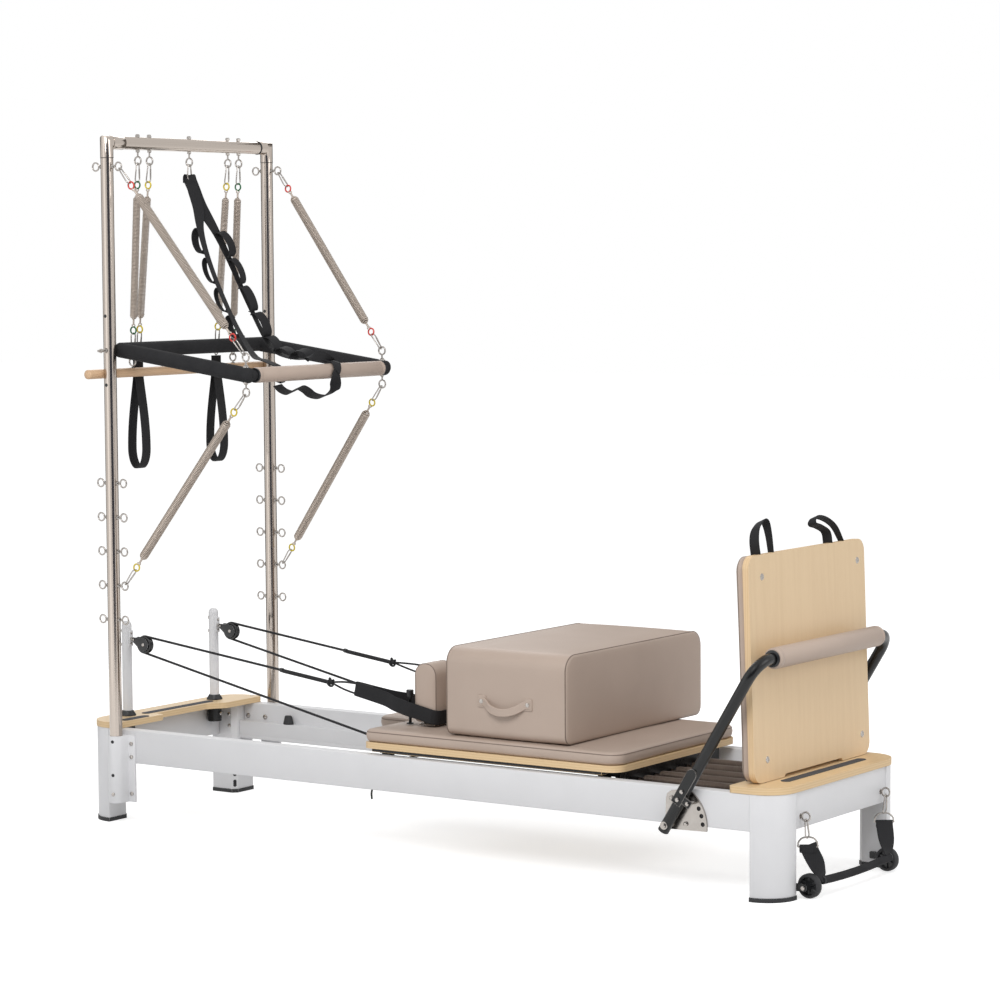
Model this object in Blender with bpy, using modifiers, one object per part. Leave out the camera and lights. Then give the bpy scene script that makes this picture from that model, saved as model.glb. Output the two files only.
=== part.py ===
# Pilates reformer with a half tower, push-through bar, jump board and sitting box.
# Metres, +Z up. +X runs to the foot end, the tower stands at the head end (-X), the near side is -Y.
# Places below are measured from the middle of the frame, on the floor. The last lines move the whole
# object so that its origin is on the floor, under the middle of its whole length, foot handle included.
import math

import bmesh
import bpy
from mathutils import Matrix, Vector

for leftover in list(bpy.data.objects):
    bpy.data.objects.remove(leftover, do_unlink=True)

# General fits
GAP = 0.0003
PIN_CLEARANCE = 0.0003
WELD = 0.002
SLEEVE_PLAY = 0.0009
ORIGIN_X = 0.02625

# Frame
FRAME_LENGTH = 2.400
FRAME_WIDTH = 0.690
FRAME_TOP = 0.285
LEG_SIZE = 0.090
LEG_ROUND = 0.086
LEG_CHAMFER = 0.014
FOOT_PAD_HEIGHT = 0.012
FOOT_PAD_LIP = 0.0015
RAIL_HEIGHT = 0.099
RAIL_THICKNESS = 0.040
TRACK_WIDTH = 0.026
TRACK_HEIGHT = 0.044
BEAM_THICKNESS = 0.025
BEAM_RECESS = 0.003

# Wooden platforms
WOOD_THICKNESS = 0.018
PLATFORM_OVERHANG = 0.0015
HEAD_PLATFORM_DEPTH = 0.130
HEAD_NOTCH_DEPTH = 0.038
HEAD_NOTCH_NEAR = -0.130
HEAD_NOTCH_FAR = 0.115
FOOT_PLATFORM_DEPTH = 0.155
STRIP_THICKNESS = 0.0015
STRIP_WIDTH = 0.028

# Tower
POST_RADIUS = 0.019
POST_X = -1.050
POST_STAND_OFF = 0.032
POST_BOTTOM = 0.076
BAR_HEIGHT = 2.035
ELBOW_RADIUS = 0.0205
ELBOW_DROP = 0.045
ELBOW_REACH = 0.050
SOCKET_BOTTOM = 0.070
SOCKET_TOP = 0.271
SOCKET_WALL = 0.006
SOCKET_FLANGE = 0.025
SOCKET_FLANGE_THICKNESS = 0.006
SOCKET_BOLT_HEIGHT = 0.205
TOP_ROW_HEIGHT = 1.964
LOW_ROW_HEIGHT = 1.028
ROW_PITCH = 0.102
LOW_ROWS = 5

# Eyebolts, spring clips and rings
EYE_RADIUS = 0.012
EYE_WIRE = 0.0025
HOOK_CLEARANCE = 0.0012
POST_SHANK = 0.013
CORNER_SHANK = 0.017
TOP_SHANK = 0.020
DOWEL_SHANK = 0.006
NUT_RADIUS = 0.0065
NUT_HEIGHT = 0.005
CLIP_WIRE = 0.002
CLIP_LENGTH = 0.058
DROP_CLIP_LENGTH = 0.080
CLIP_SMALL = 0.0065
CLIP_LARGE = 0.0095
RING_RADIUS = 0.011
RING_WIRE = 0.002
RING_SEAT = 0.0012
SPRING_WIRE = 0.0018
SPRING_RADIUS = 0.0092
SPRING_NECK = 0.024
SPRING_CURLS = 3

# Push-through bar
PTB_PIVOT_HEIGHT = 1.422
PTB_HOLE_PITCH = 0.102
PTB_ARM_OFFSET = 0.331
PTB_FOAM_RADIUS = 0.0225
PTB_FRONT_X = -0.560
PTB_FRONT_HEIGHT = 1.354
PTB_GRIP_RADIUS = 0.0225
PTB_TUBE_RADIUS = 0.016
PTB_EYE_SETBACK = 0.012
PTB_PIN_RADIUS = 0.005
PTB_PIN_REACH = 0.034
PTB_KNOB_RADIUS = 0.0075
PTB_KNOB_LENGTH = 0.014

# Things hanging under the top bar
DOWEL_SPACING = 0.476
LOOP_SPACING = 0.370
DOWEL_RADIUS = 0.014
DOWEL_LENGTH = 0.888
DOWEL_HEIGHT = 1.352
LOOP_BAND = 0.038
LOOP_TAPE = 0.003
LOOP_LENGTH = 0.330
LOOP_NECK = 0.175
LOOP_HALF_WIDTH = 0.029
LOOP_NECK_HALF = 0.0045
LOOP_TOP_HEIGHT = 1.390
STRAP_WIDTH = 0.028
STRAP_THICKNESS = 0.0025

# Risers and pulleys
RISER_RADIUS = 0.015
RISER_TOP = 0.594
RISER_BOTTOM = 0.196
RISER_SPACING = 0.414
CLAMP_WALL = 0.0067
CLAMP_HEIGHT = 0.050
COLLAR_HEIGHT = 0.016
COLLAR_RADIUS = 0.025
COLLAR_TOP_RADIUS = 0.0175
SHEAVE_X = -1.077
SHEAVE_HEIGHT = 0.525
SHEAVE_RADIUS = 0.027
SHEAVE_GROOVE = 0.021
SHEAVE_WIDTH = 0.016
SHEAVE_BORE = 0.0033
CHEEK_THICKNESS = 0.002
CHEEK_RADIUS = 0.020
CHEEK_NOSE = 0.007
EYE_PLATE_HEIGHT = 0.048
EYE_PLATE_WIDTH = 0.018
EYE_PLATE_THICKNESS = 0.003
ROPE_RADIUS = 0.003

# Carriage
CARRIAGE_LENGTH = 0.855
CARRIAGE_WIDTH = 0.650
CARRIAGE_FOOT_END = 0.690
CARRIAGE_HEIGHT = 0.300
CARRIAGE_CORNER = 0.045
PAD_HEIGHT = 0.036
PAD_CROWN = 0.004
WHEEL_RADIUS = 0.023
WHEEL_WIDTH = 0.018
WHEEL_BORE_SIDE = 0.005
HEAD_WHEEL_X = -0.122
FOOT_WHEEL_X = 0.610
BRACKET_THICKNESS = 0.006
BRACKET_LENGTH = 0.040
AXLE_RADIUS = 0.004
HOOK_BAR_X = 0.660
CARRIAGE_SPRINGS = 5
CARRIAGE_SPRING_PITCH = 0.085
CARRIAGE_SPRING_RADIUS = 0.0112
CARRIAGE_SPRING_WIRE = 0.002
CARRIAGE_SPRING_CURLS = 2
CARRIAGE_SPRING_HEIGHT = 0.262
SPRING_BAR_X = 1.085
SPRING_BAR_RADIUS = 0.010
RAIL_STOP_X = -0.922
RAIL_BOLT_X = -1.060
CLEAT_THICKNESS = 0.007
HEADREST_WIDTH = 0.202
HEADREST_LENGTH = 0.212
HEADREST_TIP = -0.287
HEADREST_BOARD = 0.013
HEADREST_SIDE_GAP = 0.004
HINGE_LUG = 0.022
REST_THICKNESS = 0.073
REST_WIDTH = 0.100
REST_HEIGHT = 0.168
REST_X = -0.0315
REST_SPACING = 0.324
REST_BASE_HEIGHT = 0.0135
STRAP_BAND = 0.042
STRAP_TAPE = 0.003
STRAP_LENGTH = 0.290
STRAP_HEIGHT = 0.387
STRAP_TILT = 12.0

# Sitting box
BOX_LENGTH = 0.720
BOX_WIDTH = 0.416
BOX_HEIGHT = 0.246
BOX_CORNER = 0.045
BOX_X = 0.311
BOX_Y = 0.055
HANDLE_WIDTH = 0.022
HANDLE_TAPE = 0.003
HANDLE_STAND_OFF = 0.00125

# Foot bar
FOOTBAR_PIVOT_X = 0.872
FOOTBAR_PIVOT_HEIGHT = 0.186
FOOTBAR_TUBE_RADIUS = 0.0155
FOOTBAR_TOP_X = 1.150
FOOTBAR_TOP_HEIGHT = 0.640
FOOTBAR_BEND = 0.060
FOOTBAR_TAIL = 0.020
FOOTBAR_GRIP_RADIUS = 0.0285
FOOTBAR_GRIP_LENGTH = 0.586
PLATE_THICKNESS = 0.006
PLATE_RADIUS = 0.112
HOLE_CIRCLE = 0.100
HOLE_RADIUS = 0.006
HOLE_ANGLES = (41.0, 29.0, 17.0, 4.0)
LATCH_RADIUS = 0.0055
LEVER_THICKNESS = 0.004
LEVER_WIDTH = 0.030

# Jump board
JUMP_WIDTH = 0.660
JUMP_HEIGHT = 0.602
JUMP_LEAN = 2.0
JUMP_FOOT_X = 1.109
JUMP_CORNER = 0.035
JUMP_PAD = 0.027
JUMP_PAD_CROWN = 0.003
JUMP_NOTCH_WIDTH = 0.328
JUMP_NOTCH_HEIGHT = 0.008
PEG_RADIUS = 0.006
PEG_SPACING = 0.500
PEG_CLEARANCE = 0.001

# Transport wheels and foot handle
ROAD_WHEEL_X = 1.221
ROAD_WHEEL_HEIGHT = 0.034
ROAD_WHEEL_RADIUS = 0.029
ROAD_WHEEL_WIDTH = 0.024
ROAD_WHEEL_OFFSET = 0.220
FOOT_EYE_SPACING = 0.452
FOOT_EYE_HEIGHT = 0.218
FOOT_EYE_SHANK = 0.004
FOOT_CLIP_LENGTH = 0.052
GRIP_TUBE_X = 1.243
GRIP_TUBE_HEIGHT = 0.046
GRIP_TUBE_RADIUS = 0.011
GRIP_TUBE_LENGTH = 0.380

HALF_LENGTH = FRAME_LENGTH / 2
HALF_WIDTH = FRAME_WIDTH / 2
RAIL_BOTTOM = FRAME_TOP - RAIL_HEIGHT
TRACK_TOP = RAIL_BOTTOM + TRACK_HEIGHT
PLATFORM_BOTTOM = FRAME_TOP + GAP
PLATFORM_TOP = PLATFORM_BOTTOM + WOOD_THICKNESS
POST_Y = HALF_WIDTH + POST_STAND_OFF
POST_HEIGHT = BAR_HEIGHT - ELBOW_DROP
RISER_X = -HALF_LENGTH + BEAM_RECESS + BEAM_THICKNESS + GAP + RISER_RADIUS + CLAMP_WALL
RISER_Y = RISER_SPACING / 2
BOARD_TOP = CARRIAGE_HEIGHT + WOOD_THICKNESS
PAD_TOP = BOARD_TOP + GAP + PAD_HEIGHT + PAD_CROWN
CARRIAGE_HEAD_END = CARRIAGE_FOOT_END - CARRIAGE_LENGTH
TRACK_INNER = HALF_WIDTH - RAIL_THICKNESS - TRACK_WIDTH
BAR_UNDERSIDE = BAR_HEIGHT - POST_RADIUS
FOOT_BEAM_FACE = HALF_LENGTH - BEAM_RECESS

PARTS = bpy.data.collections.new("pilates_reformer")
CUTTERS = bpy.data.collections.new("cutters")
for holder in (PARTS, CUTTERS):
    bpy.context.scene.collection.children.link(holder)

UP = Vector((0.0, 0.0, 1.0))
LENGTHWISE = Vector((1.0, 0.0, 0.0))
SIDEWAYS = Vector((0.0, 1.0, 0.0))
SIDES = (-1.0, 1.0)


def surface(name, colour, roughness, metallic=0.0):
    made = bpy.data.materials.new(name)
    made.use_nodes = True
    shader = made.node_tree.nodes["Principled BSDF"]
    shader.inputs["Base Color"].default_value = (*colour, 1.0)
    shader.inputs["Roughness"].default_value = roughness
    shader.inputs["Metallic"].default_value = metallic
    made.diffuse_color = (*colour, 1.0)
    return made


POWDER = surface("powder_coat", (0.70, 0.70, 0.71), 0.45)
STEEL = surface("stainless_steel", (0.62, 0.60, 0.57), 0.25, 1.0)
BRIGHT = surface("bright_zinc", (0.75, 0.75, 0.76), 0.25, 1.0)
BLACK_METAL = surface("black_metal", (0.030, 0.031, 0.034), 0.4, 0.3)
FOAM = surface("black_foam", (0.030, 0.030, 0.032), 0.85)
WEBBING = surface("black_webbing", (0.025, 0.025, 0.027), 0.8)
RUBBER = surface("black_rubber", (0.022, 0.022, 0.024), 0.7)
PLYWOOD = surface("birch_plywood", (0.72, 0.54, 0.33), 0.45)
BEECH = surface("beech", (0.68, 0.46, 0.31), 0.5)
VINYL = surface("beige_vinyl", (0.46, 0.37, 0.31), 0.5)
SPRING_STEEL = surface("spring_wire", (0.40, 0.36, 0.33), 0.35, 0.9)


def new_object(name, mesh):
    made = bpy.data.objects.new(name, mesh)
    bpy.context.scene.collection.objects.link(made)
    return made


def mesh_of(source):
    """The evaluated mesh of an object, in world space, as a new object."""
    depsgraph = bpy.context.evaluated_depsgraph_get()
    depsgraph.update()
    mesh = bpy.data.meshes.new_from_object(source.evaluated_get(depsgraph))
    made = new_object(source.name + "_mesh", mesh)
    made.matrix_world = source.matrix_world
    return made


def baked(made, matrix):
    made.data.transform(matrix)
    return made


def clean(made):
    """Welds loose caps and turns every face outward."""
    work = bmesh.new()
    work.from_mesh(made.data)
    bmesh.ops.remove_doubles(work, verts=work.verts, dist=0.00001)
    bmesh.ops.recalc_face_normals(work, faces=work.faces)
    work.to_mesh(made.data)
    work.free()
    return made


def from_curve(curve):
    """The mesh object of a curve, with its caps welded."""
    holder = bpy.data.objects.new("curve", curve)
    bpy.context.scene.collection.objects.link(holder)
    bpy.context.view_layer.update()
    made = mesh_of(holder)
    bpy.data.objects.remove(holder, do_unlink=True)
    bpy.data.curves.remove(curve)
    return clean(made)


def tube(points, radius, resolution=2, closed=False):
    """Round wire or tube through the given points."""
    curve = bpy.data.curves.new("route", "CURVE")
    curve.dimensions = "3D"
    curve.bevel_depth = radius
    curve.bevel_resolution = resolution
    curve.use_fill_caps = not closed
    spline = curve.splines.new("POLY")
    spline.points.add(len(points) - 1)
    for knot, place in zip(spline.points, points):
        knot.co = (*place, 1.0)
    spline.use_cyclic_u = closed
    return from_curve(curve)


def outline_solid(loops, thickness):
    """Flat outline with holes in the XY plane, centred on it, as a solid of the given thickness."""
    curve = bpy.data.curves.new("outline", "CURVE")
    curve.dimensions = "2D"
    curve.fill_mode = "BOTH"
    curve.extrude = thickness / 2
    for loop in loops:
        spline = curve.splines.new("POLY")
        spline.points.add(len(loop) - 1)
        for knot, (x, y) in zip(spline.points, loop):
            knot.co = (x, y, 0.0, 1.0)
        spline.use_cyclic_u = True
    return from_curve(curve)


def axes_matrix(origin, x_axis, y_axis, z_axis):
    turned = Matrix((x_axis, y_axis, z_axis)).transposed().to_4x4()
    return Matrix.Translation(origin) @ turned


def upright_plate(loops, low, high):
    """Outline in the XY plane, from height low to high."""
    made = outline_solid(loops, high - low)
    return baked(made, Matrix.Translation((0, 0, (low + high) / 2)))


def side_plate(loops, start, end):
    """Outline of (x, z) points, solid between two places on Y."""
    made = outline_solid(loops, abs(end - start))
    middle = Vector((0, (start + end) / 2, 0))
    return clean(baked(made, axes_matrix(middle, LENGTHWISE, UP, -SIDEWAYS)))


def cross_plate(loops, start, end):
    """Outline of (y, z) points, solid between two places on X."""
    made = outline_solid(loops, abs(end - start))
    middle = Vector(((start + end) / 2, 0, 0))
    return clean(baked(made, axes_matrix(middle, SIDEWAYS, UP, LENGTHWISE)))


def rod(start, end, radius, segments=16, half_turned=False):
    """Cylinder between two points. Half turned, it has facets and not corners facing its sides."""
    start, end = Vector(start), Vector(end)
    work = bmesh.new()
    bmesh.ops.create_cone(
        work, cap_ends=True, segments=segments, radius1=radius, radius2=radius, depth=(end - start).length
    )
    turn = UP.rotation_difference(end - start).to_matrix().to_4x4()
    if half_turned:
        turn = turn @ Matrix.Rotation(math.pi / segments, 4, "Z")
    bmesh.ops.transform(work, matrix=Matrix.Translation((start + end) / 2) @ turn, verts=work.verts)
    mesh = bpy.data.meshes.new("rod")
    work.to_mesh(mesh)
    work.free()
    return new_object("rod", mesh)


def block(low, high):
    """Box between two corners."""
    low, high = Vector(low), Vector(high)
    work = bmesh.new()
    bmesh.ops.create_cube(work, size=1.0)
    size = high - low
    bmesh.ops.transform(
        work, matrix=Matrix.Translation((low + high) / 2) @ Matrix.Diagonal((*size, 1.0)), verts=work.verts
    )
    mesh = bpy.data.meshes.new("block")
    work.to_mesh(mesh)
    work.free()
    return new_object("block", mesh)


def turned(profile, origin, axis, steps=16, closed=False):
    """Profile of (radius, height) points, outer side from top to bottom, turned about an axis."""
    mesh = bpy.data.meshes.new("profile")
    places = [(radius, 0.0, height) for radius, height in profile]
    links = [(i, i + 1) for i in range(len(places) - 1)]
    if closed:
        links.append((len(places) - 1, 0))
    mesh.from_pydata(places, links, [])
    holder = new_object("profile", mesh)
    screw = holder.modifiers.new("turn", "SCREW")
    screw.axis = "Z"
    screw.angle = math.tau
    screw.steps = steps
    screw.render_steps = steps
    screw.use_merge_vertices = True
    screw.merge_threshold = 0.00005
    bpy.context.view_layer.update()
    made = clean(mesh_of(holder))
    bpy.data.objects.remove(holder, do_unlink=True)
    turn = UP.rotation_difference(Vector(axis)).to_matrix().to_4x4()
    return baked(made, Matrix.Translation(origin) @ turn)


def ribbon(points, widths, width, thickness, closed=False):
    """Flat tape along points. widths gives the direction of its width at each point."""
    count = len(points)
    work = bmesh.new()
    rings = []
    for i, place in enumerate(points):
        before = points[i - 1] if closed or i > 0 else points[i]
        after = points[(i + 1) % count] if closed or i < count - 1 else points[i]
        along = (Vector(after) - Vector(before)).normalized()
        across = Vector(widths[i])
        across = (across - across.dot(along) * along).normalized()
        normal = along.cross(across)
        rings.append(
            [
                work.verts.new(Vector(place) + across * width / 2 * side + normal * thickness / 2 * face)
                for side, face in ((-1, -1), (1, -1), (1, 1), (-1, 1))
            ]
        )
    for i in range(count if closed else count - 1):
        first, second = rings[i], rings[(i + 1) % count]
        for k in range(4):
            m = (k + 1) % 4
            work.faces.new((first[k], first[m], second[m], second[k]))
    if not closed:
        work.faces.new(rings[0])
        work.faces.new(rings[-1])
    bmesh.ops.recalc_face_normals(work, faces=work.faces)
    mesh = bpy.data.meshes.new("ribbon")
    work.to_mesh(mesh)
    work.free()
    return new_object("ribbon", mesh)


def cushion(width, depth, height, corners, crown, under_crown=0.0, draw_in=0.0, edge=0.008, shelf=0.8):
    """Upholstered form on the XY plane: round corners, drawn-in sides, rolled edges and a crown."""
    outline = []
    corner_steps = 3
    centres = ((1, 1), (-1, 1), (-1, -1), (1, -1))
    for i, (sx, sy) in enumerate(centres):
        radius = corners[i]
        middle = Vector((sx * (width / 2 - radius), sy * (depth / 2 - radius)))
        for k in range(corner_steps + 1):
            angle = math.radians(90 * i + 90 * k / corner_steps)
            outline.append(middle + radius * Vector((math.cos(angle), math.sin(angle))))
        inward = (Vector((0, 1)), Vector((-1, 0)), Vector((0, -1)), Vector((1, 0)))[i]
        reach = depth / 2 if i % 2 == 0 else width / 2
        outline.append(inward * (reach - draw_in))
    levels = [
        (edge, 0.0),
        (0.0, edge),
        (0.0, height - edge),
        (edge, height - 0.15 * edge),
    ]
    work = bmesh.new()
    rings = []
    for inset, level in levels:
        shrink = Vector(((width - 2 * inset) / width, (depth - 2 * inset) / depth))
        rings.append([work.verts.new((p.x * shrink.x, p.y * shrink.y, level)) for p in outline])
    rings.append([work.verts.new((p.x * shelf, p.y * shelf, height + crown)) for p in outline])
    if under_crown > 0:
        rings.insert(0, [work.verts.new((p.x * shelf, p.y * shelf, -under_crown)) for p in outline])
    count = len(outline)
    for low, high in zip(rings, rings[1:]):
        for k in range(count):
            m = (k + 1) % count
            work.faces.new((low[k], low[m], high[m], high[k]))
    work.faces.new(reversed(rings[0]))
    work.faces.new(rings[-1])
    bmesh.ops.recalc_face_normals(work, faces=work.faces)
    mesh = bpy.data.meshes.new("cushion")
    work.to_mesh(mesh)
    work.free()
    return new_object("cushion", mesh)


def joined(pieces):
    """Several separate solids in one object."""
    work = bmesh.new()
    for piece in pieces:
        work.from_mesh(piece.data)
    mesh = bpy.data.meshes.new("group")
    work.to_mesh(mesh)
    work.free()
    for piece in pieces:
        bpy.data.objects.remove(piece, do_unlink=True)
    return new_object("group", mesh)


def united(base, pieces, solver="EXACT"):
    """A shape with others that overlap it, or each other, as one closed body."""
    added = joined(pieces)
    modifier = base.modifiers.new("union", "BOOLEAN")
    modifier.operation = "UNION"
    modifier.solver = solver
    modifier.use_self = solver == "EXACT"
    modifier.object = added
    bpy.context.view_layer.update()
    made = clean(mesh_of(base))
    for piece in (base, added):
        bpy.data.objects.remove(piece, do_unlink=True)
    return made


def cut(made, cutters, solver="EXACT"):
    """Takes the cutters' shapes out of a solid. The modifiers stay on it."""
    for cutter in cutters:
        for holder in list(cutter.users_collection):
            holder.objects.unlink(cutter)
        CUTTERS.objects.link(cutter)
        cutter.display_type = "WIRE"
        cutter.hide_render = True
        modifier = made.modifiers.new("cut", "BOOLEAN")
        modifier.operation = "DIFFERENCE"
        modifier.solver = solver
        modifier.object = cutter
    return made


def finished(name, made, finish, origin=(0.0, 0.0, 0.0), smooth_angle=35.0):
    """Names a part, gives it its finish, and sets its origin on its joint's axis."""
    made.name = name
    made.data.name = name
    made.data.materials.clear()
    made.data.materials.append(finish)
    made.data.transform(Matrix.Translation(-Vector(origin)))
    made.location = origin
    made.data.shade_smooth()
    made.data.set_sharp_from_angle(angle=math.radians(smooth_angle))
    for holder in list(made.users_collection):
        holder.objects.unlink(made)
    PARTS.objects.link(made)
    return made


def arc(centre, radius, start, end, steps):
    """Points of an arc, angles in degrees."""
    turn = [math.radians(start + (end - start) * k / steps) for k in range(steps + 1)]
    return [(centre[0] + radius * math.cos(a), centre[1] + radius * math.sin(a)) for a in turn]


def rounded_rectangle(low, high, radii, steps=4):
    """Corner radii run from (high, high), counter-clockwise."""
    (x0, y0), (x1, y1) = low, high
    corners = ((x1, y1, -1, -1), (x0, y1, 1, -1), (x0, y0, 1, 1), (x1, y0, -1, 1))
    points = []
    for i, (x, y, sx, sy) in enumerate(corners):
        radius = radii[i]
        points += arc((x + sx * radius, y + sy * radius), radius, 90 * i, 90 * i + 90, steps)
    return points


# Eyebolts, clips, rings and springs


def ring_points(centre, radius, first, second, count, start=0.0):
    """Points round a centre, from the first direction towards the second."""
    return [
        centre
        + radius * (math.cos(math.tau * (start + k) / count) * first)
        + radius * (math.sin(math.tau * (start + k) / count) * second)
        for k in range(count)
    ]


def eye_bolt(base, outward, normal, shank, contact):
    """Bent wire eye: a shank out of a face, and a loop whose corners match the contact direction."""
    base, outward, contact = Vector(base), Vector(outward), Vector(contact)
    start = base - outward * WELD
    centre = base + outward * (shank + EYE_RADIUS)
    across = normal.cross(outward)
    count = 8
    contact_turn = math.atan2(contact.dot(across), contact.dot(outward))
    points = [start, centre - outward * EYE_RADIUS]
    turns = sorted(
        (contact_turn + math.tau * k / count + math.pi) % math.tau for k in range(count)
    )
    for turn in turns:
        if math.radians(40) < turn < math.radians(320):
            angle = turn - math.pi
            points.append(centre + EYE_RADIUS * (math.cos(angle) * outward + math.sin(angle) * across))
    return tube(points, EYE_WIRE, 0), centre


def nut(base, outward, height=NUT_HEIGHT, radius=NUT_RADIUS):
    base, outward = Vector(base), Vector(outward)
    return rod(base - outward * WELD * 0.6, base + outward * height, radius, 6)


def clip(start, along, across, length):
    """Pear-shaped spring clip from a point of wire, closed."""
    points = []
    for angle, radius, middle in (
        (-110, CLIP_SMALL, CLIP_SMALL),
        (-60, CLIP_LARGE, length - CLIP_LARGE),
        (0, CLIP_LARGE, length - CLIP_LARGE),
        (60, CLIP_LARGE, length - CLIP_LARGE),
        (110, CLIP_SMALL, CLIP_SMALL),
        (180, CLIP_SMALL, CLIP_SMALL),
    ):
        turn = math.radians(angle)
        points.append(start + along * (middle + radius * math.cos(turn)) + across * radius * math.sin(turn))
    return tube(points, CLIP_WIRE, 0, True)


LEAST_GAPS = {}


def spring(label, start, end, radius, wire, curls, neck):
    """Coil of one unbroken wire, with a straight neck on its axis at each end."""
    start, end = Vector(start), Vector(end)
    along = (end - start).normalized()
    first = along.orthogonal().normalized()
    second = along.cross(first)
    per_curl = 8
    ramp = 3
    length = (end - start).length - 2 * neck
    count = curls * per_curl
    points = [start, start + along * (neck - wire * 2)]
    for k in range(count + 1):
        grow = min(1.0, (k + 1) / ramp, (count - k + 1) / ramp)
        turn = math.tau * k / per_curl
        out = radius * grow * (math.cos(turn) * first + math.sin(turn) * second)
        points.append(start + along * (neck + length * k / count) + out)
    points += [end - along * (neck - wire * 2), end]
    nearest = min(
        (points[i] - points[j]).length
        for i in range(len(points))
        for j in range(i + per_curl - 2, len(points))
    )
    LEAST_GAPS[label] = nearest - 2 * wire
    return tube(points, wire, 1)


def hanging_spring(label, anchor, target, last_clip, last_hooks=True):
    """Clip, ring, spring, ring and clip in one straight line from one eye's centre to another's.
    Where the last clip hooks nothing, the target is the end of the clip."""
    anchor, target = Vector(anchor), Vector(target)
    along = (target - anchor).normalized()
    side = (SIDEWAYS - SIDEWAYS.dot(along) * along).normalized()
    front = along.cross(side)
    seat = CLIP_WIRE + RING_WIRE - RING_SEAT
    total = (target - anchor).length
    fittings = []
    ends = []
    for origin, way, clip_length, hooked in (
        (anchor, along, CLIP_LENGTH, True),
        (target, -along, last_clip, last_hooks),
    ):
        begin = clip_inside() if hooked else CLIP_WIRE
        fittings.append(clip(origin + way * begin, way, side, clip_length))
        ring_near = begin + clip_length - seat
        centre = origin + way * (ring_near + RING_RADIUS)
        fittings.append(tube(ring_points(centre, RING_RADIUS, way, front, 6), RING_WIRE, 0, True))
        ends.append(ring_near + 2 * RING_RADIUS)
    coil = spring(
        label,
        anchor + along * ends[0],
        anchor + along * (total - ends[1]),
        SPRING_RADIUS,
        SPRING_WIRE,
        SPRING_CURLS,
        SPRING_NECK,
    )
    return united(coil, fittings)


# Frame


def make_rails():
    top = FRAME_TOP
    for name, side in (("near_rail", -1), ("far_rail", 1)):
        outer = side * HALF_WIDTH
        wall = side * (HALF_WIDTH - RAIL_THICKNESS)
        inner = side * TRACK_INNER
        profile = [
            (outer, RAIL_BOTTOM),
            (inner, RAIL_BOTTOM),
            (inner, TRACK_TOP),
            (wall, TRACK_TOP),
            (wall, top),
            (outer, top),
        ]
        reach = HALF_LENGTH - LEG_SIZE - GAP
        rail = cross_plate([profile], -reach, reach)
        stop_place = Vector((RAIL_STOP_X, side * (TRACK_INNER + TRACK_WIDTH / 2), TRACK_TOP))
        stop_profile = [(0.0, 0.026), (0.009, 0.026), (0.0125, 0.018), (0.0125, -WELD), (0.0, -WELD)]
        fittings = [turned(stop_profile, stop_place, UP, 12)]
        fittings.append(nut((RAIL_BOLT_X, wall, FRAME_TOP - 0.030), -SIDEWAYS * side, 0.004, 0.006))
        finished(name, united(rail, fittings), POWDER)


def make_beams():
    reach = HALF_WIDTH - LEG_SIZE - GAP
    for name, side in (("head_beam", -1), ("foot_beam", 1)):
        outer = side * (HALF_LENGTH - BEAM_RECESS)
        inner = outer - side * BEAM_THICKNESS
        low = (min(outer, inner), -reach, RAIL_BOTTOM)
        high = (max(outer, inner), reach, FRAME_TOP)
        beam = block(low, high)
        if side > 0:
            eyes = []
            for way in SIDES:
                face = Vector((FOOT_BEAM_FACE, way * FOOT_EYE_SPACING / 2, FOOT_EYE_HEIGHT))
                eyes.append(eye_bolt(face, LENGTHWISE, SIDEWAYS, FOOT_EYE_SHANK, -UP)[0])
            beam = united(beam, eyes)
        finished(name, beam, POWDER)


def leg_outline(end, side, grow=0.0):
    """Square with one big round outer corner and a chamfer on the inner one."""
    size = LEG_SIZE + grow
    outer_x = end * (HALF_LENGTH + grow)
    outer_y = side * (HALF_WIDTH + grow)
    inner_x = outer_x - end * (size + grow)
    inner_y = outer_y - side * (size + grow)
    middle = (outer_x - end * LEG_ROUND, outer_y - side * LEG_ROUND)
    points = []
    for k in range(7):
        turn = math.radians(90 * k / 6)
        out_x = end * LEG_ROUND * math.cos(turn)
        out_y = side * LEG_ROUND * math.sin(turn)
        points.append((middle[0] + out_x, middle[1] + out_y))
    points.append((inner_x, outer_y))
    points.append((inner_x, inner_y + side * LEG_CHAMFER))
    points.append((inner_x + end * LEG_CHAMFER, inner_y))
    points.append((outer_x, inner_y))
    return points


def make_legs():
    """Legs with their rubber feet; the foot end's legs also carry the transport wheels' forks."""
    for end_name, end in (("head", -1), ("foot", 1)):
        for side_name, side in (("near", -1), ("far", 1)):
            leg = upright_plate([leg_outline(end, side)], FOOT_PAD_HEIGHT - WELD, FRAME_TOP)
            pieces = [upright_plate([leg_outline(end, side, FOOT_PAD_LIP)], 0.0, FOOT_PAD_HEIGHT)]
            if end > 0:
                pieces += wheel_fork(side)
            finished(f"{side_name}_{end_name}_leg", united(leg, pieces), POWDER)


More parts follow.
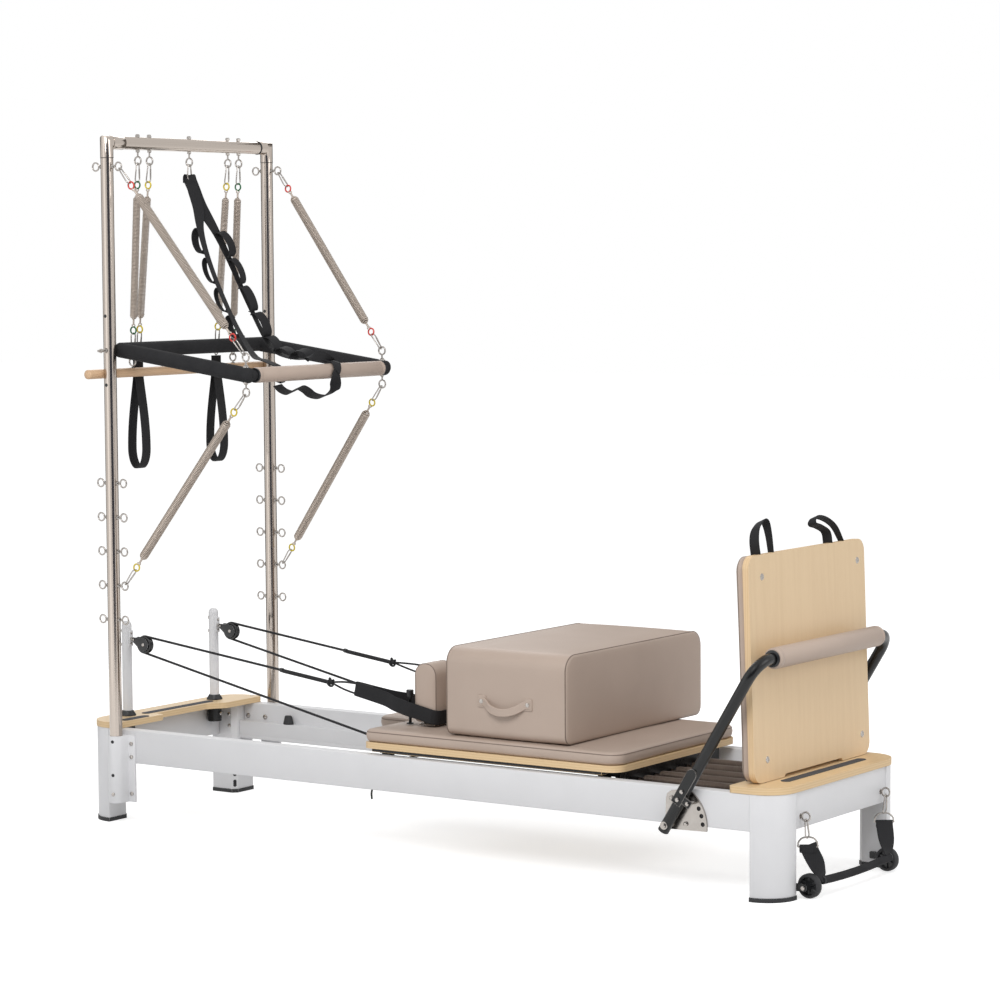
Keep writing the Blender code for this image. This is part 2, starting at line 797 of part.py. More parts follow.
def wheel_fork(side):
    """Block on the leg's inner face, with the axle of the transport wheel."""
    half = ROAD_WHEEL_WIDTH / 2
    leg_face = side * (HALF_WIDTH - LEG_SIZE + WELD)
    wheel_face = side * (ROAD_WHEEL_OFFSET + half + 0.001)
    low_y, high_y = sorted((leg_face, wheel_face))
    low = (HALF_LENGTH - 0.050, low_y, ROAD_WHEEL_HEIGHT - 0.014)
    fork = block(low, (ROAD_WHEEL_X + 0.014, high_y, ROAD_WHEEL_HEIGHT + 0.016))
    inner = side * (ROAD_WHEEL_OFFSET - half - 0.001)
    axle = rod(
        (ROAD_WHEEL_X, wheel_face + side * WELD, ROAD_WHEEL_HEIGHT),
        (ROAD_WHEEL_X, inner - side * WELD, ROAD_WHEEL_HEIGHT),
        AXLE_RADIUS,
        8,
    )
    end_nut = rod(
        (ROAD_WHEEL_X, inner, ROAD_WHEEL_HEIGHT),
        (ROAD_WHEEL_X, inner - side * 0.005, ROAD_WHEEL_HEIGHT),
        0.007,
        6,
    )
    return [fork, axle, end_nut]


def head_platform_outline():
    outer = -HALF_LENGTH - PLATFORM_OVERHANG
    inner = -HALF_LENGTH + HEAD_PLATFORM_DEPTH
    notch = inner - HEAD_NOTCH_DEPTH
    reach = HALF_WIDTH + PLATFORM_OVERHANG
    small = 0.012
    ease = 0.030
    points = arc((outer + LEG_ROUND, -reach + LEG_ROUND), LEG_ROUND, 180, 270, 5)
    points += arc((inner - small, -reach + small), small, 270, 360, 3)
    points += arc((inner - small, HEAD_NOTCH_NEAR - small), small, 0, 90, 3)
    points += [(notch, HEAD_NOTCH_NEAR + 0.001), (notch, HEAD_NOTCH_FAR)]
    points += arc((inner - ease, HEAD_NOTCH_FAR + 2 * ease), ease, 300, 360, 3)
    points += arc((inner - small, reach - small), small, 0, 90, 3)
    points += arc((outer + LEG_ROUND, reach - LEG_ROUND), LEG_ROUND, 90, 180, 6)
    return points


def make_platforms():
    head = upright_plate([head_platform_outline()], PLATFORM_BOTTOM, PLATFORM_TOP)
    holes = []
    for side in SIDES:
        place = Vector((RISER_X, side * RISER_Y, 0))
        holes.append(rod(place + UP * RAIL_BOTTOM, place + UP * RISER_TOP, RISER_RADIUS + 0.001, 12))
    finished("head_platform", cut(united(head, grip_strips(False)), holes), PLYWOOD)
    outer = HALF_LENGTH + PLATFORM_OVERHANG
    inner = outer - FOOT_PLATFORM_DEPTH
    reach = HALF_WIDTH + PLATFORM_OVERHANG
    foot = upright_plate(
        [rounded_rectangle((inner, -reach), (outer, reach), (LEG_ROUND, 0.012, 0.012, LEG_ROUND))],
        PLATFORM_BOTTOM,
        PLATFORM_TOP,
    )
    holes = []
    for side in SIDES:
        low = jump_matrix() @ Vector((-WOOD_THICKNESS / 2, side * PEG_SPACING / 2, -0.045))
        high = jump_matrix() @ Vector((-WOOD_THICKNESS / 2, side * PEG_SPACING / 2, 0.030))
        holes.append(rod(low, high, PEG_RADIUS + PEG_CLEARANCE, 12))
    finished("foot_platform", cut(united(foot, grip_strips(True)), holes), PLYWOOD)


def grip_strips(at_foot):
    """Rough strips stuck on a platform."""
    head_row = -HALF_LENGTH + HEAD_PLATFORM_DEPTH - HEAD_NOTCH_DEPTH - STRIP_WIDTH
    if at_foot:
        spans = ((HALF_LENGTH - 0.060, -0.176, 0.232, STRIP_WIDTH),)
    else:
        spans = (
            (head_row + 0.045, -0.300, -0.185, STRIP_WIDTH),
            (head_row + 0.004, -0.156, 0.170, STRIP_WIDTH),
        )
    strips = []
    for x, start, end, width in spans:
        radius = width * 0.45
        loop = rounded_rectangle((x - width / 2, start), (x + width / 2, end), (radius,) * 4, 2)
        strips.append(upright_plate([loop], PLATFORM_TOP - WELD, PLATFORM_TOP + STRIP_THICKNESS))
    return strips


# Tower


def make_posts():
    for name, side in (("near_post", -1), ("far_post", 1)):
        axis = Vector((POST_X, side * POST_Y, 0))
        post = rod(axis + UP * POST_BOTTOM, axis + UP * (POST_HEIGHT - GAP), POST_RADIUS, 16, True)
        holes = []
        for step in (-1, 0, 1):
            level = PTB_PIVOT_HEIGHT + step * PTB_HOLE_PITCH
            place = axis + UP * level
            reach = SIDEWAYS * (POST_RADIUS + 0.010)
            holes.append(rod(place - reach, place + reach, PTB_PIN_RADIUS + 2 * PIN_CLEARANCE, 8))
        whole = united(post, post_eyebolts(side), "MANIFOLD")
        finished(name, cut(whole, holes, "MANIFOLD"), STEEL)


def make_top_bar():
    bar_end = POST_Y - ELBOW_REACH + WELD
    bar = rod((POST_X, -bar_end, BAR_HEIGHT), (POST_X, bar_end, BAR_HEIGHT), POST_RADIUS, 12)
    pieces = []
    for side in SIDES:
        corner = Vector((POST_X, side * POST_Y, BAR_HEIGHT))
        route = [corner - UP * ELBOW_DROP, corner, corner - SIDEWAYS * side * ELBOW_REACH]
        pieces.append(tube(route, ELBOW_RADIUS, 2))
    for y in top_eye_places():
        under = Vector((POST_X, y, BAR_UNDERSIDE))
        eye, _ = eye_bolt(under, -UP, SIDEWAYS, TOP_SHANK, -UP)
        pieces += [eye, nut((POST_X, y, BAR_HEIGHT + POST_RADIUS), UP)]
    finished("top_bar", united(bar, pieces), STEEL)


def make_sockets():
    outer = POST_RADIUS + SOCKET_WALL
    flange_x = POST_X + outer + SOCKET_FLANGE / 2
    for name, side in (("near_socket", -1), ("far_socket", 1)):
        face = side * (HALF_WIDTH + GAP)
        axis_y = side * POST_Y
        front = [
            (POST_X + outer * math.cos(math.radians(a)), axis_y + side * outer * math.sin(math.radians(a)))
            for a in range(180, -1, -30)
        ]
        flange_y = face + side * SOCKET_FLANGE_THICKNESS
        loop = [(POST_X - outer, face)] + front
        loop += [
            (POST_X + outer, flange_y),
            (POST_X + outer + SOCKET_FLANGE, flange_y),
            (POST_X + outer + SOCKET_FLANGE, face),
        ]
        bore = arc((POST_X, axis_y), POST_RADIUS + GAP, 11.25, 348.75, 15)
        socket = upright_plate([loop, bore], SOCKET_BOTTOM, SOCKET_TOP)
        head = nut((flange_x, flange_y, SOCKET_BOLT_HEIGHT), SIDEWAYS * side, 0.003, 0.006)
        finished(name, united(socket, [head]), POWDER)


def row_heights():
    return [TOP_ROW_HEIGHT] + [LOW_ROW_HEIGHT - ROW_PITCH * k for k in range(LOW_ROWS)]


def post_eye(side, row):
    """Centre of the eye that faces the foot end, on one post."""
    reach = POST_RADIUS + POST_SHANK + EYE_RADIUS
    return Vector((POST_X + reach, side * POST_Y, row_heights()[row]))


UPPER_ROW = 0
LOWER_ROW = 4


def corner_eye(side, way):
    """Centre of an eye above (way 1) or below (way -1) a front corner of the push-through bar."""
    reach = PTB_FOAM_RADIUS + CORNER_SHANK + EYE_RADIUS
    return ptb_point(ptb_length() - PTB_EYE_SETBACK, side) + UP * way * reach


def post_eyebolts(side):
    """Six rows of eyes on the face of one post that looks to the foot end."""
    pieces = []
    for row, level in enumerate(row_heights()):
        face = Vector((POST_X + POST_RADIUS, side * POST_Y, level))
        contact = -UP
        used = {UPPER_ROW: 1, LOWER_ROW: -1}.get(row)
        if used is not None:
            contact = (corner_eye(side, used) - post_eye(side, row)).normalized()
        eye, _ = eye_bolt(face, LENGTHWISE, SIDEWAYS, POST_SHANK, contact)
        pieces.append(eye)
    return pieces


def top_eye_places():
    return (-DOWEL_SPACING / 2, -LOOP_SPACING / 2, 0.0, LOOP_SPACING / 2, DOWEL_SPACING / 2)


def top_eye_centre(y):
    return Vector((POST_X, y, BAR_UNDERSIDE - TOP_SHANK - EYE_RADIUS))


def clip_inside():
    return EYE_RADIUS - EYE_WIRE - CLIP_WIRE - HOOK_CLEARANCE


# Risers, pulleys and ropes


def eye_plate_middle():
    return SHEAVE_HEIGHT + 0.016


def make_risers():
    """Riser tube with its collar, clamp, eye plate and the cheeks of its pulley block."""
    for name, side in (("near_riser", -1), ("far_riser", 1)):
        place = Vector((RISER_X, side * RISER_Y, 0))
        dome = []
        for degrees in (0, 45, 90):
            turn = math.radians(degrees)
            dome.append((RISER_RADIUS * math.sin(turn), RISER_TOP - RISER_RADIUS * (1 - math.cos(turn))))
        riser = turned(dome + [(RISER_RADIUS, RISER_BOTTOM), (0.0, RISER_BOTTOM)], place, UP, 12)
        low = PLATFORM_TOP + GAP
        collar = [
            (0.0, low + COLLAR_HEIGHT),
            (COLLAR_TOP_RADIUS, low + COLLAR_HEIGHT),
            (COLLAR_RADIUS, low + 0.004),
            (COLLAR_RADIUS, low),
            (0.0, low),
        ]
        top = PLATFORM_BOTTOM - GAP
        radius = RISER_RADIUS + CLAMP_WALL
        clamp = [(0.0, top), (radius, top), (radius, top - CLAMP_HEIGHT), (0.0, top - CLAMP_HEIGHT)]
        pieces = [turned(collar, place, UP, 10), turned(clamp, place, UP, 10)]
        finished(name, united(riser, pieces + pulley_block(side)), POWDER)


def cheek_nose():
    """Where a pulley's cheeks meet the link to the riser, as (x, z)."""
    return (RISER_X + RISER_RADIUS + 0.021, eye_plate_middle() - 0.002)


def teardrop_outline(centre, radius, nose, nose_radius):
    toward = math.degrees(math.atan2(nose[1] - centre[1], nose[0] - centre[0]))
    points = arc(centre, radius, toward + 75, toward + 285, 7)
    points += arc(nose, nose_radius, toward - 75, toward + 75, 2)
    return points


def pulley_block(side):
    """Two cheeks on an axle, linked to a plate on the riser."""
    nose = cheek_nose()
    middle = Vector((SHEAVE_X, side * RISER_Y, SHEAVE_HEIGHT))
    inner = SHEAVE_WIDTH / 2 + 0.001
    shape = teardrop_outline((SHEAVE_X, SHEAVE_HEIGHT), CHEEK_RADIUS, nose, CHEEK_NOSE)
    pieces = []
    for way in SIDES:
        start = side * RISER_Y + way * inner
        pieces.append(side_plate([shape], start, start + way * CHEEK_THICKNESS))
    reach = SIDEWAYS * (inner + CHEEK_THICKNESS / 2)
    pieces.append(rod(middle - reach, middle + reach, SHEAVE_BORE - PIN_CLEARANCE, 8))
    web = Vector((nose[0], side * RISER_Y, nose[1]))
    pieces.append(rod(web - reach, web + reach, CHEEK_NOSE * 0.7, 10))
    plate_x = RISER_X + RISER_RADIUS
    half_width = EYE_PLATE_WIDTH / 2
    half_height = EYE_PLATE_HEIGHT / 2
    low = (plate_x - WELD, side * RISER_Y - half_width, eye_plate_middle() - half_height)
    high = (plate_x + EYE_PLATE_THICKNESS, side * RISER_Y + half_width, eye_plate_middle() + half_height)
    pieces.append(block(low, high))
    pieces.append(rod(Vector((plate_x, side * RISER_Y, nose[1])), web, 0.003, 8))
    return pieces


def make_sheaves():
    for name, side in (("near_sheave", -1), ("far_sheave", 1)):
        middle = Vector((SHEAVE_X, side * RISER_Y, SHEAVE_HEIGHT))
        half = SHEAVE_WIDTH / 2
        wheel = [
            (SHEAVE_BORE, half),
            (SHEAVE_RADIUS - 0.002, half),
            (SHEAVE_RADIUS, half - 0.002),
            (SHEAVE_GROOVE, 0.0025),
            (SHEAVE_GROOVE, -0.0025),
            (SHEAVE_RADIUS, 0.002 - half),
            (SHEAVE_RADIUS - 0.002, -half),
            (SHEAVE_BORE, -half),
        ]
        finished(name, turned(wheel, middle, SIDEWAYS, 10, True), BLACK_METAL, middle)


def strap_matrix(side):
    """Frame of a foot strap: x along it towards the foot end, z across its band."""
    tilt = Matrix.Rotation(math.radians(STRAP_TILT), 4, "Y")
    return Matrix.Translation((0.0, side * REST_SPACING / 2, STRAP_HEIGHT)) @ tilt


def rope_route(side):
    """From the strap's tip over the sheave and back to the cleat at the carriage's head end."""
    tip = strap_matrix(side) @ Vector((-STRAP_LENGTH - GAP, 0.0, 0.0))
    cleat = Vector(
        (CARRIAGE_HEAD_END - CLEAT_THICKNESS - 3 * GAP, side * RISER_Y, CARRIAGE_HEIGHT + 0.004)
    )
    wrap = SHEAVE_GROOVE + ROPE_RADIUS + 4 * GAP
    middle = Vector((SHEAVE_X, side * RISER_Y, SHEAVE_HEIGHT))

    def tangent(point, way):
        gap_x = point.x - middle.x
        gap_z = point.z - middle.z
        distance = math.hypot(gap_x, gap_z)
        return math.atan2(gap_z, gap_x) + way * math.acos(wrap / distance)

    leave = tangent(tip, 1)
    arrive = tangent(cleat, -1) + math.tau
    route = [tip]
    first = Vector((middle.x + wrap * math.cos(leave), middle.y, middle.z + wrap * math.sin(leave)))
    runs = 4
    route += [tip.lerp(first, k / runs) for k in range(1, runs)]
    turns = 7
    for k in range(turns + 1):
        angle = leave + (arrive - leave) * k / turns
        route.append(Vector((middle.x + wrap * math.cos(angle), middle.y, middle.z + wrap * math.sin(angle))))
    last = route[-1]
    route += [last.lerp(cleat, k / runs) for k in range(1, runs + 1)]
    return route


def make_ropes():
    for name, side in (("near_rope", -1), ("far_rope", 1)):
        finished(name, tube(rope_route(side), ROPE_RADIUS, 2), WEBBING)


# Push-through bar


def ptb_length():
    return math.hypot(PTB_FRONT_X - POST_X, PTB_FRONT_HEIGHT - PTB_PIVOT_HEIGHT)


def ptb_point(distance, side):
    """A point on an arm's axis, measured from the pivot."""
    share = distance / ptb_length()
    return Vector(
        (
            POST_X + (PTB_FRONT_X - POST_X) * share,
            side * PTB_ARM_OFFSET,
            PTB_PIVOT_HEIGHT + (PTB_FRONT_HEIGHT - PTB_PIVOT_HEIGHT) * share,
        )
    )


def make_push_through_bar():
    """Foam covered frame that turns on two pins in the posts, with a padded grip at its front."""
    pivot = Vector((POST_X, 0, PTB_PIVOT_HEIGHT))
    radius = PTB_FOAM_RADIUS
    length = ptb_length()
    turns = [math.radians(degrees) for degrees in (0, 50, 90)]
    cap = [(radius * math.sin(turn), radius * (1 - math.cos(turn))) for turn in turns]
    profile = [(r, length + radius * 0.6 - drop * 0.6) for r, drop in cap]
    profile += [(r, -radius * 0.6 + drop * 0.6) for r, drop in reversed(cap)]
    front = Vector((PTB_FRONT_X, 0, PTB_FRONT_HEIGHT))
    reach = PTB_ARM_OFFSET
    pieces = [
        rod(pivot - SIDEWAYS * reach, pivot + SIDEWAYS * reach, radius * 0.98, 14),
        rod(front - SIDEWAYS * reach, front + SIDEWAYS * reach, PTB_TUBE_RADIUS, 12),
    ]
    arms = []
    for side in SIDES:
        start = ptb_point(0.0, side)
        arms.append(turned(profile, start, ptb_point(length, side) - start, 12))
        for way in SIDES:
            base = ptb_point(length - PTB_EYE_SETBACK, side) + UP * way * radius
            row = UPPER_ROW if way > 0 else LOWER_ROW
            contact = (post_eye(side, row) - corner_eye(side, way)).normalized()
            eye, _ = eye_bolt(base - UP * way * WELD, UP * way, SIDEWAYS, CORNER_SHANK + WELD, contact)
            pieces.append(eye)
        end = side * (POST_Y + POST_RADIUS + PTB_PIN_REACH)
        knob = end - side * PTB_KNOB_LENGTH
        level = PTB_PIVOT_HEIGHT
        pin_end = knob + side * WELD
        pieces.append(rod((POST_X, side * reach, level), (POST_X, pin_end, level), PTB_PIN_RADIUS, 8))
        pieces.append(rod((POST_X, knob, level), (POST_X, end, level), PTB_KNOB_RADIUS, 8))
    finished("ptb_frame", united(joined(arms), pieces), FOAM, pivot)
    half = PTB_ARM_OFFSET - radius - 0.004
    bore = PTB_TUBE_RADIUS + SLEEVE_PLAY
    sleeve = [
        (bore, half),
        (PTB_GRIP_RADIUS - 0.002, half),
        (PTB_GRIP_RADIUS, half - 0.002),
        (PTB_GRIP_RADIUS, 0.002 - half),
        (PTB_GRIP_RADIUS - 0.002, -half),
        (bore, -half),
    ]
    finished("ptb_grip", turned(sleeve, front, SIDEWAYS, 12, True), VINYL, pivot)


def make_bar_springs():
    for kind, row, way in (("upper", UPPER_ROW, 1), ("lower", LOWER_ROW, -1)):
        for side_name, side in (("near", -1), ("far", 1)):
            name = f"{side_name}_{kind}_spring"
            made = hanging_spring(name, post_eye(side, row), corner_eye(side, way), CLIP_LENGTH)
            finished(name, made, SPRING_STEEL)


# Roll-down bar, hand loops and the multi-loop strap


def make_roll_down_bar():
    axis = top_eye_centre(0.0) - UP * clip_inside()
    x = POST_X - POST_RADIUS - DOWEL_RADIUS - GAP
    half = DOWEL_LENGTH / 2
    tip = 0.006
    profile = [
        (0.0, half),
        (DOWEL_RADIUS * 0.7, half - 0.001),
        (DOWEL_RADIUS, half - tip),
        (DOWEL_RADIUS, tip - half),
        (DOWEL_RADIUS * 0.7, 0.001 - half),
        (0.0, -half),
    ]
    bar = turned(profile, Vector((x, 0, DOWEL_HEIGHT)), SIDEWAYS, 12)
    fittings = []
    for side_name, side in (("near", -1), ("far", 1)):
        y = side * DOWEL_SPACING / 2
        face = Vector((x, y, DOWEL_HEIGHT + DOWEL_RADIUS))
        centre = face + UP * (DOWEL_SHANK + EYE_RADIUS)
        anchor = top_eye_centre(y)
        contact = (anchor - centre).normalized()
        eye, _ = eye_bolt(face, UP, SIDEWAYS, DOWEL_SHANK, contact)
        fittings.append(eye)
        name = f"{side_name}_roll_down_spring"
        finished(name, hanging_spring(name, anchor, centre, DROP_CLIP_LENGTH), SPRING_STEEL, axis)
    finished("roll_down_bar", united(bar, fittings), BEECH, axis)


def loop_half_width(depth):
    """Half the outer width of a hand loop at a depth below its top."""
    if depth <= LOOP_NECK:
        return LOOP_NECK_HALF
    share = (depth - LOOP_NECK) / (LOOP_LENGTH - LOOP_NECK)
    widest = 0.62
    if share < widest:
        t = share / widest
        return LOOP_NECK_HALF + (LOOP_HALF_WIDTH - LOOP_NECK_HALF) * t * t * (3 - 2 * t)
    t = (share - widest) / (1 - widest)
    return LOOP_HALF_WIDTH * math.sqrt(max(0.0, 1 - t * t))


def loop_outlines():
    """Outer and inner line of a hanging loop, as (x, z) with z from its top down."""
    shares = (0.0, 0.12, 0.25, 0.38, 0.5, 0.62, 0.74, 0.84, 0.92, 0.97)
    depths = [LOOP_NECK + (LOOP_LENGTH - LOOP_NECK) * s for s in shares]
    right = [(LOOP_NECK_HALF, 0.0)] + [(loop_half_width(d), -d) for d in depths]
    outer = right + [(0.0, -LOOP_LENGTH)] + [(-x, z) for x, z in reversed(right)]
    inner_right = [(loop_half_width(d) - LOOP_TAPE, -d) for d in depths[1:9]]
    top = [(0.0, -(LOOP_NECK + 0.004))]
    inner_left = [(-x, z) for x, z in reversed(inner_right)]
    inner = top + inner_right + [(0.0, -LOOP_LENGTH + LOOP_TAPE)] + inner_left
    return outer, inner


def make_hand_loops():
    x = POST_X - POST_RADIUS - 2 * DOWEL_RADIUS - 2 * GAP - LOOP_NECK_HALF - 0.001
    for label, side in (("near", -1), ("far", 1)):
        y = side * LOOP_SPACING / 2
        anchor = top_eye_centre(y)
        axis = anchor - UP * clip_inside()
        top = Vector((x, y, LOOP_TOP_HEIGHT))
        name = label + "_loop_spring"
        made = hanging_spring(name, anchor, top + UP * GAP * 2, DROP_CLIP_LENGTH, False)
        finished(name, made, SPRING_STEEL, axis)
        loop = side_plate(loop_outlines(), y - LOOP_BAND / 2, y + LOOP_BAND / 2)
        baked(loop, Matrix.Translation((x, 0, LOOP_TOP_HEIGHT)))
        finished(label + "_hand_loop", loop, WEBBING, axis)


def make_loop_strap():
    """Strap with sewn loops: two strands from one clip, over the padded grip, joined by scallops below it."""
    top = top_eye_centre(0.0) - UP * (clip_inside() + CLIP_LENGTH)
    front = Vector((PTB_FRONT_X, 0, PTB_FRONT_HEIGHT))
    over = PTB_GRIP_RADIUS + 0.0045
    right = [
        (-1.010, 0.084, 1.754),
        (-0.965, 0.132, 1.609),
        (-0.900, 0.163, 1.462),
        (-0.810, 0.125, 1.412),
        (-0.710, 0.086, 1.390),
        (-0.610, 0.060, 1.388),
    ]
    left = [
        (-0.985, -0.030, 1.748),
        (-0.890, -0.050, 1.590),
        (-0.760, -0.096, 1.437),
        (-0.660, -0.146, 1.390),
        (-0.602, -0.176, 1.388),
    ]
    strands = []
    pieces = [clip(top_eye_centre(0.0) - UP * clip_inside(), -UP, SIDEWAYS, CLIP_LENGTH)]
    for stops, y in ((right, 0.058), (left, -0.178)):
        points = [top] + [Vector(p) for p in stops]
        points += [front + Vector((over * math.cos(a), y, over * math.sin(a))) for a in (1.45, 0.6, -0.3)]
        points.append(front + Vector((over * 0.85, y, -0.052)))
        strands.append(points)
        pieces.append(ribbon(points, [SIDEWAYS] * len(points), STRAP_WIDTH, STRAP_THICKNESS))
    scallops = ((0.070, -0.047), (0.030, -0.070), (-0.064, -0.043), (-0.115, -0.066), (-0.190, -0.046))
    low_line = [front + Vector((over * 0.85 - 0.0009, y, drop)) for y, drop in scallops]
    strap = ribbon(low_line, [UP] * len(low_line), STRAP_WIDTH * 0.8, STRAP_THICKNESS)
    bulge = 0.034
    for strand, way, shares in (
        (strands[0][:6], 1, (0.12, 0.30, 0.52)),
        (strands[1][:6], -1, (0.12, 0.45)),
    ):
        for share in shares:
            low = along_route(strand, share)
            high = along_route(strand, share + 0.10)
            run = (high - low).normalized()
            out = (run.cross(SIDEWAYS)).normalized() * -way
            shape = ((0.0, -0.0004), (0.2, bulge), (0.8, bulge), (1.0, -0.0004))
            loop = [low.lerp(high, t) + out * rise for t, rise in shape]
            pieces.append(ribbon(loop, [SIDEWAYS] * len(loop), STRAP_WIDTH * 0.9, STRAP_THICKNESS))
    finished("loop_strap", united(strap, pieces), WEBBING)


def along_route(points, share):
    """The point at a share of a route's length."""
    lengths = [(b - a).length for a, b in zip(points, points[1:])]
    goal = sum(lengths) * share
    for a, b, length in zip(points, points[1:], lengths):
        if goal <= length:
            return a.lerp(b, goal / length)
        goal -= length
    return points[-1]


# Carriage


def headrest_hinge():
    return HEADREST_TIP + HEADREST_LENGTH


def notch_reach():
    return HEADREST_WIDTH / 2 + HEADREST_SIDE_GAP


def carriage_outline(head, foot, half, corner, notch_x, notch_half):
    points = arc((foot - corner, half - corner), corner, 0, 90, 5)
    points += arc((head + corner, half - corner), corner, 90, 180, 5)
    points += [(head, notch_half), (notch_x, notch_half), (notch_x, -notch_half), (head, -notch_half)]
    points += arc((head + corner, corner - half), corner, 180, 270, 5)
    points += arc((foot - corner, corner - half), corner, 270, 360, 5)
    return points


def wheel_offset():
    return HALF_WIDTH - RAIL_THICKNESS - WHEEL_BORE_SIDE - WHEEL_WIDTH / 2


def make_carriage():
    notch_x = headrest_hinge() + HINGE_LUG
    half = CARRIAGE_WIDTH / 2
    outline = carriage_outline(
        CARRIAGE_HEAD_END, CARRIAGE_FOOT_END, half, CARRIAGE_CORNER, notch_x, notch_reach()
    )
    board = upright_plate([outline], CARRIAGE_HEIGHT, BOARD_TOP)
    finished("carriage_board", board, PLYWOOD)
    inset = 0.002
    middle_x = (CARRIAGE_HEAD_END + CARRIAGE_FOOT_END) / 2
    pad = cushion(
        CARRIAGE_LENGTH - 2 * inset,
        CARRIAGE_WIDTH - 2 * inset,
        PAD_HEIGHT,
        (CARRIAGE_CORNER,) * 4,
        PAD_CROWN,
        draw_in=0.002,
    )
    baked(pad, Matrix.Translation((middle_x, 0, BOARD_TOP + GAP)))
    opening = block(
        (CARRIAGE_HEAD_END - 0.050, -notch_reach(), BOARD_TOP - 0.020),
        (notch_x, notch_reach(), PAD_TOP + 0.050),
    )
    finished("carriage_pad", cut(pad, [opening]), VINYL)
    make_carriage_frame(notch_x)
    make_shoulder_rests()
    make_headrest()
    make_wheels()
    make_straps()


def axle_height():
    return TRACK_TOP + GAP + WHEEL_RADIUS


def bracket_face():
    """The outer face of the wheel brackets, from the middle."""
    return wheel_offset() - WHEEL_WIDTH / 2 - 0.014


def make_carriage_frame(notch_x):
    """Steel frame under the board: bracketed side plates, cross bars, rope cleats and hinge lugs."""
    top = CARRIAGE_HEIGHT - GAP
    outer = bracket_face()
    inner = outer - BRACKET_THICKNESS
    middle = (outer + inner) / 2
    bar_bottom = top - 0.020
    tab_bottom = axle_height() - 0.014
    cross_x = headrest_hinge() + GAP
    start = -0.150
    plate = [(start, top), (start, bar_bottom)]
    for x in (HEAD_WHEEL_X, FOOT_WHEEL_X):
        low, high = x - BRACKET_LENGTH / 2, x + BRACKET_LENGTH / 2
        plate += [(max(low, start + 0.004), bar_bottom), (max(low, start + 0.004), tab_bottom)]
        plate += [(high, tab_bottom), (high, bar_bottom)]
    plate += [(HOOK_BAR_X - 0.004, bar_bottom), (HOOK_BAR_X - 0.004, top)]
    pieces = []
    front = CARRIAGE_HEAD_END - GAP
    for side in SIDES:
        pieces.append(side_plate([plate], side * inner, side * outer))
        low_y, high_y = sorted((side * (RISER_Y - 0.012), side * (RISER_Y + 0.012)))
        arm_low = (front - CLEAT_THICKNESS + 0.001, low_y + 0.001, top - 0.008)
        pieces.append(block(arm_low, (cross_x + 0.006, high_y - 0.001, top - 0.0015)))
        cleat_low = (front - CLEAT_THICKNESS, low_y, top - 0.006)
        pieces.append(block(cleat_low, (front, high_y, BOARD_TOP - 0.001)))
        low_y, high_y = sorted((side * 0.052, side * 0.074))
        lug_low = (cross_x, low_y, top - 0.006)
        pieces.append(block(lug_low, (notch_x - GAP, high_y, BOARD_TOP - 0.002)))
    hook_low = (HOOK_BAR_X - 0.015, -middle, CARRIAGE_SPRING_HEIGHT - CARRIAGE_SPRING_RADIUS)
    pieces.append(block(hook_low, (HOOK_BAR_X, middle, top - 0.001)))
    cross = block((cross_x + 0.0008, -middle - 0.001, top - 0.012), (notch_x + 0.020, middle + 0.001, top - 0.0005))
    bores = []
    reach = SIDEWAYS * (outer + 0.010)
    for x in (HEAD_WHEEL_X, FOOT_WHEEL_X):
        place = Vector((x, 0, axle_height()))
        bores.append(rod(place - reach, place + reach, AXLE_RADIUS + 2 * PIN_CLEARANCE, 8))
    finished("carriage_frame", cut(united(cross, pieces), bores), BLACK_METAL)


def make_shoulder_rests():
    """Pads with a round top, each on its steel base."""
    base_top = PAD_TOP + REST_BASE_HEIGHT
    top_corner = REST_THICKNESS / 2 - 0.002
    depth = REST_WIDTH - 0.006
    for name, side in (("near_shoulder_rest", -1), ("far_shoulder_rest", 1)):
        pad = cushion(
            REST_THICKNESS,
            REST_HEIGHT,
            depth,
            (top_corner, top_corner, 0.010, 0.010),
            0.003,
            under_crown=0.003,
            edge=0.004,
            shelf=0.7,
        )
        middle = Vector((REST_X, side * REST_SPACING / 2 + depth / 2, base_top - WELD + REST_HEIGHT / 2))
        baked(pad, axes_matrix(middle, LENGTHWISE, UP, -SIDEWAYS))
        low_y, high_y = sorted((side * (REST_SPACING / 2 - 0.040), side * (REST_SPACING / 2 + 0.040)))
        base = block((REST_X - 0.027, low_y, PAD_TOP + GAP), (REST_X + 0.027, high_y, base_top))
        finished(name, united(pad, [base]), VINYL)


def make_headrest():
    hinge = Vector((headrest_hinge(), 0, BOARD_TOP))
    middle_x = HEADREST_TIP + HEADREST_LENGTH / 2
    reach = HEADREST_WIDTH / 2
    pad = cushion(
        HEADREST_LENGTH,
        HEADREST_WIDTH,
        PAD_HEIGHT,
        (0.020, 0.040, 0.040, 0.020),
        PAD_CROWN,
        draw_in=0.001,
    )
    baked(pad, Matrix.Translation((middle_x, 0, BOARD_TOP + GAP)))
    inset = 0.006
    low = (HEADREST_TIP + inset, inset - reach)
    high = (headrest_hinge(), reach - inset)
    loop = rounded_rectangle(low, high, (0.004, 0.036, 0.036, 0.004), 3)
    board = upright_plate([loop], BOARD_TOP - HEADREST_BOARD, BOARD_TOP + GAP + WELD)
    finished("headrest", united(pad, [board]), VINYL, hinge)


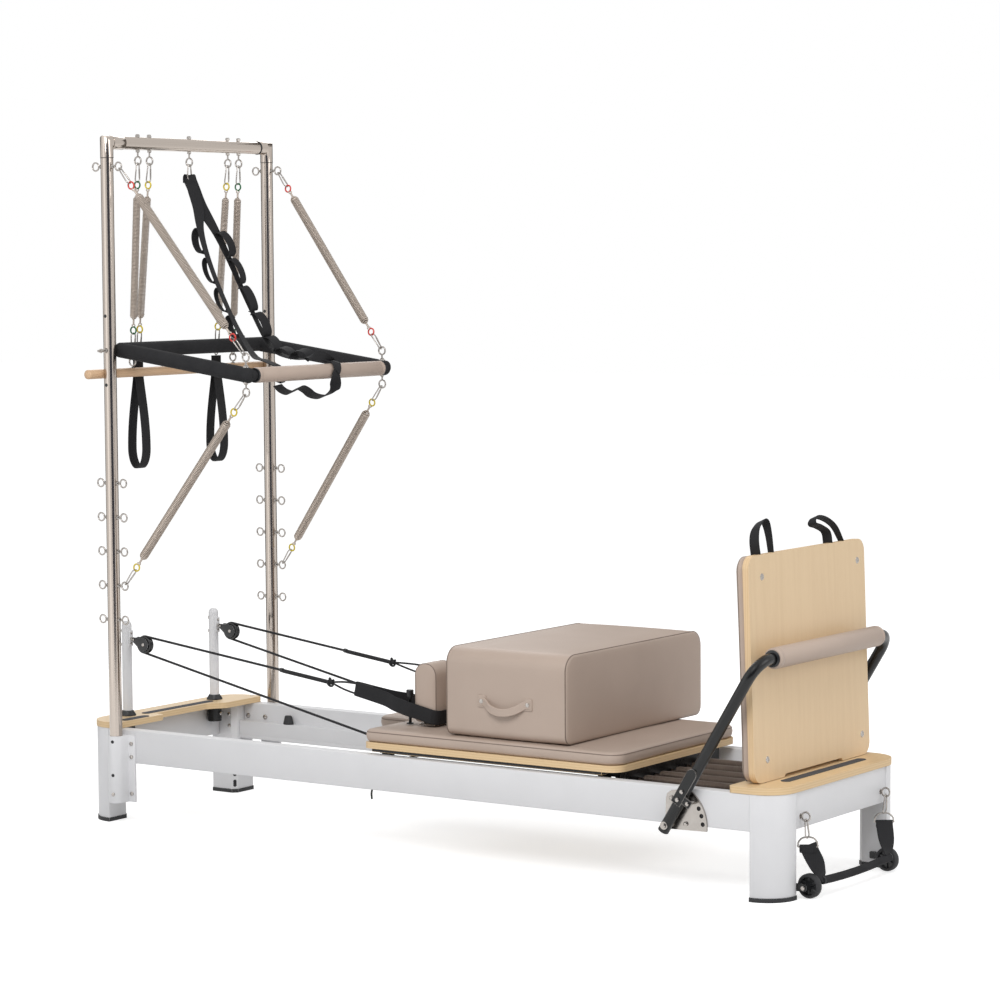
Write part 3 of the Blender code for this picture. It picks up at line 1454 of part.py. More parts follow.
def make_wheels():
    """Wheel sets: two wheels on one axle under the carriage."""
    offset = wheel_offset()
    half = WHEEL_WIDTH / 2
    for name, x in (("head_wheels", HEAD_WHEEL_X), ("foot_wheels", FOOT_WHEEL_X)):
        profile = [
            (0.0, offset + half),
            (WHEEL_RADIUS, offset + half),
            (WHEEL_RADIUS, offset - half),
            (AXLE_RADIUS, offset - half),
        ]
        profile += [(radius, -place) for radius, place in reversed(profile)]
        middle = Vector((x, 0, axle_height()))
        finished(name, turned(profile, middle, SIDEWAYS, 10), RUBBER, middle)


def strap_outlines():
    """Outer and inner line of a foot strap, from its tip to the loop round the shoulder rest."""
    inner_half = REST_WIDTH / 2 + 0.003
    end_x = REST_X + REST_THICKNESS / 2 + 0.006
    back_x = REST_X - REST_THICKNESS / 2 - 0.010
    tip_half = 0.005

    def line(grow):
        half = inner_half + grow
        corner = 0.020 + grow
        reach = end_x + grow
        points = arc((reach - corner, half - corner), corner, 0, 90, 3)
        points.append((back_x, half))
        points.append((back_x - 0.060, half * 0.72))
        points.append((-STRAP_LENGTH + 0.110, half * 0.32 + tip_half * 0.4))
        points.append((-STRAP_LENGTH + STRAP_TAPE - grow, tip_half + grow - STRAP_TAPE))
        mirrored = [(x, -y) for x, y in reversed(points)]
        return points + mirrored

    return line(STRAP_TAPE), line(0.0)


def make_straps():
    outer, inner = strap_outlines()
    for name, side in (("near_foot_strap", -1), ("far_foot_strap", 1)):
        band = outline_solid([outer, inner], STRAP_BAND)
        finished(name, baked(band, strap_matrix(side)), WEBBING)


def make_spring_bank():
    """Five springs held by one thin bar at their fixed end, and the spring bar behind them."""
    start = HOOK_BAR_X + GAP
    end = SPRING_BAR_X - SPRING_BAR_RADIUS - GAP
    coils = []
    rod_x = end - 0.004
    for k in range(CARRIAGE_SPRINGS):
        y = (k - (CARRIAGE_SPRINGS - 1) / 2) * CARRIAGE_SPRING_PITCH
        coils.append(
            spring(
                "carriage_springs",
                (start, y, CARRIAGE_SPRING_HEIGHT),
                (end, y, CARRIAGE_SPRING_HEIGHT),
                CARRIAGE_SPRING_RADIUS,
                CARRIAGE_SPRING_WIRE,
                CARRIAGE_SPRING_CURLS,
                0.016,
            )
        )
    reach = (CARRIAGE_SPRINGS - 1) / 2 * CARRIAGE_SPRING_PITCH + 0.010
    half = CARRIAGE_SPRING_WIRE * 1.5
    level = CARRIAGE_SPRING_HEIGHT
    keeper = block((rod_x - half, -reach, level - half), (rod_x + half, reach, level + half))
    finished("carriage_springs", united(keeper, coils), SPRING_STEEL)
    across = SIDEWAYS * (TRACK_INNER - GAP)
    middle = Vector((SPRING_BAR_X, 0, CARRIAGE_SPRING_HEIGHT - 0.040))
    bar = Vector((SPRING_BAR_X, 0, CARRIAGE_SPRING_HEIGHT))
    wide = SIDEWAYS * 0.240
    pieces = [rod(bar - wide, bar + wide, SPRING_BAR_RADIUS, 12)]
    for side in SIDES:
        y = side * 0.215
        low = (SPRING_BAR_X - 0.006, y - 0.010, middle.z)
        pieces.append(block(low, (SPRING_BAR_X + 0.006, y + 0.010, bar.z)))
    finished("spring_bar", united(rod(middle - across, middle + across, 0.012, 12), pieces), BLACK_METAL)


# Sitting box


def make_sitting_box():
    low = PAD_TOP + GAP
    box = cushion(
        BOX_LENGTH,
        BOX_HEIGHT,
        BOX_WIDTH - 0.012,
        (BOX_CORNER, BOX_CORNER, 0.025, 0.025),
        0.006,
        under_crown=0.006,
        draw_in=0.0,
        edge=0.006,
        shelf=0.6,
    )
    middle = Vector((BOX_X - (BOX_WIDTH - 0.012) / 2, BOX_Y, low + BOX_HEIGHT / 2))
    finished("sitting_box", baked(box, axes_matrix(middle, SIDEWAYS, UP, LENGTHWISE)), VINYL)
    level = low + BOX_HEIGHT * 0.42
    for name, side in (("near_box_handle", -1), ("far_box_handle", 1)):
        face = BOX_Y + side * (BOX_LENGTH / 2 + HANDLE_TAPE / 2 + HANDLE_STAND_OFF)
        shape = ((-0.085, 0.0, 0.0), (-0.066, 0.0, 0.0), (-0.045, 0.014, 0.012), (0.0, 0.022, 0.030))
        half = [(x, out, drop) for x, out, drop in shape]
        route = half + [(-x, out, drop) for x, out, drop in reversed(half[:-1])]
        points = [Vector((BOX_X + x, face + side * out, level - drop)) for x, out, drop in route]
        finished(name, ribbon(points, [UP] * len(points), HANDLE_WIDTH, HANDLE_TAPE), VINYL)


# Foot bar


def footbar_offset():
    return HALF_WIDTH + PLATE_THICKNESS + 3 * GAP + FOOTBAR_TUBE_RADIUS + 0.003


def footbar_direction():
    rise = FOOTBAR_TOP_HEIGHT - FOOTBAR_PIVOT_HEIGHT
    return Vector((FOOTBAR_TOP_X - FOOTBAR_PIVOT_X, 0, rise)).normalized()


def footbar_point(distance, side):
    base = Vector((FOOTBAR_PIVOT_X, side * footbar_offset(), FOOTBAR_PIVOT_HEIGHT))
    return base + footbar_direction() * distance


def footbar_length():
    return math.hypot(FOOTBAR_TOP_X - FOOTBAR_PIVOT_X, FOOTBAR_TOP_HEIGHT - FOOTBAR_PIVOT_HEIGHT)


def hole_point(index, y):
    turn = math.radians(HOLE_ANGLES[index])
    return Vector(
        (
            FOOTBAR_PIVOT_X + HOLE_CIRCLE * math.cos(turn),
            y,
            FOOTBAR_PIVOT_HEIGHT + HOLE_CIRCLE * math.sin(turn),
        )
    )


def make_foot_bar():
    pivot = Vector((FOOTBAR_PIVOT_X, 0, FOOTBAR_PIVOT_HEIGHT))
    length = footbar_length()
    route = [footbar_point(-FOOTBAR_TAIL, -1), footbar_point(length - FOOTBAR_BEND, -1)]
    steps = 4
    for side in SIDES:
        corner = footbar_point(length, side)
        along = footbar_direction()
        inward = -SIDEWAYS * side
        centre = corner - along * FOOTBAR_BEND + inward * FOOTBAR_BEND
        bend = []
        for k in range(1, steps + 1):
            turn = math.radians(90 * k / steps)
            outward = -inward * math.cos(turn) + along * math.sin(turn)
            bend.append(centre + outward * FOOTBAR_BEND)
        if side > 0:
            start = centre - inward * FOOTBAR_BEND
            bend = list(reversed(bend)) + [start]
        route += bend
    route.append(footbar_point(-FOOTBAR_TAIL, 1))
    finished("footbar_tube", tube(route, FOOTBAR_TUBE_RADIUS, 2), BLACK_METAL, pivot)
    half = FOOTBAR_GRIP_LENGTH / 2
    radius = FOOTBAR_GRIP_RADIUS
    bore = FOOTBAR_TUBE_RADIUS + SLEEVE_PLAY
    sleeve = [
        (bore, half),
        (radius - 0.004, half),
        (radius, half - 0.004),
        (radius, 0.004 - half),
        (radius - 0.004, -half),
        (bore, -half),
    ]
    top = footbar_point(length, 1)
    finished("footbar_grip", turned(sleeve, Vector((top.x, 0, top.z)), SIDEWAYS, 14, True), VINYL, pivot)
    for name, side in (("near_footbar_plate", -1), ("far_footbar_plate", 1)):
        face = side * (HALF_WIDTH + GAP)
        outer = face + side * PLATE_THICKNESS
        rim = arc((FOOTBAR_PIVOT_X, FOOTBAR_PIVOT_HEIGHT), PLATE_RADIUS, -6, 62, 8)
        corner = [
            (FOOTBAR_PIVOT_X + 0.002, FOOTBAR_PIVOT_HEIGHT + 0.090),
            (FOOTBAR_PIVOT_X - 0.014, FOOTBAR_PIVOT_HEIGHT + 0.070),
            (FOOTBAR_PIVOT_X - 0.016, FOOTBAR_PIVOT_HEIGHT - 0.002),
            (FOOTBAR_PIVOT_X - 0.002, FOOTBAR_PIVOT_HEIGHT - 0.014),
        ]
        loops = [rim + corner]
        for k in range(len(HOLE_ANGLES)):
            place = hole_point(k, 0.0)
            loops.append(arc((place.x, place.z), HOLE_RADIUS, 0, 300, 5))
        tube_face = side * (footbar_offset() - FOOTBAR_TUBE_RADIUS)
        boss = rod(
            (FOOTBAR_PIVOT_X, outer - side * WELD, FOOTBAR_PIVOT_HEIGHT),
            (FOOTBAR_PIVOT_X, tube_face - side * GAP, FOOTBAR_PIVOT_HEIGHT),
            0.010,
            10,
        )
        finished(name, united(side_plate(loops, face, outer), [boss]), BRIGHT)
    make_latch(pivot)


def make_latch(pivot):
    """Plunger that points at the near plate's first hole, and the thumb lever beside the tube."""
    plate_inner = -(HALF_WIDTH + GAP)
    outside = -(footbar_offset() + FOOTBAR_TUBE_RADIUS) - 2 * GAP
    pin = hole_point(0, 0.0)
    start = plate_inner - PLATE_THICKNESS - GAP
    plunger = rod((pin.x, start, pin.z), (pin.x, outside - LEVER_THICKNESS / 2, pin.z), LATCH_RADIUS, 10)
    along = footbar_direction()
    across = Vector((-along.z, 0, along.x))
    middle = Vector((FOOTBAR_PIVOT_X, 0, FOOTBAR_PIVOT_HEIGHT)) + along * 0.125
    shape = [
        (-0.052, -LEVER_WIDTH / 2),
        (0.040, -LEVER_WIDTH / 2),
        (0.056, -LEVER_WIDTH * 0.2),
        (0.060, 0.0),
        (0.056, LEVER_WIDTH * 0.2),
        (0.040, LEVER_WIDTH / 2),
        (-0.052, LEVER_WIDTH / 2),
    ]
    outline = []
    for u, v in shape:
        place = middle + along * u + across * v
        outline.append((place.x, place.z))
    lever = side_plate([outline], outside, outside - LEVER_THICKNESS)
    root = Vector((FOOTBAR_PIVOT_X, 0, FOOTBAR_PIVOT_HEIGHT)) + along * 0.097
    reach = (Vector((pin.x, 0, pin.z)) - root).normalized()
    step = Vector((-reach.z, 0, reach.x)) * 0.011
    tip = Vector((pin.x, 0, pin.z)) + reach * 0.011
    arm = [root - step, tip - step, tip + step, root + step]
    bridge = side_plate([[(p.x, p.z) for p in arm]], outside - 0.0005, outside - LEVER_THICKNESS * 0.8)
    finished("footbar_latch", united(lever, [bridge, plunger]), BLACK_METAL, pivot)


# Jump board


def jump_matrix():
    """Frame of the jump board: z up the board, x out of its bare face, origin at the foot of that face."""
    lean = Matrix.Rotation(math.radians(-JUMP_LEAN), 4, "Y")
    return Matrix.Translation((JUMP_FOOT_X, 0, PLATFORM_TOP + 0.0015)) @ lean


def make_jump_board():
    half = JUMP_WIDTH / 2
    notch = JUMP_NOTCH_WIDTH / 2
    rise = JUMP_NOTCH_HEIGHT
    corner = JUMP_CORNER
    loop = arc((half - corner, JUMP_HEIGHT - corner), corner, 0, 90, 4)
    loop += arc((corner - half, JUMP_HEIGHT - corner), corner, 90, 180, 4)
    loop += arc((corner - half, corner), corner, 180, 270, 4)
    loop += [(-notch, 0.0), (-notch + rise, rise), (notch - rise, rise), (notch, 0.0)]
    loop += arc((half - corner, corner), corner, 270, 360, 4)
    flat = cross_plate([loop], -WOOD_THICKNESS, 0.0)
    pegs = []
    for side in SIDES:
        y = side * PEG_SPACING / 2
        x = -WOOD_THICKNESS / 2
        pegs.append(rod((x, y, 0.010), (x, y, -WOOD_THICKNESS), PEG_RADIUS, 10))
    loops = []
    x = -WOOD_THICKNESS / 2
    near_loop = ((-0.250, 0.0), (-0.252, 0.040), (-0.236, 0.074), (-0.208, 0.084))
    near_loop += ((-0.182, 0.074), (-0.168, 0.040), (-0.170, 0.0))
    far_loop = ((0.140, 0.0), (0.118, 0.030), (0.078, 0.058), (0.084, 0.074))
    far_loop += ((0.128, 0.066), (0.190, 0.038), (0.226, 0.0))
    for shape in (near_loop, far_loop):
        points = [Vector((x, y, JUMP_HEIGHT - WELD + rise)) for y, rise in shape]
        loops.append(ribbon(points, [LENGTHWISE] * len(points), WOOD_THICKNESS - 0.004, 0.003))
    board = united(flat, pegs + loops)
    finished("jump_board", baked(board, jump_matrix()), PLYWOOD)
    inset = 0.003
    pad = cushion(
        JUMP_WIDTH - 2 * inset,
        JUMP_HEIGHT - 2 * inset,
        JUMP_PAD,
        (JUMP_CORNER,) * 4,
        JUMP_PAD_CROWN,
        draw_in=0.002,
    )
    middle = Vector((-WOOD_THICKNESS - GAP, 0, JUMP_HEIGHT / 2))
    baked(pad, axes_matrix(middle, SIDEWAYS, UP, LENGTHWISE) @ Matrix.Rotation(math.pi, 4, "X"))
    finished("jump_pad", baked(clean(pad), jump_matrix()), VINYL)


# Transport wheels and foot handle


def make_transport_wheels():
    half = ROAD_WHEEL_WIDTH / 2
    bore = AXLE_RADIUS + PIN_CLEARANCE
    profile = [
        (bore, half),
        (ROAD_WHEEL_RADIUS - 0.006, half),
        (ROAD_WHEEL_RADIUS, half - 0.006),
        (ROAD_WHEEL_RADIUS, 0.006 - half),
        (ROAD_WHEEL_RADIUS - 0.006, -half),
        (bore, -half),
    ]
    for name, side in (("near_transport_wheel", -1), ("far_transport_wheel", 1)):
        place = Vector((ROAD_WHEEL_X, side * ROAD_WHEEL_OFFSET, ROAD_WHEEL_HEIGHT))
        finished(name, turned(profile, place, SIDEWAYS, 12, True), RUBBER, place)


def make_foot_handle():
    """Padded tube on two straps that hang from eyebolts in the foot beam."""
    pieces = []
    axis = Vector((FOOT_BEAM_FACE + FOOT_EYE_SHANK + EYE_RADIUS, 0, FOOT_EYE_HEIGHT - clip_inside()))
    ring_top = FOOT_EYE_HEIGHT - clip_inside() - FOOT_CLIP_LENGTH + CLIP_WIRE + RING_WIRE - RING_SEAT
    ring_drop = 0.026
    for side in SIDES:
        y = side * FOOT_EYE_SPACING / 2
        centre = Vector((axis.x, y, FOOT_EYE_HEIGHT))
        pieces.append(clip(centre - UP * clip_inside(), -UP, SIDEWAYS, FOOT_CLIP_LENGTH))
        middle = Vector((centre.x, y, ring_top - ring_drop / 2))
        half = 0.021
        dee = (
            (0.0, ring_drop / 2),
            (-half * 0.75, ring_drop * 0.30),
            (-half, -ring_drop * 0.15),
            (-half, -ring_drop / 2),
            (half, -ring_drop / 2),
            (half, -ring_drop * 0.15),
            (half * 0.75, ring_drop * 0.30),
        )
        pieces.append(tube([middle + LENGTHWISE * u + UP * v for u, v in dee], RING_WIRE, 1, True))
        strap_top = Vector((centre.x, y, ring_top - ring_drop + RING_WIRE / 2))
        grip_y = side * (GRIP_TUBE_LENGTH / 2 - 0.022)
        strap_low = Vector((GRIP_TUBE_X, grip_y, GRIP_TUBE_HEIGHT + GRIP_TUBE_RADIUS * 0.5))
        route = [strap_top, strap_top.lerp(strap_low, 0.35), strap_top.lerp(strap_low, 0.7), strap_low]
        widths = [Vector((1, 0, 0)), Vector((1, 0.5, 0)), Vector((0.7, 1, 0)), Vector((0, 1, 0))]
        pieces.append(ribbon(route, widths, 0.040, 0.004))
    reach = GRIP_TUBE_LENGTH / 2
    sag = 0.006
    route = []
    for k in range(5):
        share = k / 4
        drop = sag * (1 - (2 * share - 1) ** 2)
        route.append((GRIP_TUBE_X, -reach + 2 * reach * share, GRIP_TUBE_HEIGHT - drop))
    finished("foot_handle", united(tube(route, GRIP_TUBE_RADIUS, 2), pieces), WEBBING, axis)


make_rails()
make_beams()
make_legs()
make_platforms()
make_posts()
make_top_bar()
make_sockets()
make_risers()
make_sheaves()
make_ropes()
make_push_through_bar()
make_bar_springs()
make_roll_down_bar()
make_hand_loops()
make_loop_strap()
make_carriage()
make_spring_bank()
make_sitting_box()
make_foot_bar()
make_jump_board()
make_transport_wheels()
make_foot_handle()

for holder in (PARTS, CUTTERS):
    for made in holder.objects:
        made.location.x -= ORIGIN_X

for label, least in LEAST_GAPS.items():
    print(f"{label}: least gap between its turns {least * 1000:.2f} mm")
print("parts:", len(PARTS.objects))
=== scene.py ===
# Pilates reformer with a half tower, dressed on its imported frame.
# Lengths are metres. Every piece is laid out from the middle of the frame on the floor, as a maker would
# measure it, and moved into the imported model's own place by layoutShift when it is finished.
import math

import bmesh
import bpy
from mathutils import Matrix, Vector
from mathutils.geometry import tessellate_polygon
from mathutils.noise import noise


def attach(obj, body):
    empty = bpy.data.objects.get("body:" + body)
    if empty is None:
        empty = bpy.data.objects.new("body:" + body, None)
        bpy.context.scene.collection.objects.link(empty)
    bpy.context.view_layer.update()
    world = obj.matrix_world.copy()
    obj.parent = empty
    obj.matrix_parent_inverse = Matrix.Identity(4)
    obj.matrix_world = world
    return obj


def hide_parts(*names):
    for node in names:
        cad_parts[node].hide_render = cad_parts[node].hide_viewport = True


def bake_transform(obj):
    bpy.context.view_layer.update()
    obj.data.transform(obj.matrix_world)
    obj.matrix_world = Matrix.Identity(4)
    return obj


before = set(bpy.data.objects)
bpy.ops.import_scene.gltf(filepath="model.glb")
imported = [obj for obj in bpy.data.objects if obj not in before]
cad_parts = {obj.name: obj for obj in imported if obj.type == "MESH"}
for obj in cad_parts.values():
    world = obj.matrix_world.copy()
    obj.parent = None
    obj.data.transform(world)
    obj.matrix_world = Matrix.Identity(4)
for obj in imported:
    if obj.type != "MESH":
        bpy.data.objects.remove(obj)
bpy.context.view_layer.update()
layoutShift = Vector((-0.02625, 0.0, 0.0))
up = Vector((0.0, 0.0, 1.0))
lengthwise = Vector((1.0, 0.0, 0.0))
sideways = Vector((0.0, 1.0, 0.0))
sides = (-1.0, 1.0)
sideNames = {-1.0: "near", 1.0: "far"}


# materials: every pattern's size is in millimetres of the real thing

def linear(hexColour):
    values = [int(hexColour[i : i + 2], 16) / 255 for i in (1, 3, 5)]
    return (*[v / 12.92 if v <= 0.04045 else ((v + 0.055) / 1.055) ** 2.4 for v in values], 1.0)


def addNode(tree, kind, settings=None, links=None):
    # attributes first, because some of them decide which sockets a node has
    node = tree.nodes.new(kind)
    wanted = settings or {}
    for key, value in wanted.items():
        if isinstance(key, str) and key not in node.inputs.keys():
            setattr(node, key, value)
    for key, value in wanted.items():
        if isinstance(key, int) or key in node.inputs.keys():
            node.inputs[key].default_value = value
    for key, source in (links or {}).items():
        tree.links.new(source, node.inputs[key])
    return node


def newMaterial(name, look):
    made = bpy.data.materials.new(name)
    made.use_nodes = True
    tree = made.node_tree
    shader = tree.nodes["Principled BSDF"]
    shader.inputs["Base Color"].default_value = linear(look["colour"])
    shader.inputs["Roughness"].default_value = look["roughness"]
    shader.inputs["Metallic"].default_value = look.get("metallic", 0.0)
    for socket, key in (("Sheen Weight", "sheen"), ("Coat Weight", "coat"), ("Specular IOR Level", "specular")):
        if key in look:
            shader.inputs[socket].default_value = look[key]
    made.diffuse_color = linear(look["colour"])
    return made, tree, shader


def patternPlace(tree, stretchMm):
    # Object coordinates, divided so that one unit of a pattern is the given size along each axis
    where = addNode(tree, "ShaderNodeTexCoord")
    scale = [1000.0 / size for size in stretchMm]
    return addNode(tree, "ShaderNodeMapping", {"Scale": scale}, {"Vector": where.outputs["Object"]}).outputs[0]


def varyColour(tree, shader, factor, darkHex, lightHex, low=0.35, high=0.65):
    ramp = addNode(tree, "ShaderNodeValToRGB", {}, {"Fac": factor})
    ramp.color_ramp.elements[0].position = low
    ramp.color_ramp.elements[0].color = linear(darkHex)
    ramp.color_ramp.elements[1].position = high
    ramp.color_ramp.elements[1].color = linear(lightHex)
    tree.links.new(ramp.outputs["Color"], shader.inputs["Base Color"])


def varyRoughness(tree, shader, factor, low, high):
    spread = addNode(tree, "ShaderNodeMapRange", {"To Min": low, "To Max": high}, {"Value": factor})
    tree.links.new(spread.outputs["Result"], shader.inputs["Roughness"])


def addBump(tree, shader, height, strength, depthMm):
    settings = {"Strength": strength, "Distance": depthMm / 1000.0}
    bump = addNode(tree, "ShaderNodeBump", settings, {"Height": height})
    tree.links.new(bump.outputs["Normal"], shader.inputs["Normal"])


def noiseFactor(tree, stretchMm, detail=3.0, rough=0.55):
    place = patternPlace(tree, stretchMm)
    settings = {"Scale": 1.0, "Detail": detail, "Roughness": rough}
    return addNode(tree, "ShaderNodeTexNoise", settings, {"Vector": place}).outputs["Fac"]


def coated(name, look):
    # sprayed or moulded finishes: a fine orange peel or grit, with slow drift in tone and gloss
    made, tree, shader = newMaterial(name, look)
    drift = noiseFactor(tree, (look["driftMm"],) * 3)
    varyColour(tree, shader, drift, look["shade"], look["colour"])
    varyRoughness(tree, shader, drift, look["roughness"] - look["glossSpread"], look["roughness"])
    peel = noiseFactor(tree, (look["peelMm"],) * 3, 2.0)
    addBump(tree, shader, peel, look["peelStrength"], look["peelDepthMm"])
    return made


def brushed(name, look):
    # drawn or polished metal: hair lines far longer than they are wide, along the tube
    made, tree, shader = newMaterial(name, look)
    hair = noiseFactor(tree, look["hairMm"], 4.0, 0.7)
    varyColour(tree, shader, hair, look["shade"], look["colour"])
    varyRoughness(tree, shader, hair, look["roughness"] - look["glossSpread"], look["roughness"])
    return made


def timber(name, look):
    # long grain streaks, short pores, and a clear satin lacquer over them
    made, tree, shader = newMaterial(name, look)
    streak = noiseFactor(tree, look["grainMm"], 5.0, 0.6)
    pore = noiseFactor(tree, look["poreMm"], 2.0)
    both = addNode(tree, "ShaderNodeMath", {"operation": "MULTIPLY_ADD", 1: 0.7, 2: 0.0}, {0: streak})
    tree.links.new(addNode(tree, "ShaderNodeMath", {"operation": "MULTIPLY", 1: 0.3}, {0: pore}).outputs[0],
                   both.inputs[2])
    varyColour(tree, shader, both.outputs[0], look["shade"], look["colour"], 0.38, 0.58)
    varyRoughness(tree, shader, streak, look["roughness"] - 0.06, look["roughness"] + 0.06)
    addBump(tree, shader, pore, 0.15, 0.15)
    return made


def bandFactor(tree, direction, bandMm, settings):
    # light and dark bands, each bandMm wide; at Scale 1 the wave node draws 10 / pi pairs to a metre
    place = patternPlace(tree, (1000.0,) * 3)
    wanted = {"wave_type": "BANDS", "bands_direction": direction, "Scale": math.pi / 20.0 * 1000.0 / bandMm}
    return addNode(tree, "ShaderNodeTexWave", {**wanted, **settings}, {"Vector": place}).outputs["Fac"]


def plyEdge(name, look):
    # sawn plywood edge: thin bands of light and dark veneer, each plyMm thick
    made, tree, shader = newMaterial(name, look)
    waver = {"Distortion": 0.6, "Detail": 2.0, "Detail Scale": 1.0}
    bands = bandFactor(tree, look["across"], look["plyMm"], waver)
    varyColour(tree, shader, bands, look["shade"], look["colour"], 0.25, 0.60)
    addBump(tree, shader, bands, 0.1, 0.1)
    return made


def grained(name, look):
    # embossed vinyl leather: rounded pebbles with fine creases between them, softly glossy on top
    made, tree, shader = newMaterial(name, look)
    place = patternPlace(tree, (look["pebbleMm"],) * 3)
    drift = noiseFactor(tree, (look["driftMm"],) * 3)
    cells = addNode(tree, "ShaderNodeTexVoronoi", {"feature": "SMOOTH_F1", "Scale": 1.0, "Smoothness": 0.4},
                    {"Vector": place})
    varyColour(tree, shader, drift, look["shade"], look["colour"])
    varyRoughness(tree, shader, cells.outputs["Distance"], look["roughness"] - 0.05, look["roughness"] + 0.08)
    turnedOver = addNode(tree, "ShaderNodeMath", {"operation": "SUBTRACT", 0: 1.0},
                         {1: cells.outputs["Distance"]})
    addBump(tree, shader, turnedOver.outputs[0], look["peelStrength"], look["peelDepthMm"])
    return made


def woven(name, look):
    # crossing threads; threadMm is drawn coarser than the real 0.8 mm so that it shows
    made, tree, shader = newMaterial(name, look)
    bands = [bandFactor(tree, axis, look["threadMm"], {"Distortion": 0.4}) for axis in ("X", "Y", "Z")]
    first = addNode(tree, "ShaderNodeMath", {"operation": "MULTIPLY"}, {0: bands[0], 1: bands[1]})
    total = addNode(tree, "ShaderNodeMath", {"operation": "ADD"}, {0: first.outputs[0], 1: bands[2]})
    half = addNode(tree, "ShaderNodeMath", {"operation": "MULTIPLY", 1: 0.5}, {0: total.outputs[0]})
    varyColour(tree, shader, half.outputs[0], look["shade"], look["colour"], 0.1, 0.8)
    addBump(tree, shader, half.outputs[0], look["peelStrength"], look["peelDepthMm"])
    return made


# White polyester powder coat on steel: soft gloss with a very fine orange peel
powderCoat = coated("powder_coat_white", {"colour": "#DEDEE0", "shade": "#DBDBDD", "roughness": 0.42,
                    "glossSpread": 0.06, "driftMm": 160, "peelMm": 2.2, "peelStrength": 0.06,
                    "peelDepthMm": 0.12})
# Satin stainless tube: warm grey, with drawn lines along it that stretch each highlight
steelLook = {"colour": "#BAB0A7", "shade": "#B5ABA2", "roughness": 0.17, "glossSpread": 0.03, "metallic": 1.0}
stainless = brushed("stainless_steel_satin", {**steelLook, "hairMm": (2.2, 2.2, 420)})
stainlessAcross = brushed("stainless_steel_satin_bar", {**steelLook, "hairMm": (2.2, 420, 2.2)})
# Zinc plated fittings: bright, slightly uneven plating
brightZinc = brushed("zinc_plated_steel", {"colour": "#ABA6A1", "shade": "#A39E99", "roughness": 0.24,
                     "glossSpread": 0.04, "metallic": 1.0, "hairMm": (30, 30, 30)})
# Satin black powder coat on steel: dark with a broad soft highlight
blackSteel = coated("powder_coat_black", {"colour": "#101112", "shade": "#0D0E0F", "roughness": 0.30,
                    "glossSpread": 0.06, "driftMm": 90, "peelMm": 1.8, "peelStrength": 0.06,
                    "peelDepthMm": 0.10, "specular": 0.4})
# Moulded black nylon: pulley cheeks, sheaves and knobs, a little glossier than the paint
blackNylon = coated("moulded_nylon_black", {"colour": "#1F2022", "shade": "#1A1B1D", "roughness": 0.34,
                    "glossSpread": 0.05, "driftMm": 60, "peelMm": 1.2, "peelStrength": 0.05,
                    "peelDepthMm": 0.08})
# Closed cell foam sleeve: dull, with fine open pores in its skin
foamSleeve = coated("closed_cell_foam_black", {"colour": "#2B2B2D", "shade": "#252527", "roughness": 0.92,
                    "glossSpread": 0.04, "driftMm": 45, "peelMm": 1.6, "peelStrength": 0.35, "peelDepthMm": 0.4,
                    "specular": 0.25})
# Moulded rubber: near black and dull, with a faint bloom
blackRubber = coated("moulded_rubber_black", {"colour": "#2B2B2D", "shade": "#232325", "roughness": 0.74,
                     "glossSpread": 0.08, "driftMm": 30, "peelMm": 1.0, "peelStrength": 0.12,
                     "peelDepthMm": 0.1})
# Grit faced rubber strip: grey granules, each catching a point of light
gritStrip = coated("grit_rubber_grey", {"colour": "#4C4E54", "shade": "#3C3E43", "roughness": 0.90,
                   "glossSpread": 0.05, "driftMm": 2.4, "peelMm": 1.4, "peelStrength": 0.6, "peelDepthMm": 0.5})
# Lacquered birch plywood face: pale straw with faint long grain, running across the machine
birchFace = timber("birch_plywood_face", {"colour": "#E2C69C", "shade": "#DDC094", "roughness": 0.42,
                   "grainMm": (16, 420, 16), "poreMm": (2.0, 24, 2.0)})
# The same veneer with its grain running up the jump board
birchUpright = timber("birch_plywood_upright", {"colour": "#E1C6A0", "shade": "#DDC19A", "roughness": 0.42,
                      "grainMm": (18, 18, 520), "poreMm": (2.2, 2.2, 26)})
# Sawn plywood edges: bands of light and dark veneer, flat boards and the upright board
birchEdge = plyEdge("birch_plywood_edge", {"colour": "#DFC298", "shade": "#D8BA8E", "roughness": 0.55,
                    "plyMm": 3.4, "across": "Z"})
birchEdgeUpright = plyEdge("birch_plywood_edge_upright", {"colour": "#DEC098", "shade": "#D7B88E",
                           "roughness": 0.55, "plyMm": 3.4, "across": "X"})
# Turned beech: pinkish tan with short flecks along the dowel
beech = timber("turned_beech", {"colour": "#D6B491", "shade": "#CEA985", "roughness": 0.46,
               "grainMm": (5, 120, 5), "poreMm": (0.9, 6, 0.9)})
# Embossed vinyl leather in taupe: matt, with an even pebble grain
vinyl = grained("vinyl_leather_taupe", {"colour": "#B7A598", "shade": "#B3A194", "roughness": 0.50,
                "driftMm": 200, "pebbleMm": 2.4, "peelStrength": 0.16, "peelDepthMm": 0.25, "specular": 0.4})
# Piping and seam creases in the same vinyl, painted darker: painted shade for the crease beside the piping
vinylSeamShaded = grained("vinyl_leather_seam_shaded", {"colour": "#85766C", "shade": "#7B6D64", "roughness": 0.56,
                    "driftMm": 60, "pebbleMm": 2.0, "peelStrength": 0.12, "peelDepthMm": 0.2, "specular": 0.35})
# Polyester sewing thread, a shade lighter than the vinyl
sewingThread = coated("polyester_thread_taupe", {"colour": "#C6B7AA", "shade": "#BDADA0", "roughness": 0.7,
                      "glossSpread": 0.05, "driftMm": 4, "peelMm": 0.8, "peelStrength": 0.2,
                      "peelDepthMm": 0.1})
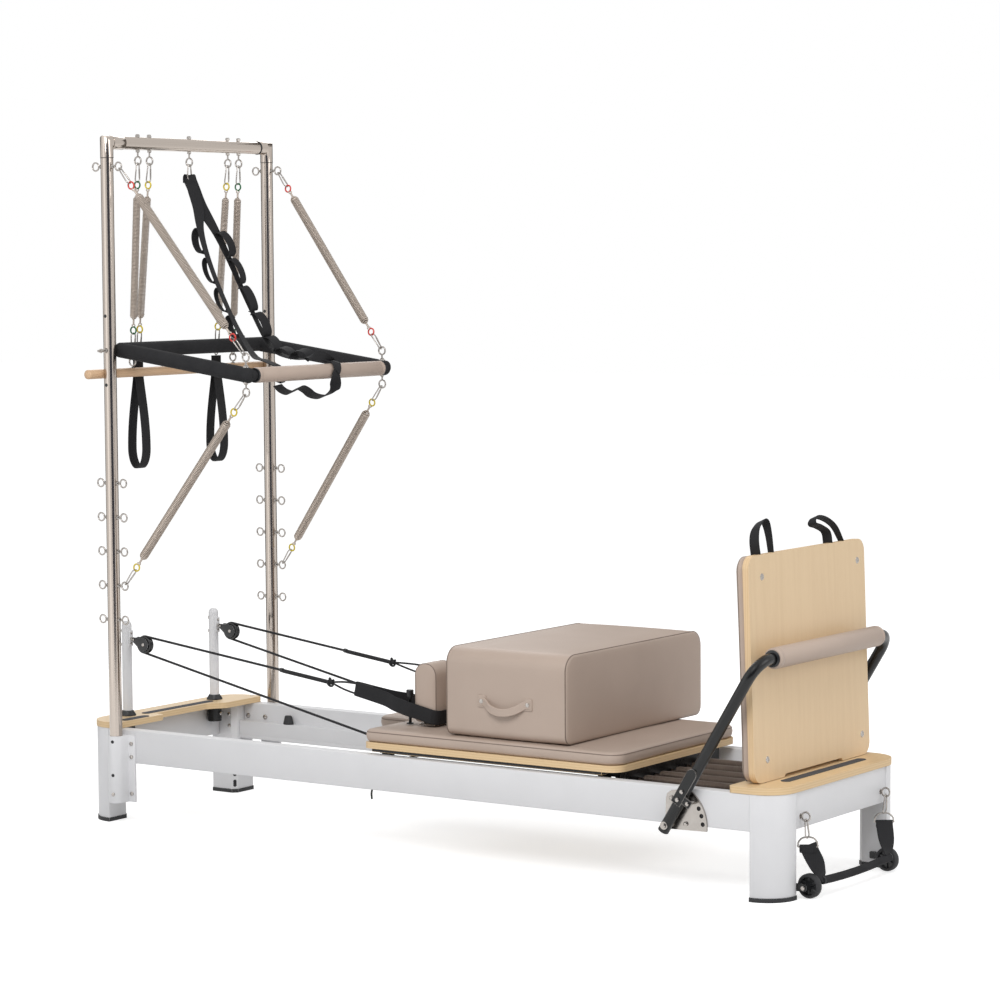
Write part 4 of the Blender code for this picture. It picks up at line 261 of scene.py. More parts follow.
# Polypropylene webbing: near black, with its weave as a fine raised check
webbing = woven("polypropylene_webbing_black", {"colour": "#232325", "shade": "#1F1F21", "roughness": 0.80,
                "threadMm": 2.2, "peelStrength": 0.25, "peelDepthMm": 0.3, "specular": 0.3})
# Braided polyester rope: the same black, with tighter strands
braid = woven("polyester_braid_black", {"colour": "#303032", "shade": "#1E1E20", "roughness": 0.78,
              "threadMm": 2.4, "peelStrength": 0.5, "peelDepthMm": 0.5, "specular": 0.3})
# Drawn spring steel wire: warm grey, each turn with its own thin highlight
springWire = brushed("spring_steel_wire", {"colour": "#B7ACA2", "shade": "#B0A59B", "roughness": 0.50,
                     "glossSpread": 0.04, "metallic": 1.0, "hairMm": (60, 60, 60)})
# The carriage springs' wire: the same wire painted darker, as painted shade for its place under the carriage
springWireShaded = brushed("spring_steel_wire_shaded", {"colour": "#7C7067", "shade": "#6A5F57", "roughness": 0.40,
                         "glossSpread": 0.06, "metallic": 1.0, "hairMm": (60, 60, 60)})
# Enamelled wire rings that mark each spring's strength
ringLook = {"roughness": 0.32, "glossSpread": 0.04, "driftMm": 8, "peelMm": 1, "peelStrength": 0.05,
            "peelDepthMm": 0.05}
redEnamel = coated("wire_enamel_red", {"colour": "#D8382C", "shade": "#C42C22", **ringLook})
greenEnamel = coated("wire_enamel_green", {"colour": "#12663A", "shade": "#0E5A2C", **ringLook})
yellowEnamel = coated("wire_enamel_yellow", {"colour": "#DCC624", "shade": "#CDB41A", **ringLook})
print("materials made:", len(bpy.data.materials))


# shapes: a piece is one mesh under way, to which shapes with their own finish are added

def newPiece():
    return {"mesh": bmesh.new(), "finishes": []}


def finishSlot(piece, finish):
    if finish not in piece["finishes"]:
        piece["finishes"].append(finish)
    return piece["finishes"].index(finish)


def addShape(piece, verts, faces, finish, bevel=0.0, steps=2, picks=None):
    # welds the shape, turns its faces outward and rounds its sharp edges by bevel
    work = bmesh.new()
    made = [work.verts.new(v) for v in verts]
    for i, face in enumerate(faces):
        corners = [made[k] for k in face]
        if len(set(corners)) < 3:
            continue
        new = work.faces.new(corners)
        new.material_index = finishSlot(piece, finish if picks is None else finish[picks[i]])
    bmesh.ops.remove_doubles(work, verts=work.verts, dist=1e-6)
    bmesh.ops.recalc_face_normals(work, faces=work.faces)
    if bevel > 0:
        sharp = [e for e in work.edges if len(e.link_faces) == 2 and e.calc_face_angle(0.0) > math.radians(35)]
        bmesh.ops.bevel(work, geom=sharp, offset=bevel, offset_type="OFFSET", segments=steps, profile=0.5,
                        affect="EDGES", clamp_overlap=True)
    mesh = bpy.data.meshes.new("shape")
    work.to_mesh(mesh)
    work.free()
    piece["mesh"].from_mesh(mesh)
    bpy.data.meshes.remove(mesh)


def sweepFrames(points, closed):
    # directions along a path, with normals carried along it so that the section never twists
    count = len(points)
    tangents = []
    for i in range(count):
        before = points[i - 1] if closed or i > 0 else points[i]
        after = points[(i + 1) % count] if closed or i < count - 1 else points[i]
        tangents.append((after - before).normalized())
    normals = [tangents[0].orthogonal().normalized()]
    for i in range(1, count):
        turn = tangents[i - 1].rotation_difference(tangents[i])
        normal = turn @ normals[-1]
        normals.append((normal - normal.dot(tangents[i]) * tangents[i]).normalized())
    if closed:
        back = tangents[-1].rotation_difference(tangents[0]) @ normals[-1]
        miss = math.atan2(back.cross(normals[0]).dot(tangents[0]), back.dot(normals[0]))
        both = enumerate(zip(normals, tangents))
        normals = [Matrix.Rotation(miss * i / count, 3, t) @ n for i, (n, t) in both]
    return tangents, normals


def ringPoints(centre, first, second, radius, segments):
    # a circle in the plane of two directions
    turns = [math.tau * k / segments for k in range(segments)]
    return [centre + radius * (math.cos(a) * first + math.sin(a) * second) for a in turns]


def ringFaces(rings, segments, closed=False, capped=False):
    # faces between rings of vertices that follow one another, and end faces where the form is capped
    faces = []
    for i in range(rings if closed else rings - 1):
        first, second = i * segments, ((i + 1) % rings) * segments
        for k in range(segments):
            m = (k + 1) % segments
            faces.append((first + k, first + m, second + m, second + k))
    if capped:
        faces += [tuple(reversed(range(segments))), tuple(range((rings - 1) * segments, rings * segments))]
    return faces


def addTube(piece, points, radius, finish, segments=14, closed=False, domed=False, bevel=0.0):
    # round wire, rod or hose through the points; radius is one number or one for each point
    points = [Vector(p) for p in points]
    radii = list(radius) if isinstance(radius, (list, tuple)) else [radius] * len(points)
    if domed:
        tips = []
        for end, beyond in ((0, 1), (-1, -2)):
            out = (points[end] - points[beyond]).normalized() * radii[end]
            tips.append([(points[end] + out * math.sin(a), radii[end] * math.cos(a)) for a in (0.5, 1.0, 1.35)])
        points = [p for p, _ in reversed(tips[0])] + points + [p for p, _ in tips[1]]
        radii = [r for _, r in reversed(tips[0])] + radii + [r for _, r in tips[1]]
    tangents, normals = sweepFrames(points, closed)
    verts = []
    for place, along, normal, size in zip(points, tangents, normals, radii):
        verts += ringPoints(place, normal, along.cross(normal), size, segments)
    addShape(piece, verts, ringFaces(len(points), segments, closed, not closed), finish, bevel)


def addRod(piece, start, end, radius, finish, segments=24, bevel=0.0):
    addTube(piece, (start, end), radius, finish, segments, bevel=bevel)


def addTurned(piece, profile, origin, axis, finish, segments=32, closed=False):
    # a profile of (radius, height) turned about an axis
    origin, axis = Vector(origin), Vector(axis).normalized()
    normal = axis.orthogonal().normalized()
    verts = []
    for radius, height in profile:
        verts += ringPoints(origin + axis * height, normal, axis.cross(normal), max(radius, 0.0), segments)
    addShape(piece, verts, ringFaces(len(profile), segments, closed), finish)


def addBox(piece, low, high, finish, bevel=0.0, steps=2):
    xs, ys, zs = zip(low, high)
    verts = [Vector((x, y, z)) for x in xs for y in ys for z in zs]
    faces = [(0, 1, 3, 2), (4, 6, 7, 5), (0, 4, 5, 1), (2, 3, 7, 6), (0, 2, 6, 4), (1, 5, 7, 3)]
    addShape(piece, verts, faces, finish, bevel, steps)


def addPlate(piece, loops, place, low, high, finish, bevel=0.0, steps=2, edge=None):
    # a flat outline with holes, solid from low to high along the third direction of place
    flat = [[Vector((x, y, 0.0)) for x, y in loop] for loop in loops]
    triangles = tessellate_polygon(flat)
    points = [p for loop in flat for p in loop]
    verts = [place @ Vector((p.x, p.y, level)) for level in (low, high) for p in points]
    count = len(points)
    faces = [tuple(t) for t in triangles] + [tuple(k + count for k in t) for t in triangles]
    chosen = [0] * len(faces)
    start = 0
    for loop in flat:
        size = len(loop)
        for k in range(size):
            m = (k + 1) % size
            faces.append((start + k, start + m, start + m + count, start + k + count))
            chosen.append(1)
        start += size
    finishes = [finish, edge or finish]
    addShape(piece, verts, faces, finishes, bevel, steps, chosen)


def axesPlace(origin, first, second, third):
    return Matrix.Translation(origin) @ Matrix((first, second, third)).transposed().to_4x4()


flatPlace = Matrix.Identity(4)
sidePlace = axesPlace(Vector(), lengthwise, up, sideways)  # outline in x and z, thickness along y
crossPlace = axesPlace(Vector(), sideways, up, lengthwise)  # outline in y and z, thickness along x


def addRibbon(piece, points, widths, width, thickness, finish, closed=False, roundness=0.0008):
    # woven tape along a path; widths holds the direction of its width, one for all or one for each point
    points = [Vector(p) for p in points]
    count = len(points)
    spread = [Vector(widths[min(i, len(widths) - 1)]) for i in range(count)]
    verts = []
    half, flat = width / 2, thickness / 2
    ease = min(flat * 0.8, roundness)
    section = ((-half, -flat + ease), (-half + ease, -flat), (half - ease, -flat), (half, -flat + ease),
               (half, flat - ease), (half - ease, flat), (-half + ease, flat), (-half, flat - ease))
    for i, place in enumerate(points):
        before = points[i - 1] if closed or i > 0 else points[i]
        after = points[(i + 1) % count] if closed or i < count - 1 else points[i]
        along = (after - before).normalized()
        across = (spread[i] - spread[i].dot(along) * along).normalized()
        normal = along.cross(across)
        verts += [place + across * u + normal * v for u, v in section]
    addShape(piece, verts, ringFaces(count, len(section), closed, not closed), finish)


def smoothPath(stops, perSpan=8, closed=False):
    # an even curve through every stop
    stops = [Vector(p) for p in stops]
    count = len(stops)
    path = []
    for i in range(count if closed else count - 1):
        p1, p2 = stops[i], stops[(i + 1) % count]
        p0 = stops[i - 1] if closed or i > 0 else p1 * 2 - p2
        p3 = stops[(i + 2) % count] if closed or i < count - 2 else p2 * 2 - p1
        for k in range(perSpan):
            t = k / perSpan
            path.append(0.5 * ((2 * p1) + (p2 - p0) * t + (2 * p0 - 5 * p1 + 4 * p2 - p3) * t * t
                               + (3 * p1 - p0 - 3 * p2 + p3) * t * t * t))
    if not closed:
        path.append(stops[-1])
    return path


def arc(centre, radius, start, end, steps):
    turns = [math.radians(start + (end - start) * k / steps) for k in range(steps + 1)]
    return [(centre[0] + radius * math.cos(a), centre[1] + radius * math.sin(a)) for a in turns]


def circleLoop(x, y, radius, steps=24):
    return arc((x, y), radius, 0, 360, steps)[:-1]


def roundedLoop(low, high, radii, steps=10):
    # corner radii run from (high, high), counter-clockwise
    (x0, y0), (x1, y1) = low, high
    points = []
    for i, (x, y, sx, sy) in enumerate(((x1, y1, -1, -1), (x0, y1, 1, -1), (x0, y0, 1, 1), (x1, y0, -1, 1))):
        points += arc((x + sx * radii[i], y + sy * radii[i]), radii[i], 90 * i, 90 * i + 90, steps)
    return points


def quarter(steps):
    # the turns of a quarter circle
    return [math.pi / 2 * k / steps for k in range(steps + 1)]


def addCushion(piece, form, place, finish):
    # stuffed form: outline with round corners, sides that belly out a little and pull in between the
    # corners, rolled edges, a crown on top and, where asked, one below
    width, depth, height = form["size"]
    edge, belly = form["edge"], form.get("belly", 0.0)
    cornerSteps, sideSteps = 8, 12
    outline = []
    for i, (sx, sy) in enumerate(((1, 1), (-1, 1), (-1, -1), (1, -1))):
        radius, nextRadius = form["corners"][i], form["corners"][(i + 1) % 4]
        centre = (sx * (width / 2 - radius), sy * (depth / 2 - radius))
        outline += arc(centre, radius, 90 * i, 90 * i + 90, cornerSteps)
        start = outline[-1]
        nextX = (-1, -1, 1, 1)[i] * (width / 2 - nextRadius)
        nextY = (1, -1, -1, 1)[i] * (depth / 2 - nextRadius)
        end = (nextX, start[1]) if i % 2 == 0 else (start[0], nextY)
        for k in range(1, sideSteps):
            t = k / sideSteps
            pull = form.get("drawIn", 0.0) * math.sin(math.pi * t)
            x, y = start[0] + (end[0] - start[0]) * t, start[1] + (end[1] - start[1]) * t
            outline.append((x - math.copysign(pull, x) * (i % 2), y - math.copysign(pull, y) * (1 - i % 2)))
    roll = (0.0, 0.5, 1.0, math.pi / 2)
    levels = [(edge * (1 - math.sin(a)), edge * (1 - math.cos(a))) for a in roll]
    levels += [(-belly * math.sin(math.pi * t), edge + (height - 2 * edge) * t) for t in (0.25, 0.5, 0.75)]
    levels += [(edge * (1 - math.cos(a)), height - edge * (1 - math.sin(a))) for a in roll]
    verts = []

    def ring(shareX, shareY, level, rise=0.0):
        for x, y in outline:
            u, v = x * shareX, y * shareY
            ripple = form.get("ripple", 0.0) * noise(Vector((u * 9, v * 9, level * 5)))
            swell = rise * (1 - (2 * u / width) ** 2) * (1 - (2 * v / depth) ** 2)
            verts.append(place @ Vector((u, v, level + swell + ripple)))

    shares = (0.02, 0.25, 0.5, 0.7, 0.85, 0.94)
    for share in shares:
        ring(share, share, 0.0, -form.get("under", 0.0))
    for inset, level in levels:
        ring((width - 2 * inset) / width, (depth - 2 * inset) / depth, level)
    for share in reversed(shares):
        ring(share * (width - 2 * edge) / width, share * (depth - 2 * edge) / depth, height, form["crown"])
    addShape(piece, verts, ringFaces(len(verts) // len(outline), len(outline), capped=True), finish)
    return outline


def addObject(name, data):
    made = bpy.data.objects.new(name, data)
    bpy.context.scene.collection.objects.link(made)
    return made


def objectFrom(name, piece, smoothAngle):
    mesh = bpy.data.meshes.new(name)
    piece["mesh"].to_mesh(mesh)
    piece["mesh"].free()
    for finish in piece["finishes"]:
        mesh.materials.append(finish)
    mesh.transform(Matrix.Translation(layoutShift))
    mesh.shade_smooth()
    mesh.set_sharp_from_angle(angle=math.radians(smoothAngle))
    return addObject(name, mesh)


def finishPiece(name, piece, body, nodes, smoothAngle=40.0):
    made = objectFrom(name, piece, smoothAngle)
    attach(made, body)
    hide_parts(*nodes)
    return made


def finishBlend(name, piece, nodes, smoothAngle=40.0):
    made = objectFrom(name, piece, smoothAngle)
    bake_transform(made)
    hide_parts(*nodes)
    return made


# Geometry Nodes: bolt heads on points, coils along an axis, stitches along a line

def newTree(name, inputs):
    tree = bpy.data.node_groups.new(name, "GeometryNodeTree")
    tree.interface.new_socket(name="Geometry", in_out="INPUT", socket_type="NodeSocketGeometry")
    for label, kind, value in inputs:
        socket = tree.interface.new_socket(name=label, in_out="INPUT", socket_type=kind)
        if value is not None:
            socket.default_value = value
    tree.interface.new_socket(name="Geometry", in_out="OUTPUT", socket_type="NodeSocketGeometry")
    return tree, addNode(tree, "NodeGroupInput"), addNode(tree, "NodeGroupOutput")


def closeTree(tree, shape, given, result):
    real = addNode(tree, "GeometryNodeRealizeInstances", {}, {"Geometry": shape})
    painted = addNode(tree, "GeometryNodeSetMaterial", {},
                      {"Geometry": real.outputs["Geometry"], "Material": given.outputs["Material"]})
    tree.links.new(painted.outputs["Geometry"], result.inputs["Geometry"])
    return tree


def boltTree():
    tree, given, result = newTree("bolt_heads", [
        ("Head Radius", "NodeSocketFloat", 0.006), ("Head Height", "NodeSocketFloat", 0.004),
        ("Sides", "NodeSocketInt", 6), ("Material", "NodeSocketMaterial", None)])
    height, radius = given.outputs["Head Height"], given.outputs["Head Radius"]
    half = addNode(tree, "ShaderNodeMath", {"operation": "MULTIPLY", 1: 0.5}, {0: height}).outputs[0]
    narrow = addNode(tree, "ShaderNodeMath", {"operation": "MULTIPLY", 1: 0.62}, {0: radius}).outputs[0]
    head = addNode(tree, "GeometryNodeMeshCylinder", {},
                   {"Vertices": given.outputs["Sides"], "Radius": radius, "Depth": height})
    crown = addNode(tree, "GeometryNodeMeshCone", {"Vertices": 16},
                    {"Radius Bottom": radius, "Radius Top": narrow, "Depth": half})
    both = addNode(tree, "GeometryNodeJoinGeometry")
    for shape, rise in ((head, half), (crown, height)):
        lift = addNode(tree, "ShaderNodeCombineXYZ", {}, {"Z": rise})
        raised = addNode(tree, "GeometryNodeTransform", {},
                         {"Geometry": shape.outputs["Mesh"], "Translation": lift.outputs[0]})
        tree.links.new(raised.outputs["Geometry"], both.inputs["Geometry"])
    facing = addNode(tree, "GeometryNodeInputNamedAttribute", {"data_type": "FLOAT_VECTOR", "Name": "facing"})
    turn = addNode(tree, "FunctionNodeAlignRotationToVector", {"axis": "Z"},
                   {"Vector": facing.outputs["Attribute"]})
    placed = addNode(tree, "GeometryNodeInstanceOnPoints", {},
                     {"Points": given.outputs["Geometry"], "Instance": both.outputs["Geometry"],
                      "Rotation": turn.outputs["Rotation"]})
    return closeTree(tree, placed.outputs["Instances"], given, result)


def coilTree():
    tree, given, result = newTree("wire_coil", [
        ("Turns", "NodeSocketFloat", 20.0), ("Coil Radius", "NodeSocketFloat", 0.01),
        ("Wire Radius", "NodeSocketFloat", 0.0018), ("Length", "NodeSocketFloat", 0.2),
        ("Points per Turn", "NodeSocketInt", 14), ("Material", "NodeSocketMaterial", None)])
    wire = addNode(tree, "GeometryNodeCurvePrimitiveCircle", {"Resolution": 6},
                   {"Radius": given.outputs["Wire Radius"]})
    path = addNode(tree, "GeometryNodeCurveSpiral", {}, {
        "Resolution": given.outputs["Points per Turn"], "Rotations": given.outputs["Turns"],
        "Start Radius": given.outputs["Coil Radius"], "End Radius": given.outputs["Coil Radius"],
        "Height": given.outputs["Length"]})
    swept = addNode(tree, "GeometryNodeCurveToMesh", {"Fill Caps": True},
                    {"Curve": path.outputs["Curve"], "Profile Curve": wire.outputs["Curve"]})
    return closeTree(tree, swept.outputs["Mesh"], given, result)


def stitchTree():
    tree, given, result = newTree("stitch_row", [
        ("Spacing", "NodeSocketFloat", 0.006), ("Thread Radius", "NodeSocketFloat", 0.0005),
        ("Stitch Length", "NodeSocketFloat", 0.004), ("Material", "NodeSocketMaterial", None)])
    line = addNode(tree, "GeometryNodeMeshToCurve", {}, {"Mesh": given.outputs["Geometry"]})
    even = addNode(tree, "GeometryNodeResampleCurve", {"mode": "LENGTH"},
                   {"Curve": line.outputs["Curve"], "Length": given.outputs["Spacing"]})
    bead = addNode(tree, "GeometryNodeMeshUVSphere", {"Segments": 6, "Rings": 4, "Radius": 1.0})
    longer = addNode(tree, "ShaderNodeMath", {"operation": "MULTIPLY", 1: 0.5},
                     {0: given.outputs["Stitch Length"]})
    thin = given.outputs["Thread Radius"]
    size = addNode(tree, "ShaderNodeCombineXYZ", {}, {"X": thin, "Y": thin, "Z": longer.outputs[0]})
    along = addNode(tree, "GeometryNodeInputTangent")
    turn = addNode(tree, "FunctionNodeAlignRotationToVector", {"axis": "Z"},
                   {"Vector": along.outputs["Tangent"]})
    placed = addNode(tree, "GeometryNodeInstanceOnPoints", {},
                     {"Points": even.outputs["Curve"], "Instance": bead.outputs["Mesh"],
                      "Rotation": turn.outputs["Rotation"], "Scale": size.outputs[0]})
    return closeTree(tree, placed.outputs["Instances"], given, result)


trees = {"bolts": boltTree(), "coil": coilTree(), "stitches": stitchTree()}


def plainMesh(name, points, links=(), faces=()):
    mesh = bpy.data.meshes.new(name)
    mesh.from_pydata([tuple(p) for p in points], list(links), list(faces))
    return mesh


def growInto(piece, tree, seed, values, finish, place=None):
    # runs a tree on a seed mesh and adds its plain result to the piece
    holder = addObject("grown", seed)
    grow = holder.modifiers.new("grow", "NODES")
    grow.node_group = tree
    given = {**values, "Material": finish}
    for item in tree.interface.items_tree:
        if item.item_type == "SOCKET" and item.in_out == "INPUT" and item.name in given:
            grow[item.identifier] = given[item.name]
    bpy.context.view_layer.update()
    graph = bpy.context.evaluated_depsgraph_get()
    mesh = bpy.data.meshes.new_from_object(holder.evaluated_get(graph))
    bpy.data.objects.remove(holder, do_unlink=True)
    if place is not None:
        mesh.transform(place)
    for polygon in mesh.polygons:
        polygon.material_index = finishSlot(piece, finish)
    piece["mesh"].from_mesh(mesh)
    bpy.data.meshes.remove(mesh)
    bpy.data.meshes.remove(seed)


def addBolts(piece, spots, radius, height, finish, sidesCount=6):
    # spots are (place, direction out of the surface)
    seed = plainMesh("spots", [place for place, _ in spots])
    facing = seed.attributes.new("facing", "FLOAT_VECTOR", "POINT")
    for i, (_, out) in enumerate(spots):
        facing.data[i].vector = Vector(out)
    values = {"Head Radius": radius, "Head Height": height, "Sides": sidesCount}
    growInto(piece, trees["bolts"], seed, values, finish)


def addCoil(piece, start, end, radius, wire, finish):
    start, end = Vector(start), Vector(end)
    length = (end - start).length
    turn = up.rotation_difference(end - start).to_matrix().to_4x4()
    pitch = wire * 2.12
    values = {"Turns": length / pitch, "Coil Radius": radius, "Wire Radius": wire, "Length": length,
              "Points per Turn": 14}
    seed = plainMesh("seed", [(0, 0, 0)])
    growInto(piece, trees["coil"], seed, values, finish, Matrix.Translation(start) @ turn)


def addStitches(piece, path, finish, spacing=0.0075, length=0.0052, thread=0.0006, closed=False):
    links = [(i, i + 1) for i in range(len(path) - 1)] + ([(len(path) - 1, 0)] if closed else [])
    values = {"Spacing": spacing, "Thread Radius": thread, "Stitch Length": length}
    growInto(piece, trees["stitches"], plainMesh("line", path, links), values, finish)


# frame: rails, beams, legs, wooden platforms

frameSize = {"halfLength": 1.200, "halfWidth": 0.345, "top": 0.285, "railHeight": 0.099, "railWall": 0.040,
             "trackWidth": 0.026, "trackHeight": 0.044, "leg": 0.090, "legRound": 0.086, "legChamfer": 0.014,
             "beam": 0.025, "beamRecess": 0.003, "gap": 0.0003, "wood": 0.018, "overhang": 0.0015}
railBottom = frameSize["top"] - frameSize["railHeight"]
trackTop = railBottom + frameSize["trackHeight"]
trackInner = frameSize["halfWidth"] - frameSize["railWall"] - frameSize["trackWidth"]
platformTop = frameSize["top"] + frameSize["gap"] + frameSize["wood"]

railFittings = {"stopX": -0.922, "stopSize": (0.0180, 0.0128), "stopHeight": 0.027, "lip": 0.0115,
                "lipFrom": 0.0005, "lipTo": 0.011, "boltRadius": 0.0075, "boltHeight": 0.004,
                "bolts": ((-1.093, 0.244), (-1.024, 0.244), (-1.1285, 0.197), (-1.058, 0.197)),
                "hookX": -0.155, "hookY": 0.300, "hookDrop": 0.034, "hookWire": 0.0030}


def buildRails():
    fit, outer, top = railFittings, frameSize["halfWidth"], frameSize["top"]
    wall = outer - frameSize["railWall"]
    reach = frameSize["halfLength"] - frameSize["leg"] - frameSize["gap"]
    for side in sides:
        piece = newPiece()
        section = ((outer, railBottom), (trackInner, railBottom), (trackInner, trackTop), (wall, trackTop),
                   (wall, top), (outer, top))
        loop = [(side * y, z) for y, z in section]
        addPlate(piece, [loop], crossPlace, -reach, reach, powderCoat, 0.0022, 3)
        lip = sorted(side * (trackInner + inward) for inward in (fit["lipFrom"], fit["lipTo"]))
        lipLow, lipHigh = (-reach, lip[0], railBottom - fit["lip"]), (reach, lip[1], railBottom + 0.001)
        addBox(piece, lipLow, lipHigh, powderCoat, 0.0010)
        # oval rubber stop at the head end of the track, narrower toward its top
        foot = Vector((fit["stopX"], side * (trackInner + frameSize["trackWidth"] / 2), trackTop))
        long, wide = fit["stopSize"]
        height, segments, verts = fit["stopHeight"], 28, []
        for share, z in ((1.0, 0.0), (1.0, 0.004), (0.94, 0.007), (0.72, height - 0.003), (0.62, height)):
            verts += ringPoints(foot + up * z, lengthwise * long, sideways * wide, share, segments)
        addShape(piece, verts, ringFaces(len(verts) // segments, segments, capped=True), blackRubber)
        spots = [((x, side * wall, z), (0, -side, 0)) for x, z in fit["bolts"]]
        addBolts(piece, spots, fit["boltRadius"], fit["boltHeight"], brightZinc, 16)
        if side < 0:
            stops = ((0.008, 0.001), (0.001, -0.008), (-0.002, -0.020), (-0.001, -fit["hookDrop"]))
            hook = smoothPath([(fit["hookX"] + u, side * fit["hookY"], railBottom + v) for u, v in stops], 6)
            addTube(piece, hook, fit["hookWire"], blackSteel, 10, domed=True)
        name = sideNames[side]
        finishPiece(name + "SideRail", piece, "base_frame", (name + "_rail",))


eyeSize = {"radius": 0.012, "wire": 0.0025, "nutRadius": 0.0066, "nutHeight": 0.005}


def addEye(piece, base, outward, plane, shank, nut=True):
    # bent wire eye on a shank; plane is the normal of the loop
    base, outward, plane = Vector(base), Vector(outward).normalized(), Vector(plane)
    radius, wire = eyeSize["radius"], eyeSize["wire"]
    centre = base + outward * (shank + radius)
    addRod(piece, base - outward * 0.001, centre - outward * (radius - 0.001), wire, brightZinc, 12)
    loop = ringPoints(centre, outward, plane.cross(outward), radius, 24)
    addTube(piece, loop, wire, brightZinc, 10, closed=True)
    if nut:
        spots = [(base - outward * 0.0004, outward)]
        addBolts(piece, spots, eyeSize["nutRadius"], eyeSize["nutHeight"], brightZinc)
    return centre


beamFittings = {"eyeY": 0.226, "eyeZ": 0.218, "eyeShank": 0.004, "boltY": 0.236, "boltZ": 0.235}


def buildBeams():
    fit = beamFittings
    reach = frameSize["halfWidth"] - frameSize["leg"] - frameSize["gap"]
    for name, side in (("head", -1), ("foot", 1)):
        piece = newPiece()
        outer = side * (frameSize["halfLength"] - frameSize["beamRecess"])
        inner = outer - side * frameSize["beam"]
        near, far = sorted((outer, inner))
        addBox(piece, (near, -reach, railBottom), (far, reach, frameSize["top"]), powderCoat, 0.0015)
        if side > 0:
            washer = [(0, 0.0016), (0.007, 0.0016), (0.008, 0.0004), (0.008, -0.0005), (0, -0.0005)]
            for way in sides:
                spot = (outer, way * fit["eyeY"], fit["eyeZ"])
                addEye(piece, spot, lengthwise, sideways, fit["eyeShank"], nut=False)
                addTurned(piece, washer, spot, lengthwise, brightZinc, 20)
        spots = [((inner, way * fit["boltY"], fit["boltZ"]), (-side, 0, 0)) for way in sides]
        addBolts(piece, spots, 0.0058, 0.004, brightZinc)
        finishPiece(name + "CrossBeam", piece, "base_frame", (name + "_beam",))


def legLoop(end, side, grow=0.0):
    size = frameSize["leg"] + grow
    outerX, outerY = end * (frameSize["halfLength"] + grow), side * (frameSize["halfWidth"] + grow)
    innerX, innerY = outerX - end * (size + grow), outerY - side * (size + grow)
    radius, chamfer = frameSize["legRound"], frameSize["legChamfer"]
    middle = (outerX - end * radius, outerY - side * radius)
    points = [(middle[0] + end * u, middle[1] + side * v) for u, v in arc((0, 0), radius, 0, 90, 18)]
    points += [(innerX, outerY), (innerX, innerY + side * chamfer), (innerX + end * chamfer, innerY),
               (outerX, innerY)]
    return points


legFittings = {"pad": 0.012, "lip": 0.0015, "wheelX": 1.221, "wheelHeight": 0.034, "wheelRadius": 0.033,
               "wheelWidth": 0.024, "wheelOffset": 0.220, "axle": 0.004, "armStart": 1.150, "armRound": 0.010,
               "armThickness": 0.006, "boltX": -1.130, "bolts": (0.215, 0.252), "plugRadius": 0.0055,
               "plugs": (0.024, 0.030, 0.036, 0.058, 0.064, 0.070)}


def addWheelArm(piece, side):
    # a flat arm on the foot leg's inner face, with the transport wheel's stub axle
    fit = legFittings
    half, x, z, arm = fit["wheelWidth"] / 2, fit["wheelX"], fit["wheelHeight"], fit["armRound"]
    face = side * (frameSize["halfWidth"] - frameSize["leg"] + 0.001)
    outer = face - side * fit["armThickness"]
    near, far = side * (fit["wheelOffset"] + half + 0.001), side * (fit["wheelOffset"] - half - 0.001)
    rounds = (arm - 0.001, 0.004, 0.004, arm - 0.001)
    shape = roundedLoop((fit["armStart"], z - arm), (x + arm, z + arm), rounds)
    addPlate(piece, [shape], sidePlace, min(face, outer), max(face, outer), blackSteel, 0.0015)
    addRod(piece, (x, outer + side * 0.001, z), (x, near, z), 0.0065, blackNylon, 20)
    addBolts(piece, [((x, face - side * 0.001, z), (0, side, 0))], 0.0062, 0.0050, brightZinc)
    addRod(piece, (x, near, z), (x, far - side * 0.003, z), fit["axle"], brightZinc, 16)
    addBolts(piece, [((x, far, z), (0, -side, 0))], 0.007, 0.004, brightZinc)


def buildLegs():
    fit = legFittings
    inward = frameSize["halfWidth"] - frameSize["leg"]
    for endName, end in (("head", -1), ("foot", 1)):
        for side in sides:
            piece = newPiece()
            addPlate(piece, [legLoop(end, side)], flatPlace, fit["pad"] - 0.001, frameSize["top"], powderCoat,
                     0.0012, 2)
            addPlate(piece, [legLoop(end, side, fit["lip"])], flatPlace, 0.0, fit["pad"], blackRubber, 0.002, 2)
            if end > 0:
                addWheelArm(piece, side)
            else:
                spots = [((fit["boltX"], side * inward, z), (0, -side, 0)) for z in fit["bolts"]]
                addBolts(piece, spots, 0.0058, 0.004, brightZinc, 16)
                # dark plugs in the holes of the chamfered corner
                out = Vector((1, -side, 0)).normalized()
                corner = Vector((frameSize["leg"] - frameSize["halfLength"], side * inward, 0))
                edge = corner - out * frameSize["legChamfer"] * 0.7071
                for z in fit["plugs"]:
                    low, high = edge - out * 0.002 + up * z, edge + out * 0.0004 + up * z
                    addRod(piece, low, high, fit["plugRadius"], blackRubber, 16)
            name = sideNames[side] + endName.capitalize() + "Leg"
            finishPiece(name, piece, "base_frame", (f"{sideNames[side]}_{endName}_leg",))


platformSize = {"headDepth": 0.130, "footDepth": 0.155, "corner": 0.012, "notchDepth": 0.038,
                "notchNear": -0.130, "notchFar": 0.115, "notchEase": 0.030, "stripHeight": 0.0015,
                "riserX": -1.1503, "riserY": 0.207, "riserHole": 0.016, "pegX": 1.1007, "pegY": 0.250,
                "pegHole": 0.007, "boltX": -1.095, "boltY": 0.325,
                "headStrips": (((-1.105, -0.300), (-1.077, -0.185)), ((-1.146, -0.156), (-1.118, 0.170))),
                "footStrips": (((1.126, -0.216), (1.154, 0.232)), ((1.0485, -0.262), (1.0625, 0.262)))}


